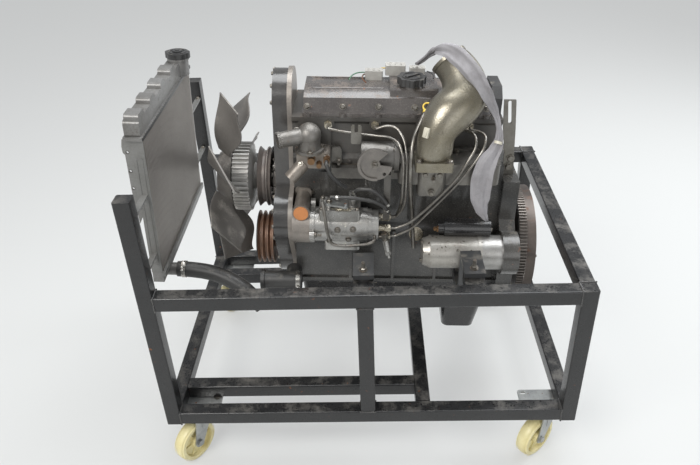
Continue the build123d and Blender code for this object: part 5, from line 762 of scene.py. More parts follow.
class Repeater:
    """Sets copies of a fastener, a bar or a bead on many seats with Geometry Nodes."""

    def __init__(self) -> None:
        """Build the three node groups."""
        self._fastener = self._fastener_group()
        self._bars = self._solid_group("bar_rows", "GeometryNodeMeshCube", "Size", "Vector")
        self._beads = self._solid_group(
            "bead_rows", "GeometryNodeMeshIcoSphere", "Radius", "Float", {"Subdivisions": 2}
        )

    @staticmethod
    def _disc(
        group: GeometryGraph,
        sides: Union[Wire, int],
        low_r: Wire,
        high_r: Wire,
        height: Wire,
        base: Optional[Wire],
    ) -> bpy.types.NodeSocket:
        """Add a short cone that stands on the seat or on what is below it.

        Args:
            group: The node group.
            sides: Number of sides.
            low_r: Radius at the foot.
            high_r: Radius at the top.
            height: Its height.
            base: Height it stands at, or None for the seat itself.

        Returns:
            The cone's geometry socket.
        """
        inputs = {
            "Vertices": sides, "Radius Top": high_r, "Radius Bottom": low_r, "Depth": height
        }
        cone = group.node("GeometryNodeMeshCone", inputs=inputs).outputs["Mesh"]
        if base is None:
            return cone
        lift = group.node("ShaderNodeCombineXYZ", inputs={"Z": base}).outputs[0]
        inputs = {"Geometry": cone, "Translation": lift}
        return group.node("GeometryNodeTransform", inputs=inputs).outputs["Geometry"]

    def _fastener_group(self) -> GeometryGraph:
        """Build the group that sets screws: washer, head with its chamfer, and stud end.

        Returns:
            The group. Its inputs are named as the fields of a fastener.
        """
        sizes = {item.name: "Int" if item.name == "sides" else "Float" for item in fields(Fastener)}
        group = GeometryGraph("fastener_rows", **sizes, Material="Material")
        size = {name: Wire(group, group.entry[name]) for name in sizes}
        head_r, washer_r, washer_h = size["head_r"], size["washer_r"], size["washer_h"]
        straight = size["head_h"] * (1.0 - CHAMFER_SHARE)
        chamfer = size["head_h"] * CHAMFER_SHARE
        chamfer_base = washer_h + straight
        head_top = chamfer_base + chamfer
        discs = (
            (20, washer_r, washer_r, washer_h, None),
            (size["sides"], head_r, head_r, straight, washer_h),
            (size["sides"], head_r, head_r * 0.78, chamfer, chamfer_base),
            (12, size["tip_r"], size["tip_r"], size["tip_h"], head_top),
        )
        join = group.node("GeometryNodeJoinGeometry")
        for disc in discs:
            group.feed(join.inputs[0], self._disc(group, *disc))
        group.set_on_seats(join.outputs[0], HEAD_SPIN)
        return group

    @staticmethod
    def _solid_group(
        name: str,
        solid: str,
        size: str,
        kind: str,
        values: Optional[Dict[Union[str, int], Value]] = None,
    ) -> GeometryGraph:
        """Build a group that sets one plain solid of a given size.

        Args:
            name: Name of the group.
            solid: Type of the solid's node.
            size: Name of the input that holds its size.
            kind: Type of that input.
            values: Further values of the solid's node.

        Returns:
            The group.
        """
        group = GeometryGraph(name, **{size: kind}, Material="Material")
        made = group.node(solid, inputs={**(values or {}), size: group.entry[size]})
        group.set_on_seats(made.outputs["Mesh"])
        return group

    def fasteners(
        self, name: str, seats: Sequence[Seat], kind: Fastener, material: bpy.types.Material
    ) -> bpy.types.Object:
        """Set a row of screws.

        Args:
            name: Name of the piece.
            seats: Where they stand.
            kind: Their sizes.
            material: Their finish.

        Returns:
            The piece, as a plain mesh.
        """
        values = {key: size * MM for key, size in asdict(kind).items()}
        values["sides"] = kind.sides
        return self._run(name, seats, self._fastener, material, values)

    def bars(
        self, name: str, seats: Sequence[Seat], size: Triple, material: bpy.types.Material
    ) -> bpy.types.Object:
        """Set a row of boxes."""
        values = {"Size": tuple(side * MM for side in size)}
        return self._run(name, seats, self._bars, material, values)

    def beads(
        self, name: str, seats: Sequence[Seat], radius: float, material: bpy.types.Material
    ) -> bpy.types.Object:
        """Set a row of round beads, as in a weld."""
        return self._run(name, seats, self._beads, material, {"Radius": radius * MM})

    @staticmethod
    def _run(
        name: str,
        seats: Sequence[Seat],
        group: GeometryGraph,
        material: bpy.types.Material,
        values: Dict[str, object],
    ) -> bpy.types.Object:
        """Run a node group over a cloud of seats and keep the result as a mesh.

        Args:
            name: Name of the piece.
            seats: Points and directions.
            group: The group.
            material: The pieces' finish.
            values: Values of the group's other inputs by name.

        Returns:
            The piece, with no modifier left on it.
        """
        mesh = bpy.data.meshes.new(f"{name}_seats")
        mesh.from_pydata([seat.point for seat in seats], [], [])
        aims = mesh.attributes.new("aim", "FLOAT_VECTOR", "POINT")
        for slot, seat in zip(aims.data, seats):
            slot.vector = seat.normal
        holder = new_object(name, mesh)
        modifier = holder.modifiers.new("rows", "NODES")
        modifier.node_group = group.tree
        for key, value in {**values, "Material": material}.items():
            modifier[group.keys[key]] = value
        bpy.context.view_layer.update()
        graph = bpy.context.evaluated_depsgraph_get()
        made = bpy.data.meshes.new_from_object(holder.evaluated_get(graph), depsgraph=graph)
        holder.modifiers.remove(modifier)
        holder.data = made
        made.name = name
        bpy.data.meshes.remove(mesh)
        if "aim" in made.attributes:
            made.attributes.remove(made.attributes["aim"])
        return holder


class Shaper:
    """Collects simple solids in one mesh."""

    def __init__(self) -> None:
        """Start an empty mesh."""
        self._mesh = bmesh.new()

    @staticmethod
    def _turned(middle: Vector, way: Vector, side: Optional[Vector] = None) -> Matrix:
        """Build the matrix that stands a solid's Z axis along a direction.

        Args:
            middle: Where the solid's middle goes.
            way: Direction of its Z axis.
            side: Direction its X axis is brought near to.

        Returns:
            The matrix.
        """
        up = way.normalized()
        if side is None:
            turn = up.to_track_quat("Z", "Y").to_matrix()
        else:
            across = (side - up * side.dot(up)).normalized()
            turn = Matrix((across, up.cross(across), up)).transposed()
        return Matrix.Translation(middle) @ turn.to_4x4()

    def box(
        self, middle: Vector, size: Triple, way: Vector, side: Vector, bevel: float = 0.0
    ) -> "Shaper":
        """Add a box.

        Args:
            middle: Its middle, in metres.
            size: Its three sides in mm: along side, across, along way.
            way: Direction of its third side.
            side: Direction of its first side.
            bevel: Width of its bevelled edges in mm.

        Returns:
            The shaper itself.
        """
        matrix = self._turned(middle, way, side) @ Matrix.Diagonal(
            (size[0] * MM, size[1] * MM, size[2] * MM, 1.0)
        )
        made = bmesh.ops.create_cube(self._mesh, size=1.0, matrix=matrix)
        if bevel:
            edges = list({edge for vertex in made["verts"] for edge in vertex.link_edges})
            bmesh.ops.bevel(
                self._mesh, geom=edges, offset=bevel * MM, segments=2, affect="EDGES", profile=0.6
            )
        return self

    def rod(
        self,
        start: Vector,
        end: Vector,
        radius: float,
        end_radius: Optional[float] = None,
        sides: int = 24,
    ) -> "Shaper":
        """Add a cylinder or a cone.

        Args:
            start: Middle of its first end, in metres.
            end: Middle of its second end.
            radius: Radius at the first end in mm.
            end_radius: Radius at the second end in mm, or None for the same.
            sides: Number of sides.

        Returns:
            The shaper itself.
        """
        way = end - start
        bmesh.ops.create_cone(
            self._mesh,
            cap_ends=True,
            segments=sides,
            radius1=radius * MM,
            radius2=(radius if end_radius is None else end_radius) * MM,
            depth=way.length,
            matrix=self._turned((start + end) / 2, way),
        )
        return self

    def skin(self, rows: Sequence[Sequence[Vector]], closed: bool = False) -> "Shaper":
        """Cover a row of loops with faces.

        Args:
            rows: The loops in metres, all with the same number of points.
            closed: Whether the last loop joins the first. Else both ends get a cap.

        Returns:
            The shaper itself.
        """
        loops = [[self._mesh.verts.new(point) for point in row] for row in rows]
        pairs = list(zip(loops, loops[1:]))
        if closed:
            pairs.append((loops[-1], loops[0]))
        for one, two in pairs:
            for k in range(len(one)):
                after = (k + 1) % len(one)
                self._mesh.faces.new((one[k], one[after], two[after], two[k]))
        if not closed:
            self._mesh.faces.new(loops[0][::-1])
            self._mesh.faces.new(loops[-1])
        return self

    def ring(
        self,
        middle: Vector,
        way: Vector,
        radius: float,
        width: float,
        height: float,
        sides: int = 40,
    ) -> "Shaper":
        """Add a flat band round an axis.

        Args:
            middle: Middle of the band, in metres.
            way: Its axis.
            radius: Inner radius in mm.
            width: Width along the axis in mm.
            height: Thickness of the band in mm.
            sides: Number of sides.

        Returns:
            The shaper itself.
        """
        matrix = self._turned(middle, way)
        corners = ((radius, -0.5), (radius + height, -0.5), (radius + height, 0.5), (radius, 0.5))
        rows = []
        for step in range(sides):
            angle = 2 * math.pi * step / sides
            x, y = math.cos(angle), math.sin(angle)
            rows.append(
                [matrix @ Vector((x * r * MM, y * r * MM, z * width * MM)) for r, z in corners]
            )
        return self.skin(rows, closed=True)

    def tube(
        self, points: Sequence[Vector], radius: float, sides: int = 10, flat: float = 1.0
    ) -> "Shaper":
        """Add a tube along a line of points.

        Args:
            points: The line, in metres.
            radius: Radius in mm.
            sides: Number of sides.
            flat: Share of the radius that is left across the flat side.

        Returns:
            The shaper itself.
        """
        rows: List[List[Vector]] = []
        normal = UP
        for index, point in enumerate(points):
            way = heading(points, index)
            normal = normal - way * normal.dot(way)
            if normal.length < 1e-4:
                normal = way.orthogonal()
            normal.normalize()
            across = way.cross(normal)
            rows.append(
                [
                    point
                    + across * (math.cos(2 * math.pi * k / sides) * radius * MM)
                    + normal * (math.sin(2 * math.pi * k / sides) * radius * flat * MM)
                    for k in range(sides)
                ]
            )
        return self.skin(rows)

    def done(
        self, name: str, material: bpy.types.Material, smooth: float = 40.0
    ) -> bpy.types.Object:
        """Turn what was collected into an object.

        Args:
            name: Name of the piece.
            material: Its finish.
            smooth: Largest angle in degrees between faces that shade as one.

        Returns:
            The piece.
        """
        bmesh.ops.recalc_face_normals(self._mesh, faces=self._mesh.faces[:])
        for face in self._mesh.faces:
            face.smooth = True
        for edge in self._mesh.edges:
            if len(edge.link_faces) == 2:
                edge.smooth = edge.calc_face_angle(0.0) < math.radians(smooth)
        mesh = bpy.data.meshes.new(name)
        self._mesh.to_mesh(mesh)
        self._mesh.free()
        mesh.materials.append(material)
        return new_object(name, mesh)


def smooth_line(points: Sequence[Vector], order: int = 3, steps: int = 8) -> List[Vector]:
    """Read an even line off the NURBS curve that has these control points.

    Args:
        points: Control points, in metres.
        order: Order of the curve.
        steps: Steps per span.

    Returns:
        The points of the curve.
    """
    curve = nurbs("reading", points, 0.0, order, steps)
    graph = bpy.context.evaluated_depsgraph_get()
    mesh = bpy.data.meshes.new_from_object(curve.evaluated_get(graph), depsgraph=graph)
    line = [vertex.co.copy() for vertex in mesh.vertices]
    bpy.data.meshes.remove(mesh)
    bpy.data.objects.remove(curve)
    return line


def nurbs(
    name: str, points: Sequence[Vector], radius: float, order: int = 3, steps: int = 12
) -> bpy.types.Object:
    """Make a NURBS curve object.

    Args:
        name: Name of the piece.
        points: Control points, in metres.
        radius: Radius of its round surface, in metres.
        order: Order of the curve.
        steps: Steps per span.

    Returns:
        The curve object.
    """
    data = bpy.data.curves.new(name, "CURVE")
    data.dimensions = "3D"
    data.resolution_u = steps
    data.bevel_depth = radius
    data.bevel_resolution = 6
    data.use_fill_caps = True
    spline = data.splines.new("NURBS")
    spline.points.add(len(points) - 1)
    for slot, point in zip(spline.points, points):
        slot.co = (*point, 1.0)
    spline.order_u = order
    spline.use_endpoint_u = True
    curve = new_object(name, data)
    bpy.context.view_layer.update()
    return curve


# -------------------- assemblies


@dataclass
class Workshop:
    """What every assembly works with."""

    book: FinishBook = field(default_factory=FinishBook)
    repeater: Repeater = field(default_factory=Repeater)

    def finish(self, name: str) -> bpy.types.Material:
        """Give a named finish's material."""
        return self.book.material(name)


@dataclass
class Assembly(ABC):
    """A group of added pieces that belong together."""

    shop: Workshop

    @abstractmethod
    def build(self) -> None:
        """Make the pieces and hang them on their bodies."""

    def keep(self, piece: bpy.types.Object, body: Body, slot: str) -> bpy.types.Object:
        """Hang a piece on its body.

        Args:
            piece: The piece.
            body: Body that carries it.
            slot: Not used.

        Returns:
            The piece.
        """
        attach(piece, body.value)
        return piece

    def add(
        self, shape: Shaper, name: str, finish: str, slot: str, body: Body = Body.STAND
    ) -> bpy.types.Object:
        """Turn a shape into a piece and hang it on its body."""
        return self.keep(shape.done(name, self.shop.finish(finish)), body, slot)

    def screws(
        self,
        name: str,
        seats: Iterable[Optional[Seat]],
        kind: Fastener,
        body: Body = Body.STAND,
        finish: str = "screw_steel",
        slot: str = "zinc_steel",
    ) -> None:
        """Set a row of screws on one body.

        Args:
            name: Name of the piece.
            seats: Their seats. Missing ones are passed over.
            kind: Their sizes.
            body: Body that carries them.
            finish: Name of their finish.
            slot: Slot of the record.
        """
        found = [seat for seat in seats if seat is not None]
        if not found:
            LOG.warning("%s found no seat", name)
            return
        piece = self.shop.repeater.fasteners(name, found, kind, self.shop.finish(finish))
        self.keep(piece, body, slot)

    def clamp(
        self,
        name: str,
        middle: Vector,
        way: Vector,
        radius: float,
        screw_way: Vector,
        body: Body = Body.STAND,
        width: float = 11.0,
    ) -> None:
        """Make a worm-drive hose clamp.

        Args:
            name: Name of the piece.
            middle: Middle of the band, in metres.
            way: Axis of the hose.
            radius: Radius of the hose in mm.
            screw_way: Direction from the axis to the screw.
            body: Body that carries it.
            width: Width of the band in mm.
        """
        side = (screw_way - way * screw_way.dot(way)).normalized()
        along = way.cross(side).normalized()
        shape = Shaper().ring(middle, way, radius, width, 1.3)
        barrel = middle + side * ((radius + 4.5) * MM)
        shape.box(barrel, (15.0, width * 0.8, 7.0), side, along, 1.2)
        shape.rod(barrel - along * 0.012, barrel + along * 0.012, 3.4, sides=14)
        shape.rod(barrel + along * 0.012, barrel + along * 0.016, 4.4, sides=6)
        self.add(shape, name, "clamp_steel", "fitting_steel", body)


@dataclass
class StandTrim(Assembly):
    """Welds of the stand, screws of the casters and of the mounts."""

    post_x: float = 535.0
    mid_x: float = -2.0
    rail_top: float = 599.0
    stand_z: float = 165.0
    tube: float = 40.0
    bead_r: float = 2.6
    caster_x: float = 487.0
    caster_y: float = 336.0
    mount_x: Tuple[float, float] = (-5.0, 268.0)
    bush_y: float = 315.0

    def build(self) -> None:
        """Make the welds, then the screws."""
        self._welds()
        self._caster_screws()
        self._mount_bolts()

    def _welds(self) -> None:
        """Lay a bead where each rail meets a post."""
        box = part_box("stand_posts")
        half_y = (box[1][1] - box[0][1]) / 2 / MM
        post_y = half_y - self.tube / 2
        half = self.tube / 2
        seats: List[Seat] = []
        for y in (-post_y, post_y):
            for z_top in (self.rail_top, self.stand_z + self.tube):
                for x, side in ((-self.post_x, 1), (self.post_x, -1)):
                    edge = x + side * half
                    seats += self._line((edge, y - half, z_top), (edge, y + half, z_top))
                    for face in (-half, half):
                        seats += self._line(
                            (edge, y + face, z_top - self.tube), (edge, y + face, z_top)
                        )
            for z in (self.rail_top - self.tube, self.stand_z + self.tube):
                for face in (-half, half):
                    seats += self._line(
                        (self.mid_x - half, y + face, z), (self.mid_x + half, y + face, z)
                    )
        for x, inward in ((-self.post_x, 1), (self.post_x, -1)):
            for y, side in ((-post_y, 1), (post_y, -1)):
                edge = y + side * half
                low = self.stand_z + self.tube
                seats += self._line((x - half, edge, low), (x + half, edge, low))
                if inward < 0:
                    seats += self._line(
                        (x - half, edge, self.rail_top), (x + half, edge, self.rail_top)
                    )
        piece = self.shop.repeater.beads(
            "stand_welds", seats, self.bead_r, self.shop.finish("weld")
        )
        self.keep(piece, Body.STAND, "stand_paint")

    def _line(self, start: Triple, end: Triple) -> List[Seat]:
        """Lay seats along an edge, a little apart.

        Args:
            start: First point in mm.
            end: Last point in mm.

        Returns:
            The seats.
        """
        first, last = plain_point(*start), plain_point(*end)
        count = max(2, int((last - first).length / (self.bead_r * 1.3 * MM)))
        wobble = [0.5 * math.sin(step * 2.4) * MM for step in range(count + 1)]
        return [
            Seat(
                first.lerp(last, step / count) + Vector((wobble[step], wobble[step], 0.0)) * 0.6,
                UP,
            )
            for step in range(count + 1)
        ]

    def _caster_screws(self) -> None:
        """Set the screws of the four caster plates, heads down."""
        plates = Surface("caster_plates", "stand_rails")
        below: List[Optional[Seat]] = []
        for side_x, side_y, dx, dy in product((-1, 1), repeat=4):
            x = side_x * self.caster_x + dx * 52.5
            y = side_y * self.caster_y + dy * 40.0
            seat = plates.seat(plain_point(x, y, 120.0), UP, 0.06)
            if seat is not None and seat.point.z >= 0.168:
                seat = Seat(Vector((x * MM, y * MM, 0.160)), DOWN)
            below.append(seat)
        self.screws("caster_screws", below, HEX_M10)

    def _mount_bolts(self) -> None:
        """Set the bolt on each mount's end plate and the two on its pad."""
        arms = Surface("mount_arms")
        tops: List[Optional[Seat]] = []
        pads: List[Optional[Seat]] = []
        for x in self.mount_x:
            for side in (-1, 1):
                start = plain_point(x, side * self.bush_y, 700.0)
                tops.append(arms.seat(start, DOWN, 0.3))
                for dx in (-15.0, 15.0):
                    for z in (488.0, 457.0) if x > 0 else (519.0, 488.0):
                        start = plain_point(x + dx, side * 190.0, z)
                        pads.append(arms.seat(start, Vector((0.0, -side, 0.0)), 0.2))
        self.screws("mount_nuts", tops, NUT_M10)
        self.screws("mount_pad_bolts", pads, HEX_M8, finish="dark_screw", slot="block_paint")


@dataclass
class WheelTrim(Assembly):
    """Moulding ribs of the caster wheels, and the presswork of their forks."""

    swivels: Dict[str, Triple] = field(
        default_factory=lambda: {
            "front_left": (-487.0, -336.0, -36.0),
            "front_right": (487.0, -336.0, -50.0),
            "back_left": (-487.0, 336.0, -36.0),
            "back_right": (487.0, 336.0, 216.0),
        }
    )
    wheel_r: float = 62.5
    trail: float = 28.0

    def build(self) -> None:
        """Make the ribs of each wheel and the presswork of its fork."""
        for corner, (x, y, yaw_degrees) in self.swivels.items():
            yaw = math.radians(yaw_degrees)
            axle = Vector((math.cos(yaw), math.sin(yaw), 0.0))
            roll = Vector((-math.sin(yaw), math.cos(yaw), 0.0))
            middle = plain_point(x, y, self.wheel_r) - roll * (self.trail * MM)
            shape = Shaper()
            for side in (-1, 1):
                shape.ring(middle + axle * (side * 0.0135), axle, 61.6, 1.6, 0.35, 56)
                for turn in range(6):
                    angle = math.pi * turn / 3
                    out = roll * math.cos(angle) + UP * math.sin(angle)
                    shape.box(
                        middle + axle * (side * 0.0085) + out * 0.0335,
                        (28.0, 3.2, 4.0), axle * side, out, 0.8,
                    )
            piece = shape.done(f"wheel_ribs_{corner}", self.shop.finish("cream_nylon"))
            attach(piece, f"wheel_{corner}")
            self._swivel_band(corner, x, y, axle, roll)

    def _swivel_band(self, corner: str, x: float, y: float, axle: Vector, roll: Vector) -> None:
        """Make the raised band and the pressed crease of a fork.

        Args:
            corner: Name of the corner.
            x: Place of the swivel in mm.
            y: Place of the swivel in mm.
            axle: Direction of the axle.
            roll: Direction of rolling.
        """
        shape = Shaper()
        shape.ring(plain_point(x, y, 146.0), UP, 30.6, 2.4, 1.2, 40)
        for side in (-1, 1):
            face = plain_point(x, y, 118.0) + axle * (side * 0.0238) - roll * 0.008
            shape.box(face, (5.0, 34.0, 1.4), axle * side, roll, 0.5)
        piece = shape.done(f"fork_press_{corner}", self.shop.finish("zinc_steel"))
        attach(piece, f"fork_{corner}")


@dataclass
class CaseTrim(Assembly):
    """Screws round the timing case, on the water pump and on the pulleys."""

    lobes: Tuple[Triple, ...] = (
        (0.0, 430.0, 78.0),
        (0.0, 0.0, 96.0),
        (-112.0, 140.0, 70.0),
        (52.0, 180.0, 62.0),
    )
    inset: float = 4.6
    pitch: float = 52.0
    front_a: float = -50.0
    pump_c: float = 200.0

    def build(self) -> None:
        """Set the case's screws, then those of the pump and the pulleys."""
        starts = [(self.front_a - 30.0, b, c) for b, c in self._rim()]
        seats = Surface("timing_cover").seats(starts, Way.REAR, 0.06)
        self.screws("case_screws", seats, HEX_M6, slot="machined_steel")
        starts = around(-96.0, 0.0, self.pump_c, 49.0, sixths(0.5))
        seats = Surface("water_pump", "timing_cover").seats(starts, Way.REAR, 0.08)
        self.screws("water_pump_screws", seats, HEX_M6, slot="machined_steel")
        self._pulleys()
        self._clutch()

    def _rim(self) -> List[Tuple[float, float]]:
        """Walk the case's outline, a little inside it.

        Returns:
            Even points of the outline as (b, c) in mm.
        """
        groups = (
            (self.lobes[0], self.lobes[1]),
            (self.lobes[2], self.lobes[3], (0.0, 0.0, 86.0)),
        )
        places: List[Tuple[float, float]] = []
        for mine, group in enumerate(groups):
            for step in range(720):
                angle = math.pi * step / 360
                way = (math.cos(angle), math.sin(angle))
                reach = [b * way[0] + c * way[1] + r - self.inset for b, c, r in group]
                best = max(range(len(group)), key=reach.__getitem__)
                b, c, r = group[best]
                spot = (b + way[0] * (r - self.inset), c + way[1] * (r - self.inset))
                others = [g for other, g in enumerate(groups) if other != mine]
                if not any(self._inside(spot, other) for other in others):
                    places.append(spot)
        kept: List[Tuple[float, float]] = []
        for spot in self._filled(places):
            if all(math.dist(spot, other) > self.pitch * 0.8 for other in kept):
                kept.append(spot)
        return kept

    def _filled(self, places: Sequence[Tuple[float, float]]) -> List[Tuple[float, float]]:
        """Put further points on the straight runs between two points far apart.

        Args:
            places: Points of the outline in order.

        Returns:
            The points with the runs filled in.
        """
        filled: List[Tuple[float, float]] = []
        for one, two in zip(places, places[1:]):
            filled.append(one)
            length = math.dist(one, two)
            count = int(length / self.pitch)
            if 1 <= count < 8:
                filled += [
                    (
                        one[0] + (two[0] - one[0]) * k / (count + 1),
                        one[1] + (two[1] - one[1]) * k / (count + 1),
                    )
                    for k in range(1, count + 1)
                ]
        return filled

    @staticmethod
    def _inside(spot: Tuple[float, float], group: Sequence[Triple]) -> bool:
        """Tell whether a point lies well inside the hull of some circles.

        Args:
            spot: The point in mm.
            group: The circles as (b, c, radius).

        Returns:
            True where it does.
        """
        for step in range(72):
            angle = math.pi * step / 36
            way = (math.cos(angle), math.sin(angle))
            reach = max(b * way[0] + c * way[1] + r for b, c, r in group)
            if spot[0] * way[0] + spot[1] * way[1] > reach - 6.0:
                return False
        return True

    def _pulleys(self) -> None:
        """Set the screws of the crank pulley and darken the rim of its face."""
        starts = around(-160.0, 0.0, 0.0, 44.0, sixths(0.0))
        seats = Surface("crank_pulley").seats(starts, Way.REAR, 0.12)
        self.screws(
            "crank_pulley_screws", seats, HEX_M8, Body.CRANK, "dark_screw", "machined_steel"
        )
        middle = engine_point(-116.6, 0.0, 0.0)
        land = Shaper().ring(middle, engine_way(Way.REAR), 76.3, 2.6, 0.6, 96)
        self.add(land, "pulley_face", "black_plastic", "pulley_iron", Body.CRANK)

    def _clutch(self) -> None:
        """Set the screws that hold the fan on its clutch, and the clutch's spring strip."""
        starts = around(-250.0, 0.0, self.pump_c, 54.0, sixths(0.26))
        seats = Surface("fan", "fan_clutch").seats(starts, Way.REAR, 0.12)
        self.screws("fan_screws", seats, HEX_M6, Body.FAN, slot="machined_steel")
        rear = engine_way(Way.REAR)
        middle = engine_point(-219.0, 0.0, self.pump_c)
        shape = Shaper()
        shape.box(middle, (46.0, 9.0, 1.6), rear, engine_way((0.0, 0.8, 0.6)), 0.4)
        shape.rod(middle + rear * 0.012, middle - rear * 0.004, 5.0)
        self.add(shape, "fan_strip", "fitting_steel", "fitting_steel", Body.FAN)


@dataclass
class CoolantTrim(Assembly):
    """Screws, gasket, scale and clamp of the coolant castings."""

    def build(self) -> None:
        """Make the screws first, then the scale, the gasket and the clamp."""
        dome = Surface("thermostat_housing", "coolant_housing")
        tops = [(46.0 + a, -133.0 + b, 430.0) for a, b in ((31.0, 8.0), (-31.0, 6.0), (4.0, -33.0))]
        seats = dome.seats(tops, Way.DOWN, 0.12)
        self.screws("thermostat_screws", seats, HEX_M8, slot="machined_steel")
        sides = [(a, -230.0, c) for a, c in ((24.0, 316.0), (88.0, 314.0), (86.0, 336.0))]
        seats = dome.seats(sides, Way.FAR, 0.12)
        self.screws("coolant_screws", seats, HEX_M6, slot="machined_steel")
        inlet = Surface("water_inlet", "cylinder_block", "timing_plate")
        ears = [(24.0 + a, -176.0, 194.0 + c) for a, c in ((24.0, 10.0), (-20.0, -12.0))]
        seats = inlet.seats(ears, Way.FAR, 0.12)
        self.screws("inlet_screws", seats, HEX_M6, slot="machined_steel")
        self._scale()
        gasket = Shaper().ring(
            engine_point(46.0, -133.0, 344.6), engine_way(Way.UP), 30.0, 1.2, 6.8, 48
        )
        self.add(gasket, "dome_gasket", "gasket", "brown_casting")
        stub = Surface("hose_stub")
        if stub.seat(engine_point(-34.0, -260.0, -34.0), engine_way(Way.FAR)) is not None:
            screw_way = engine_way(Way.NEAR) + engine_way(Way.DOWN) * 0.4
            middle = engine_point(8.0, -168.0, -34.0)
            self.clamp("stub_clamp", middle, engine_way(Way.REAR), 25.2, screw_way)

    def _scale(self) -> None:
        """Lay the pale scale that has grown round the outlet's mouth."""
        mouth = engine_point(-30.0, -163.0, 384.0)
        root = engine_point(46.0, -133.0, 388.0)
        way = (root - mouth).normalized()
        side = way.orthogonal().normalized()
        across = way.cross(side)
        seats = []
        for step in range(46):
            angle = 2.399 * step
            out = side * math.cos(angle) + across * math.sin(angle)
            depth = 0.0012 + 0.010 * ((step * 7) % 11) / 11.0
            seats.append(Seat(mouth + way * depth + out * 0.0192, out))
        finish = self.shop.finish("crusted_casting")
        piece = self.shop.repeater.beads("outlet_scale", seats, 2.2, finish)
        self.keep(piece, Body.STAND, "crusted_casting")


@dataclass
class CoverTrim(Assembly):
    """Screws and pressed beads of the valve cover, its filler cap's bar, and the head."""

    first_a: float = 39.0
    last_a: float = 487.0
    ear_b: float = 82.0
    count: int = 6

    def build(self) -> None:
        """Make the cover's nuts, the head's studs, the gasket, the cap's bar and the beads."""
        step = (self.last_a - self.first_a) / (self.count - 1)
        ears = [
            (self.first_a + k * step, side * self.ear_b, 470.0)
            for k in range(self.count)
            for side in (-1, 1)
        ]
        seats = Surface("valve_cover").seats(ears, Way.DOWN, 0.08)
        self.screws("cover_nuts", seats, NUT_M8, slot="machined_steel")
        head = Surface("cylinder_head")
        studs: List[Optional[Seat]] = []
        for side, way in SIDES:
            starts = [(30.0 + k * 58.0, side * 180.0, 297.5) for k in range(9)]
            studs += head.seats(starts, way, 0.2)
        self.screws("head_studs", studs, HEX_M6, finish="dark_screw", slot="head_iron")
        gasket = Shaper().box(
            engine_point(268.0, 0.0, 289.2), (536.0, 193.0, 1.8),
            engine_way(Way.UP), engine_way(Way.REAR),
        )
        self.add(gasket, "head_gasket", "gasket", "head_iron")
        self._cap_bar()
        self._beads()

    def _cap_bar(self) -> None:
        """Make the raised bar and the ring on top of the filler cap."""
        up = engine_way(Way.UP)
        start = engine_point(300.0, -40.0, 560.0)
        seat = Surface("oil_filler_cap").seat(start, engine_way(Way.DOWN), 0.2)
        if seat is None:
            return
        shape = Shaper().ring(seat.point + up * 0.0006, up, 22.0, 2.2, 3.0, 48)
        shape.box(
            seat.point + up * 0.0022, (40.0, 8.0, 4.4), up, engine_way((0.8, 0.6, 0.0)), 1.6
        )
        self.add(shape, "filler_cap_bar", "black_plastic", "black_plastic", Body.OIL_CAP)

    def _beads(self) -> None:
        """Lay the pressed beads along the cover's crown."""
        cover = Surface("valve_cover")
        shape = Shaper()
        lift = engine_way(Way.UP) * 0.0002
        for side in (-1, 1):
            starts = [(52.0 + k * 16.0, side * 40.0, 520.0) for k in range(12)]
            seats = cover.seats(starts, Way.DOWN, 0.15)
            line = [seat.point + lift for seat in seats if seat is not None]
            if len(line) > 2:
                shape.tube(line, 2.4, 8)
        self.add(shape, "cover_beads", "cover_paint", "cover_paint")


@dataclass
class BlockTrim(Assembly):
    """Screws of the pan, core plugs, and the bolts of the bracket and the flange."""

    def build(self) -> None:
        """Make the pan's screws, the core plugs, the bracket's bolts and the dowels."""
        starts = [(14.0 + k * 52.0, side * 119.0, -130.0) for k in range(11) for side in (-1, 1)]
        seats = Surface("oil_pan").seats(starts, Way.UP, 0.1)
        self.screws("pan_screws", seats, HEX_M6, finish="dark_screw", slot="pan_paint")
        self._plugs()
        brackets = Surface("engine_brackets", "cylinder_head", "cylinder_block")
        starts = [(563.0, -240.0, 276.0), (566.0, -240.0, 300.0)]
        seats = brackets.seats(starts, Way.FAR, 0.25)
        self.screws("link_bolts", seats, HEX_M10, slot="machined_steel")
        angles = map(math.radians, (20.0, 112.0, 160.0, 192.0, 216.0, 316.0, 344.0))
        starts = around(640.0, 0.0, 0.0, 172.0, angles)
        seats = Surface("cylinder_block").seats(starts, Way.FRONT, 0.1)
        dowel = Fastener(5.0, 6.0, 16, 5.4, 0.4)
        self.screws("flange_dowels", seats, dowel, slot="machined_steel")

    def _plugs(self) -> None:
        """Set the pressed core plugs along the skirt."""
        block = Surface("cylinder_block")
        shape = Shaper()
        for side, way in SIDES:
            places = (214.0, 330.0, 446.0) if side > 0 else (330.0,)
            for seat in block.seats([(a, side * 220.0, 84.0) for a in places], way, 0.2):
                if seat is None:
                    continue
                out = seat.normal
                shape.ring(seat.point + out * 0.0008, out, 15.0, 3.4, 4.0, 40)
                shape.rod(seat.point - out * 0.002, seat.point + out * 0.0012, 16.0)
        self.add(shape, "core_plugs", "fitting_steel", "block_paint")


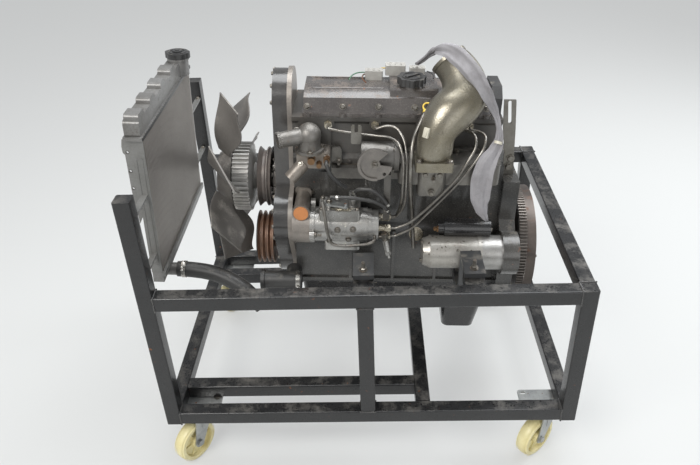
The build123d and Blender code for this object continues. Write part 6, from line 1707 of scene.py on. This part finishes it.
@dataclass
class PumpTrim(Assembly):
    """Screws and small fittings of the injection pump."""

    mid_b: float = -152.0
    mid_c: float = 140.0

    def build(self) -> None:
        """Make the pump's screws, its spring, the lever's nut and the stop valve."""
        pump = Surface("injection_pump", "timing_plate")
        lids = [
            (a, b, 260.0) for a in (77.0, 169.0) for b in (self.mid_b - 29.0, self.mid_b + 29.0)
        ]
        ears = around(100.0, self.mid_b, self.mid_c, 56.0, map(math.radians, (60.0, 180.0, 300.0)))
        quarters = map(math.radians, (30.0, 120.0, 210.0, 300.0))
        heads = around(262.0, self.mid_b, self.mid_c, 33.0, quarters)
        plugs = ((118.0, 150.0), (146.0, 120.0), (96.0, 112.0), (158.0, 152.0))
        sides = [(a, -240.0, c) for a, c in plugs]
        for name, starts, way, reach, kind in (
            ("pump_lid_screws", lids, Way.DOWN, 0.12, SOCKET),
            ("pump_flange_nuts", ears, Way.FRONT, 0.12, NUT_M8),
            ("pump_head_screws", heads, Way.FRONT, 0.12, SOCKET),
            ("pump_side_plugs", sides, Way.FAR, 0.2, HEX_M8),
        ):
            self.screws(name, pump.seats(starts, way, reach), kind, slot="fitting_steel")
        self._spring()
        lever = Surface("pump_lever", "injection_pump")
        seats = lever.seats([(96.0, -172.0, 280.0)], Way.DOWN, 0.15)
        kind = Fastener(6.5, 5.0, 6, 8.5, 1.2, 3.4, 5.0)
        self.screws("lever_nut", seats, kind, Body.PUMP_LEVER, slot="fitting_steel")
        self._stop_valve()

    def _stop_valve(self) -> None:
        """Hang the crusted stop valve under the pump's head."""
        steel, scale = Shaper(), Shaper()
        low, neck = engine_point(241.0, -190.5, 126.0), engine_point(243.0, -191.0, 118.0)
        waist, foot = engine_point(250.0, -193.0, 84.0), engine_point(252.0, -193.5, 74.0)
        steel.rod(engine_point(215.0, -178.0, 119.0), engine_point(240.0, -189.0, 126.0), 5.5)
        steel.rod(engine_point(239.0, -190.0, 138.0), low, 9.5, sides=6)
        steel.rod(low, neck, 6.5)
        scale.rod(neck, waist, 9.0, 7.5, 28)
        scale.rod(waist, foot, 9.5, 8.5, 6)
        scale.rod(foot, engine_point(254.0, -194.0, 64.0), 5.0)
        self.add(steel, "stop_valve", "screw_steel", "fitting_steel")
        self.add(scale, "stop_valve_body", "pump_aluminium", "pump_aluminium")

    def _spring(self) -> None:
        """Coil the return spring beside the governor cover."""
        points = []
        for step in range(160):
            angle = step * 2 * math.pi / 12
            base = engine_point(112.0 + step * 0.26, -193.0, 208.0)
            out = engine_way((0.0, math.cos(angle), math.sin(angle)))
            points.append(base + out * 0.0042)
        end = engine_way(Way.REAR) * 0.010
        shape = Shaper().tube([points[0] - end, *points, points[-1] + end], 0.9, 6)
        self.add(shape, "governor_spring", "fitting_steel", "fitting_steel")


@dataclass
class IntakeTrim(Assembly):
    """Screws of the intake side, the pale clip and the elbow's worn lip."""

    def build(self) -> None:
        """Make the rows of screws, then the clip and the lip."""
        ports = [
            (a + da, -200.0, c) for a in PORTS for da, c in ((-27.0, 334.0), (27.0, 302.0))
        ]
        elbow = [
            (353.0 + da, -182.0 + db, 420.0)
            for da, db in ((-37.0, -30.0), (37.0, -30.0), (-37.0, 30.0), (37.0, 30.0))
        ]
        shield = [(a, -240.0, c) for a, c in ((352.0, 264.0), (334.0, 314.0), (370.0, 314.0))]
        for name, surface, starts, way, reach, kind in (
            ("manifold_nuts", Surface("intake_manifold", "cylinder_head"), ports, Way.FAR, 0.12,
             NUT_M8),
            ("elbow_screws", Surface("intake_elbow"), elbow, Way.DOWN, 0.12, HEX_M8),
            ("shield_screws", Surface("blanking_plate"), shield, Way.FAR, 0.1, HEX_M8),
        ):
            self.screws(name, surface.seats(starts, way, reach), kind, slot="machined_steel")
        seats = Surface("throttle_quadrant").seats([(210.0, -240.0, 336.0)], Way.FAR, 0.1)
        kind = Fastener(8.0, 6.0, 6, 11.0, 1.6, 4.4, 6.0)
        self.screws("quadrant_nut", seats, kind, Body.QUADRANT, slot="fitting_steel")
        self._clip()
        way = engine_way((-0.7, 0.6, 0.75))
        middle = engine_point(388.0, -62.0, 555.0) + way * 0.0068
        lip = Shaper().ring(middle, way, 39.4, 1.2, 5.6, 56)
        self.add(lip, "elbow_lip", "bright_plate", "elbow_casting")
        angles = map(math.radians, (40.0, 130.0, 220.0, 310.0))
        ring = around(236.0, -140.0, 336.0, 39.0, angles)
        seats = Surface("throttle_body").seats(ring, Way.REAR, 0.05)
        small = Fastener(3.2, 3.0, 12, 3.6, 0.4)
        self.screws("throttle_screws", seats, small, slot="fitting_steel")

    def _clip(self) -> None:
        """Make the pale square clip that sits beside the elbow's foot."""
        elbow = Surface("intake_elbow", "throttle_body", "intake_manifold")
        seat = elbow.seat(engine_point(330.0, -260.0, 430.0), engine_way(Way.FAR), 0.2)
        if seat is None:
            return
        out = seat.normal
        side = engine_way(Way.UP).cross(out)
        middle = seat.point + out * 0.003
        shape = Shaper().box(middle, (15.0, 24.0, 7.0), out, side, 1.4)
        shape.box(middle + out * 0.004, (8.0, 14.0, 4.0), out, side, 0.8)
        self.add(shape, "pale_clip", "pale_plastic", "grey_plug")


@dataclass
class StarterTrim(Assembly):
    """Bolts, terminals, seams and solenoid can of the starter."""

    mid_b: float = -178.0
    mid_c: float = 75.0

    def build(self) -> None:
        """Make the rows of screws, the terminals, the can and the seams."""
        starter = Surface("starter_motor", "starter_housing")
        caps = around(310.0, self.mid_b, self.mid_c, 33.0, map(math.radians, (100.0, 280.0)))
        nuts = [
            (470.0, self.mid_b + db, self.mid_c + dc)
            for db, dc in ((-52.0, -20.0), (-10.0, -52.0), (20.0, 50.0))
        ]
        ends = [(600.0, self.mid_b + db, self.mid_c + 62.0) for db in (-14.0, 14.0)]
        for name, starts, way, reach, kind, slot in (
            ("starter_bolts", caps, Way.REAR, 0.1, HEX_M6, "starter_casting"),
            ("starter_nuts", nuts, Way.REAR, 0.12, NUT_M10, "machined_steel"),
            ("solenoid_screws", ends, Way.FRONT, 0.12, SOCKET, "starter_casting"),
        ):
            self.screws(name, starter.seats(starts, way, reach), kind, slot=slot)
        shape = Shaper()
        studs = starter.seats([(340.0, -180.0, 137.0), (340.0, -163.0, 137.0)], Way.REAR, 0.12)
        for seat, height in zip(studs, (16.0, 13.0)):
            if seat is None:
                continue
            foot, out = seat.point, seat.normal
            shape.rod(foot, foot + out * height * MM, 3.6, sides=14)
            shape.rod(
                foot + out * (height - 7.0) * MM, foot + out * (height - 2.0) * MM, 6.5, sides=6
            )
            shape.rod(foot, foot + out * 0.004, 9.0, sides=6)
        self.add(shape, "starter_terminals", "sender_brass", "fitting_steel")
        self._can()
        self._seams()

    def _can(self) -> None:
        """Cover the solenoid with its dark painted can."""
        b, c = self.mid_b + 24.0, self.mid_c + 62.0
        step = engine_point(397.7, b, c)
        shape = Shaper().rod(step, engine_point(518.4, b, c), 24.4, sides=56)
        shape.rod(engine_point(381.8, b, c), step, 17.3, sides=40)
        self.add(shape, "solenoid_can", "pan_paint", "starter_paint")

    def _seams(self) -> None:
        """Lay the rolled seams round the starter's barrel."""
        rear = engine_way(Way.REAR)
        shape = Shaper()
        for a in (385.0, 474.0):
            shape.ring(engine_point(a, self.mid_b, self.mid_c), rear, 43.6, 2.4, 1.2, 56)
        self.add(shape, "starter_seams", "starter_paint", "starter_paint")


@dataclass
class ExhaustTrim(Assembly):
    """Nuts and gaskets of the exhaust side."""

    def build(self) -> None:
        """Make the nuts and the gaskets of the four ports."""
        near = engine_way(Way.NEAR)
        starts = []
        shape = Shaper()
        for a in PORTS:
            starts += [(a - 23.0, 150.0, 355.0), (a + 23.0, 150.0, 321.0)]
            shape.box(
                engine_point(a, 95.6, 338.0), (62.0, 54.0, 1.6), near, engine_way(Way.REAR)
            )
        seats = Surface("exhaust_manifold", "cylinder_head").seats(starts, Way.NEAR, 0.1)
        self.screws("exhaust_nuts", seats, NUT_M10, finish="dark_screw", slot="exhaust_iron")
        self.add(shape, "exhaust_gaskets", "gasket", "exhaust_iron")


@dataclass
class RadiatorTrim(Assembly):
    """Tubes of the core, presswork of the frame, clamps and the cap's marks."""

    left: float = -264.0
    right: float = 216.0
    plate_w: float = 3.0
    half_h: float = 186.0
    core_t: float = 28.0
    tube_pitch: float = 9.6

    def build(self) -> None:
        """Make the tubes, the pressings, the tabs, the clamp, the screws and the cap's ring."""
        self._tubes()
        self._channels()
        self._tank()
        self._outlet()
        self._hanger_screws()
        self._cap()

    def _tubes(self) -> None:
        """Set the flat tubes of the core, proud of its fins on both faces."""
        count = int((self.right - self.left) / self.tube_pitch)
        seats = []
        for k in range(1, count):
            w = self.left + k * self.tube_pitch
            for n in (0.1, -self.core_t - 0.1):
                seats.append(Seat(radiator_point(w, 0.0, n), radiator_way(0.0, 1.0, 0.0)))
        piece = self.shop.repeater.bars(
            "core_tubes", seats, (1.2, 1.2, 2 * self.half_h - 2.0), self.shop.finish("core_tube")
        )
        self.keep(piece, Body.STAND, "core_fins")

    def _channels(self) -> None:
        """Lay the beads and the rims of each side plate, and the core's dark edge."""
        out = radiator_way(0.0, 0.0, 1.0)
        up = radiator_way(0.0, 1.0, 0.0)
        across = Vector((0.0, 1.0, 0.0))
        beads, rims = Shaper(), Shaper()
        for w, way in ((self.left - self.plate_w, -across), (self.right + self.plate_w, across)):
            for n in (-7.0, -21.0):
                beads.box(
                    radiator_point(w, -12.0, n) + way * 0.0004, (300.0, 2.2, 1.4), way, up, 0.5
                )
            for v in (-162.0, 138.0):
                beads.box(
                    radiator_point(w, v, -14.0) + way * 0.0004, (2.2, 14.0, 1.4), way, up, 0.5
                )
            for v in (154.0, 105.0, 59.0):
                rims.ring(radiator_point(w, v, -39.0) + way * 0.0004, way, 3.2, 1.2, 1.0, 24)
            screw = radiator_point(w, 10.0, -33.0)
            rims.rod(screw - way * 0.001, screw + way * 0.005, 6.0)
        self.add(beads, "plate_beads", "frame_steel", "frame_steel")
        self.add(rims, "plate_rims", "dark_screw", "frame_steel")
        strip = Shaper()
        middle = (self.left + self.right) / 2
        strip.box(
            radiator_point(middle, self.half_h + 4.0, 2.6), (500.0, 8.0, 3.0), out, across, 0.8
        )
        self.add(strip, "core_edge", "black_plastic", "frame_steel")

    def _tank(self) -> None:
        """Lay the crimped tabs along the tank's foot."""
        out = radiator_way(0.0, 0.0, 1.0)
        seats = []
        for k in range(39):
            w = self.left - 5.0 + k * 12.7
            seats.append(Seat(radiator_point(w, self.half_h + 4.8, 2.9), out))
        piece = self.shop.repeater.bars(
            "tank_tabs", seats, (7.0, 7.0, 2.0), self.shop.finish("tank_aluminium")
        )
        self.keep(piece, Body.STAND, "tank_aluminium")

    def _outlet(self) -> None:
        """Clamp the lower hose on its outlet."""
        middle = radiator_point(-206.0, -218.0, 40.0)
        screw_way = Vector((0.0, -0.6, 1.0))
        self.clamp("lower_clamp", middle, radiator_way(0.0, 0.0, 1.0), 21.4, screw_way)

    def _hanger_screws(self) -> None:
        """Set the screws of the hangers on the tall posts."""
        hangers = Surface("radiator_frame")
        seats = []
        for z in (640.0, 810.0):
            for y in (-352.0, 352.0):
                x = -513.0 + (z - 772.0) * math.tan(LEAN) - 14.0
                seats.append(hangers.seat(plain_point(x, y, z + 40.0), DOWN, 0.08))
        self.screws("hanger_screws", seats, HEX_M6, slot="frame_steel")

    def _cap(self) -> None:
        """Press a ring and a boss into the top of the cap."""
        cap = Surface("radiator_cap")
        seat = cap.seat(radiator_point(150.0, 400.0, -8.0), radiator_way(0.0, -1.0, 0.0))
        if seat is not None:
            shape = Shaper()
            shape.ring(seat.point - seat.normal * 0.0032, seat.normal, 20.0, 1.4, 4.0, 40)
            shape.rod(seat.point, seat.point + seat.normal * 0.0016, 6.0)
            self.add(shape, "cap_pressing", "cap_black", "cap_black", Body.RADIATOR_CAP)


@dataclass
class FlywheelTrim(Assembly):
    """Clutch dowels and the turned edge of the flywheel."""

    def build(self) -> None:
        """Set the clutch dowels and lay the bright line round the rim."""
        starts = around(700.0, 0.0, 0.0, 146.0, map(math.radians, (44.0, 164.0, 284.0)))
        seats = Surface("flywheel").seats(starts, Way.FRONT, 0.1)
        dowel = Fastener(4.0, 6.0, 16, 4.4, 0.3)
        self.screws("clutch_dowels", seats, dowel, Body.CRANK, slot="machined_steel")
        middle = engine_point(640.0, 0.0, 0.0)
        shape = Shaper().ring(middle, engine_way(Way.FRONT), 160.3, 1.6, 0.5, 96)
        self.add(shape, "flywheel_score", "machined_steel", "flywheel_iron", Body.CRANK)


@dataclass
class HoseTrim(Assembly):
    """Clamps of the fuel hoses, and the lower radiator hose as a round curve."""

    route: Tuple[Triple, ...] = (
        (-503.3, -206.0, 553.1),
        (-473.6, -206.0, 551.4),
        (-416.0, -211.0, 544.0),
        (-381.0, -219.0, 534.0),
        (-347.0, -229.0, 519.0),
        (-316.0, -240.0, 499.0),
        (-280.0, -255.5, 459.0),
    )
    radius: float = 21.0

    def build(self) -> None:
        """Make the hose, its mouth with a dark disc of painted shade in its bore, and the small
        clamps.
        """
        points = [plain_point(*point) for point in self.route]
        hose = nurbs("lower_hose_visual", points, self.radius * MM)
        hose.data.materials.append(self.shop.finish("hose_rubber"))
        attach(hose, Body.STAND.value)
        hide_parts("lower_hose")
        line = smooth_line(points)
        way = heading(line, len(line) - 1)
        mouth = Shaper().ring(line[-1] + way * 0.0004, way, 15.6, 1.0, 5.0, 40)
        rim = self.add(mouth, "hose_mouth", "hose_rubber", "hose_rubber")
        # A near-black disc closes the hose's mouth: painted shade of the hollow bore, since the
        # curve's end is capped.
        dark = Shaper().rod(line[-1] - way * 0.001, line[-1] + way * 0.0003, 15.8)
        bore = self.add(dark, "hose_bore", "grease", "hose_rubber")
        self._fuel_clamps()

    def _fuel_clamps(self) -> None:
        """Set a spring clip near the ends of the fuel hoses."""
        places = (
            ((118.0, -198.6, 247.4), (1.0, -0.14, 0.08)),
            ((244.0, -193.8, 209.0), (0.5, 0.19, -0.86)),
            ((161.0, -182.0, 253.0), (0.42, -0.45, 0.84)),
            ((244.5, -194.4, 226.0), (0.5, 0.1, -0.85)),
        )
        shape = Shaper()
        for spot, way in places:
            shape.ring(engine_point(*spot), engine_way(way), 5.2, 6.0, 0.9, 24)
        self.add(shape, "fuel_clips", "clamp_steel", "fitting_steel")


@dataclass
class HarnessTrim(Assembly):
    """The flat cloth sleeve, the pale ring round it, and the plugs' wires."""

    route: Tuple[Triple, ...] = (
        (316.0, 34.0, 514.3), (329.0, 3.0, 535.0), (341.0, -32.0, 562.0),
        (354.0, -68.0, 586.0), (376.0, -102.0, 597.0), (402.0, -133.0, 586.0),
        (427.0, -157.0, 565.0), (450.0, -171.0, 537.0), (472.0, -170.0, 502.0),
        (491.0, -162.0, 469.0), (504.0, -160.0, 437.0), (511.0, -166.0, 405.0),
        (502.0, -180.0, 376.0), (484.0, -191.0, 352.0), (475.0, -196.0, 320.0),
        (473.0, -199.0, 286.0), (474.0, -202.0, 250.0), (481.0, -204.0, 216.0),
        (499.0, -202.0, 187.0),
    )
    width: float = 44.0
    widest: float = 26.5
    sides: int = 44
    profile: Tuple[Tuple[float, float], ...] = (
        (0.0, 5.0), (0.09, 6.0), (0.16, 9.0), (0.23, 16.5), (0.30, 22.0), (0.38, 21.0),
        (0.46, 17.0), (0.53, 11.5), (0.585, 7.0), (0.615, 6.5), (0.65, 9.5), (0.70, 16.0),
        (0.76, 23.5), (0.83, 26.5), (0.89, 24.5), (0.94, 16.5), (0.98, 8.0), (1.0, 3.5),
    )
    lies: Triple = (0.75, -0.45, 0.5)
    faces: Triple = (-0.1, -0.94, 0.34)

    def build(self) -> None:
        """Make the sleeve, the ring and the plug details."""
        points = [engine_point(*point) for point in self.route]
        line = smooth_line(points, steps=6)
        sleeve = self._strap(line)
        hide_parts("harness_sleeve")
        ring_at = min(line, key=lambda p: (p - engine_point(508.0, -172.0, 392.0)).length)
        way = heading(line, line.index(ring_at))
        band = Shaper().tube(
            [ring_at - way * 0.0035, ring_at + way * 0.0035], 10.5, 24, 0.8
        )
        ring = self.add(band, "sleeve_ring", "pale_plastic", "grey_plug")
        self._plugs()

    def _strap(self, line: Sequence[Vector]) -> bpy.types.Object:
        """Make the sleeve as a flattened tube with soft creases.

        Args:
            line: Its centreline, in metres.

        Returns:
            The sleeve.
        """
        rows: List[List[Vector]] = []
        run, total = 0.0, run_length(line)
        flat_way, front_way = engine_way(self.lies), engine_way(self.faces)
        for index, point in enumerate(line):
            way = heading(line, index)
            if index:
                run += (point - line[index - 1]).length
            share = run / total
            facing = way.cross(front_way).normalized()
            lying = (flat_way - way * flat_way.dot(way)).normalized()
            if lying.dot(facing) < 0:
                lying = -lying
            turned = 0.55 + 0.45 * self._ease(share, 0.50, 0.64)
            wide = (facing * turned + lying * (1.0 - turned)).normalized()
            deep = way.cross(wide)
            half = self._half_width(share)
            gather = 1.0 - half / self.widest
            half_w = half * MM
            half_t = (1.5 + 2.6 * gather) * min(1.0, half / 6.0) * MM
            fold = (2.0 + 2.2 * gather * (1.0 - gather)) * min(1.0, half / 12.0) * MM
            row = []
            for k in range(self.sides):
                angle = 2 * math.pi * k / self.sides
                edge = math.copysign(abs(math.cos(angle)) ** 0.8, math.cos(angle))
                wave = math.sin(4.6 * edge + 5.0 * share + 0.8 * math.sin(21.0 * share))
                wave += 0.40 * math.sin(10.3 * edge - 8.0 * share + 1.3)
                wave += 0.25 * math.sin(58.0 * share + 2.5 * edge)
                y = math.sin(angle) * half_t + fold * wave
                row.append(point + wide * (edge * half_w) + deep * y)
            rows.append(row)
        cloth = self.shop.finish("sleeve_cloth")
        sleeve = Shaper().skin(rows).done("harness_sleeve_visual", cloth, WHOLLY_SMOOTH)
        return self.keep(sleeve, Body.STAND, "sleeve_cloth")

    def _half_width(self, share: float) -> float:
        """Read the sleeve's half width from its profile.

        Args:
            share: Place along the line, from 0 to 1.

        Returns:
            Half its width there, in mm.
        """
        for (low, before), (high, after) in zip(self.profile, self.profile[1:]):
            if share <= high:
                return before + (after - before) * self._ease(share, low, high)
        return self.profile[-1][1]

    @staticmethod
    def _ease(share: float, low: float, high: float) -> float:
        """Rise smoothly from 0 to 1 between two places."""
        x = min(1.0, max(0.0, (share - low) / (high - low)))
        return x * x * (3 - 2 * x)

    def _plugs(self) -> None:
        """Make the latches of the plugs and the loose wires between them."""
        up = engine_way(Way.UP)
        rear = engine_way(Way.REAR)
        ribs = Shaper()
        for a, b, top, wide in ((206.0, 34.0, 498.0, 46.0), (262.0, 44.0, 510.0, 52.0),
                                (318.0, 36.0, 506.0, 40.0)):
            for k in range(3):
                ribs.box(
                    engine_point(a - wide * 0.28 + k * wide * 0.28, b, top + 0.6),
                    (3.0, 18.0, 2.6), up, rear, 0.6,
                )
        self.add(ribs, "plug_ribs", "grey_plug", "grey_plug")
        wires = (
            ("wire_brown", (182.0, 30.0, 487.0), (168.0, 6.0, 488.0), (186.0, -16.0, 480.5)),
            ("wire_green", (182.0, 38.0, 489.0), (150.0, 34.0, 492.0), (142.0, 4.0, 480.5)),
            ("wire_yellow", (236.0, 52.0, 496.0), (222.0, 66.0, 494.0), (200.0, 60.0, 478.0)),
            ("wire_black", (344.0, 36.0, 494.0), (362.0, 20.0, 496.0), (358.0, -6.0, 490.5)),
        )
        for finish, *spots in wires:
            line = smooth_line([engine_point(*spot) for spot in spots], steps=10)
            piece = Shaper().tube(line, 1.7, 8).done(finish, self.shop.finish(finish))
            self.keep(piece, Body.STAND, "grey_plug")


# -------------------- studio


@dataclass
class Studio:
    """Floor, soft light and the camera at the photograph's angle."""

    place: Triple = (0.02366, -1.69355, 1.60537)
    yaw: float = 2.38937
    pitch: float = 32.49557
    roll: float = -2.438
    lens: float = 35.247
    floor_half: float = 24.0
    glow_share: float = 0.5

    def build(self) -> None:
        """Make the camera, the floor, the lights and the world."""
        camera = self._camera()
        pieces = [camera, self._floor(), *self._lights()]
        self._world()
        scene = bpy.context.scene
        scene.camera = camera
        scene.view_settings.view_transform = "Standard"

    def _camera(self) -> bpy.types.Object:
        """Set the camera up.

        Returns:
            The camera object.
        """
        data = bpy.data.cameras.new("camera")
        data.sensor_width = 36.0
        data.lens = self.lens
        data.clip_end = 60.0
        camera = new_object("camera", data)
        pitch, roll = math.radians(self.pitch), math.radians(self.roll)
        turn = Matrix.Rotation(math.radians(self.yaw), 3, "Z")
        right = turn @ Vector((1.0, 0.0, 0.0))
        forward = turn @ Vector((0.0, math.cos(pitch), -math.sin(pitch)))
        up = turn @ Vector((0.0, math.sin(pitch), math.cos(pitch)))
        side = right * math.cos(roll) + up * math.sin(roll)
        top = up * math.cos(roll) - right * math.sin(roll)
        axes = Matrix((side, top, -forward)).transposed()
        camera.matrix_world = Matrix.Translation(Vector(self.place)) @ axes.to_4x4()
        return camera

    def _floor(self) -> bpy.types.Object:
        """Lay the plain pale floor.

        Returns:
            The floor object.
        """
        mesh = bpy.data.meshes.new("floor")
        half = self.floor_half
        mesh.from_pydata(
            [(-half, -half, 0.0), (half, -half, 0.0), (half, half, 0.0), (-half, half, 0.0)],
            [], [(0, 1, 2, 3)],
        )
        graph = MaterialGraph("floor")
        graph.surface("Base Color", (0.60, 0.61, 0.60, 1.0))
        graph.surface("Roughness", 0.85)
        rays = graph.node("ShaderNodeLightPath").outputs
        seen = Wire(graph, rays["Is Camera Ray"]) + Wire(graph, rays["Is Glossy Ray"])
        glow = graph.node("ShaderNodeEmission", inputs={"Color": (0.84, 0.85, 0.85, 1.0)})
        share = seen.clamp() * self.glow_share
        blend = graph.node(
            "ShaderNodeMixShader",
            inputs={0: share, 1: graph.shader.outputs[0], 2: glow.outputs[0]},
        )
        graph.feed(graph.tree.nodes["Material Output"].inputs["Surface"], blend.outputs[0])
        mesh.materials.append(graph.material)
        return new_object("floor", mesh)

    def _lights(self) -> List[bpy.types.Object]:
        """Hang the soft lights.

        Returns:
            The light objects.
        """
        plan = (
            ("key", (-1.7, -2.4, 3.1), (0.0, 0.0, 0.6), 104.0, 1.9, (1.0, 0.985, 0.96)),
            ("top", (0.5, 0.5, 3.4), (0.0, 0.0, 0.6), 95.0, 2.6, (0.96, 0.98, 1.0)),
            ("rim", (2.7, 1.2, 2.0), (0.1, 0.0, 0.7), 55.0, 1.4, (0.95, 0.975, 1.0)),
            ("fill", (1.3, -2.9, 1.2), (0.1, 0.0, 0.5), 16.0, 2.2, (1.0, 1.0, 1.0)),
        )
        lights = []
        for name, place, target, power, size, colour in plan:
            data = bpy.data.lights.new(name, "AREA")
            data.shape = "DISK"
            data.size = size
            data.energy = power
            data.color = colour
            light = new_object(name, data)
            turn = (Vector(target) - Vector(place)).to_track_quat("-Z", "Y").to_matrix()
            light.matrix_world = Matrix.Translation(Vector(place)) @ turn.to_4x4()
            lights.append(light)
        return lights

    @staticmethod
    def _world() -> None:
        """Light the surroundings evenly."""
        world = bpy.data.worlds.new("studio")
        world.use_nodes = True
        background = world.node_tree.nodes["Background"]
        background.inputs["Color"].default_value = (0.80, 0.82, 0.84, 1.0)
        background.inputs["Strength"].default_value = 0.46
        bpy.context.scene.world = world


class NodePainter:
    """Gives every CAD node its finish, and its smooth shading."""

    def __init__(self, shop: Workshop) -> None:
        """Read the record's slots.

        Args:
            shop: Workshop with the finishes.
        """
        self._shop = shop
        self._slot_of: Dict[str, str] = {
            entry["node"]: entry["material_slot"] for entry in frame["record"]["subparts"]
        }
        self._group = self._shading_group()

    def paint(self) -> None:
        """Put the finish and the shading on each node."""
        for name, node in frame["nodes"].items():
            slot = self._slot_of.get(name)
            if slot is None:
                LOG.warning("%s has no slot in the record", name)
                continue
            node.data.materials.clear()
            node.data.materials.append(self._shop.finish(slot))
            modifier = node.modifiers.new("shading", "NODES")
            modifier.node_group = self._group

    @staticmethod
    def _shading_group() -> bpy.types.NodeTree:
        """Build the group that merges loose triangles and shades shallow edges as one.

        Returns:
            The group.
        """
        group = GeometryGraph("merge_and_shade")
        merge = group.node(
            "GeometryNodeMergeByDistance",
            inputs={"Geometry": group.entry["Geometry"], "Distance": MERGE_DISTANCE},
        )
        faces = group.node(
            "GeometryNodeSetShadeSmooth", {"domain": "FACE"},
            {"Geometry": merge.outputs["Geometry"]},
        )
        angle = group.node("GeometryNodeInputMeshEdgeAngle").outputs["Unsigned Angle"]
        shallow = group.node(
            "FunctionNodeCompare", {"data_type": "FLOAT", "operation": "LESS_THAN"},
            {0: angle, 1: math.radians(SMOOTH_ANGLE)},
        )
        edges = group.node(
            "GeometryNodeSetShadeSmooth", {"domain": "EDGE"},
            {"Geometry": faces.outputs["Geometry"], "Shade Smooth": shallow.outputs["Result"]},
        )
        group.close(edges.outputs["Geometry"])
        return group.tree


def main() -> None:
    """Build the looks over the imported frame."""
    logging.basicConfig(level=logging.INFO, format="%(name)s: %(message)s")
    shop = Workshop()
    NodePainter(shop).paint()
    for kind in (
        StandTrim, WheelTrim, CaseTrim, CoolantTrim, CoverTrim, BlockTrim, PumpTrim, IntakeTrim,
        StarterTrim, ExhaustTrim, RadiatorTrim, FlywheelTrim, HoseTrim, HarnessTrim,
    ):
        kind(shop).build()
        LOG.info("%s is built", kind.__name__)
    Studio().build()


if __name__ == "__main__":
    main()
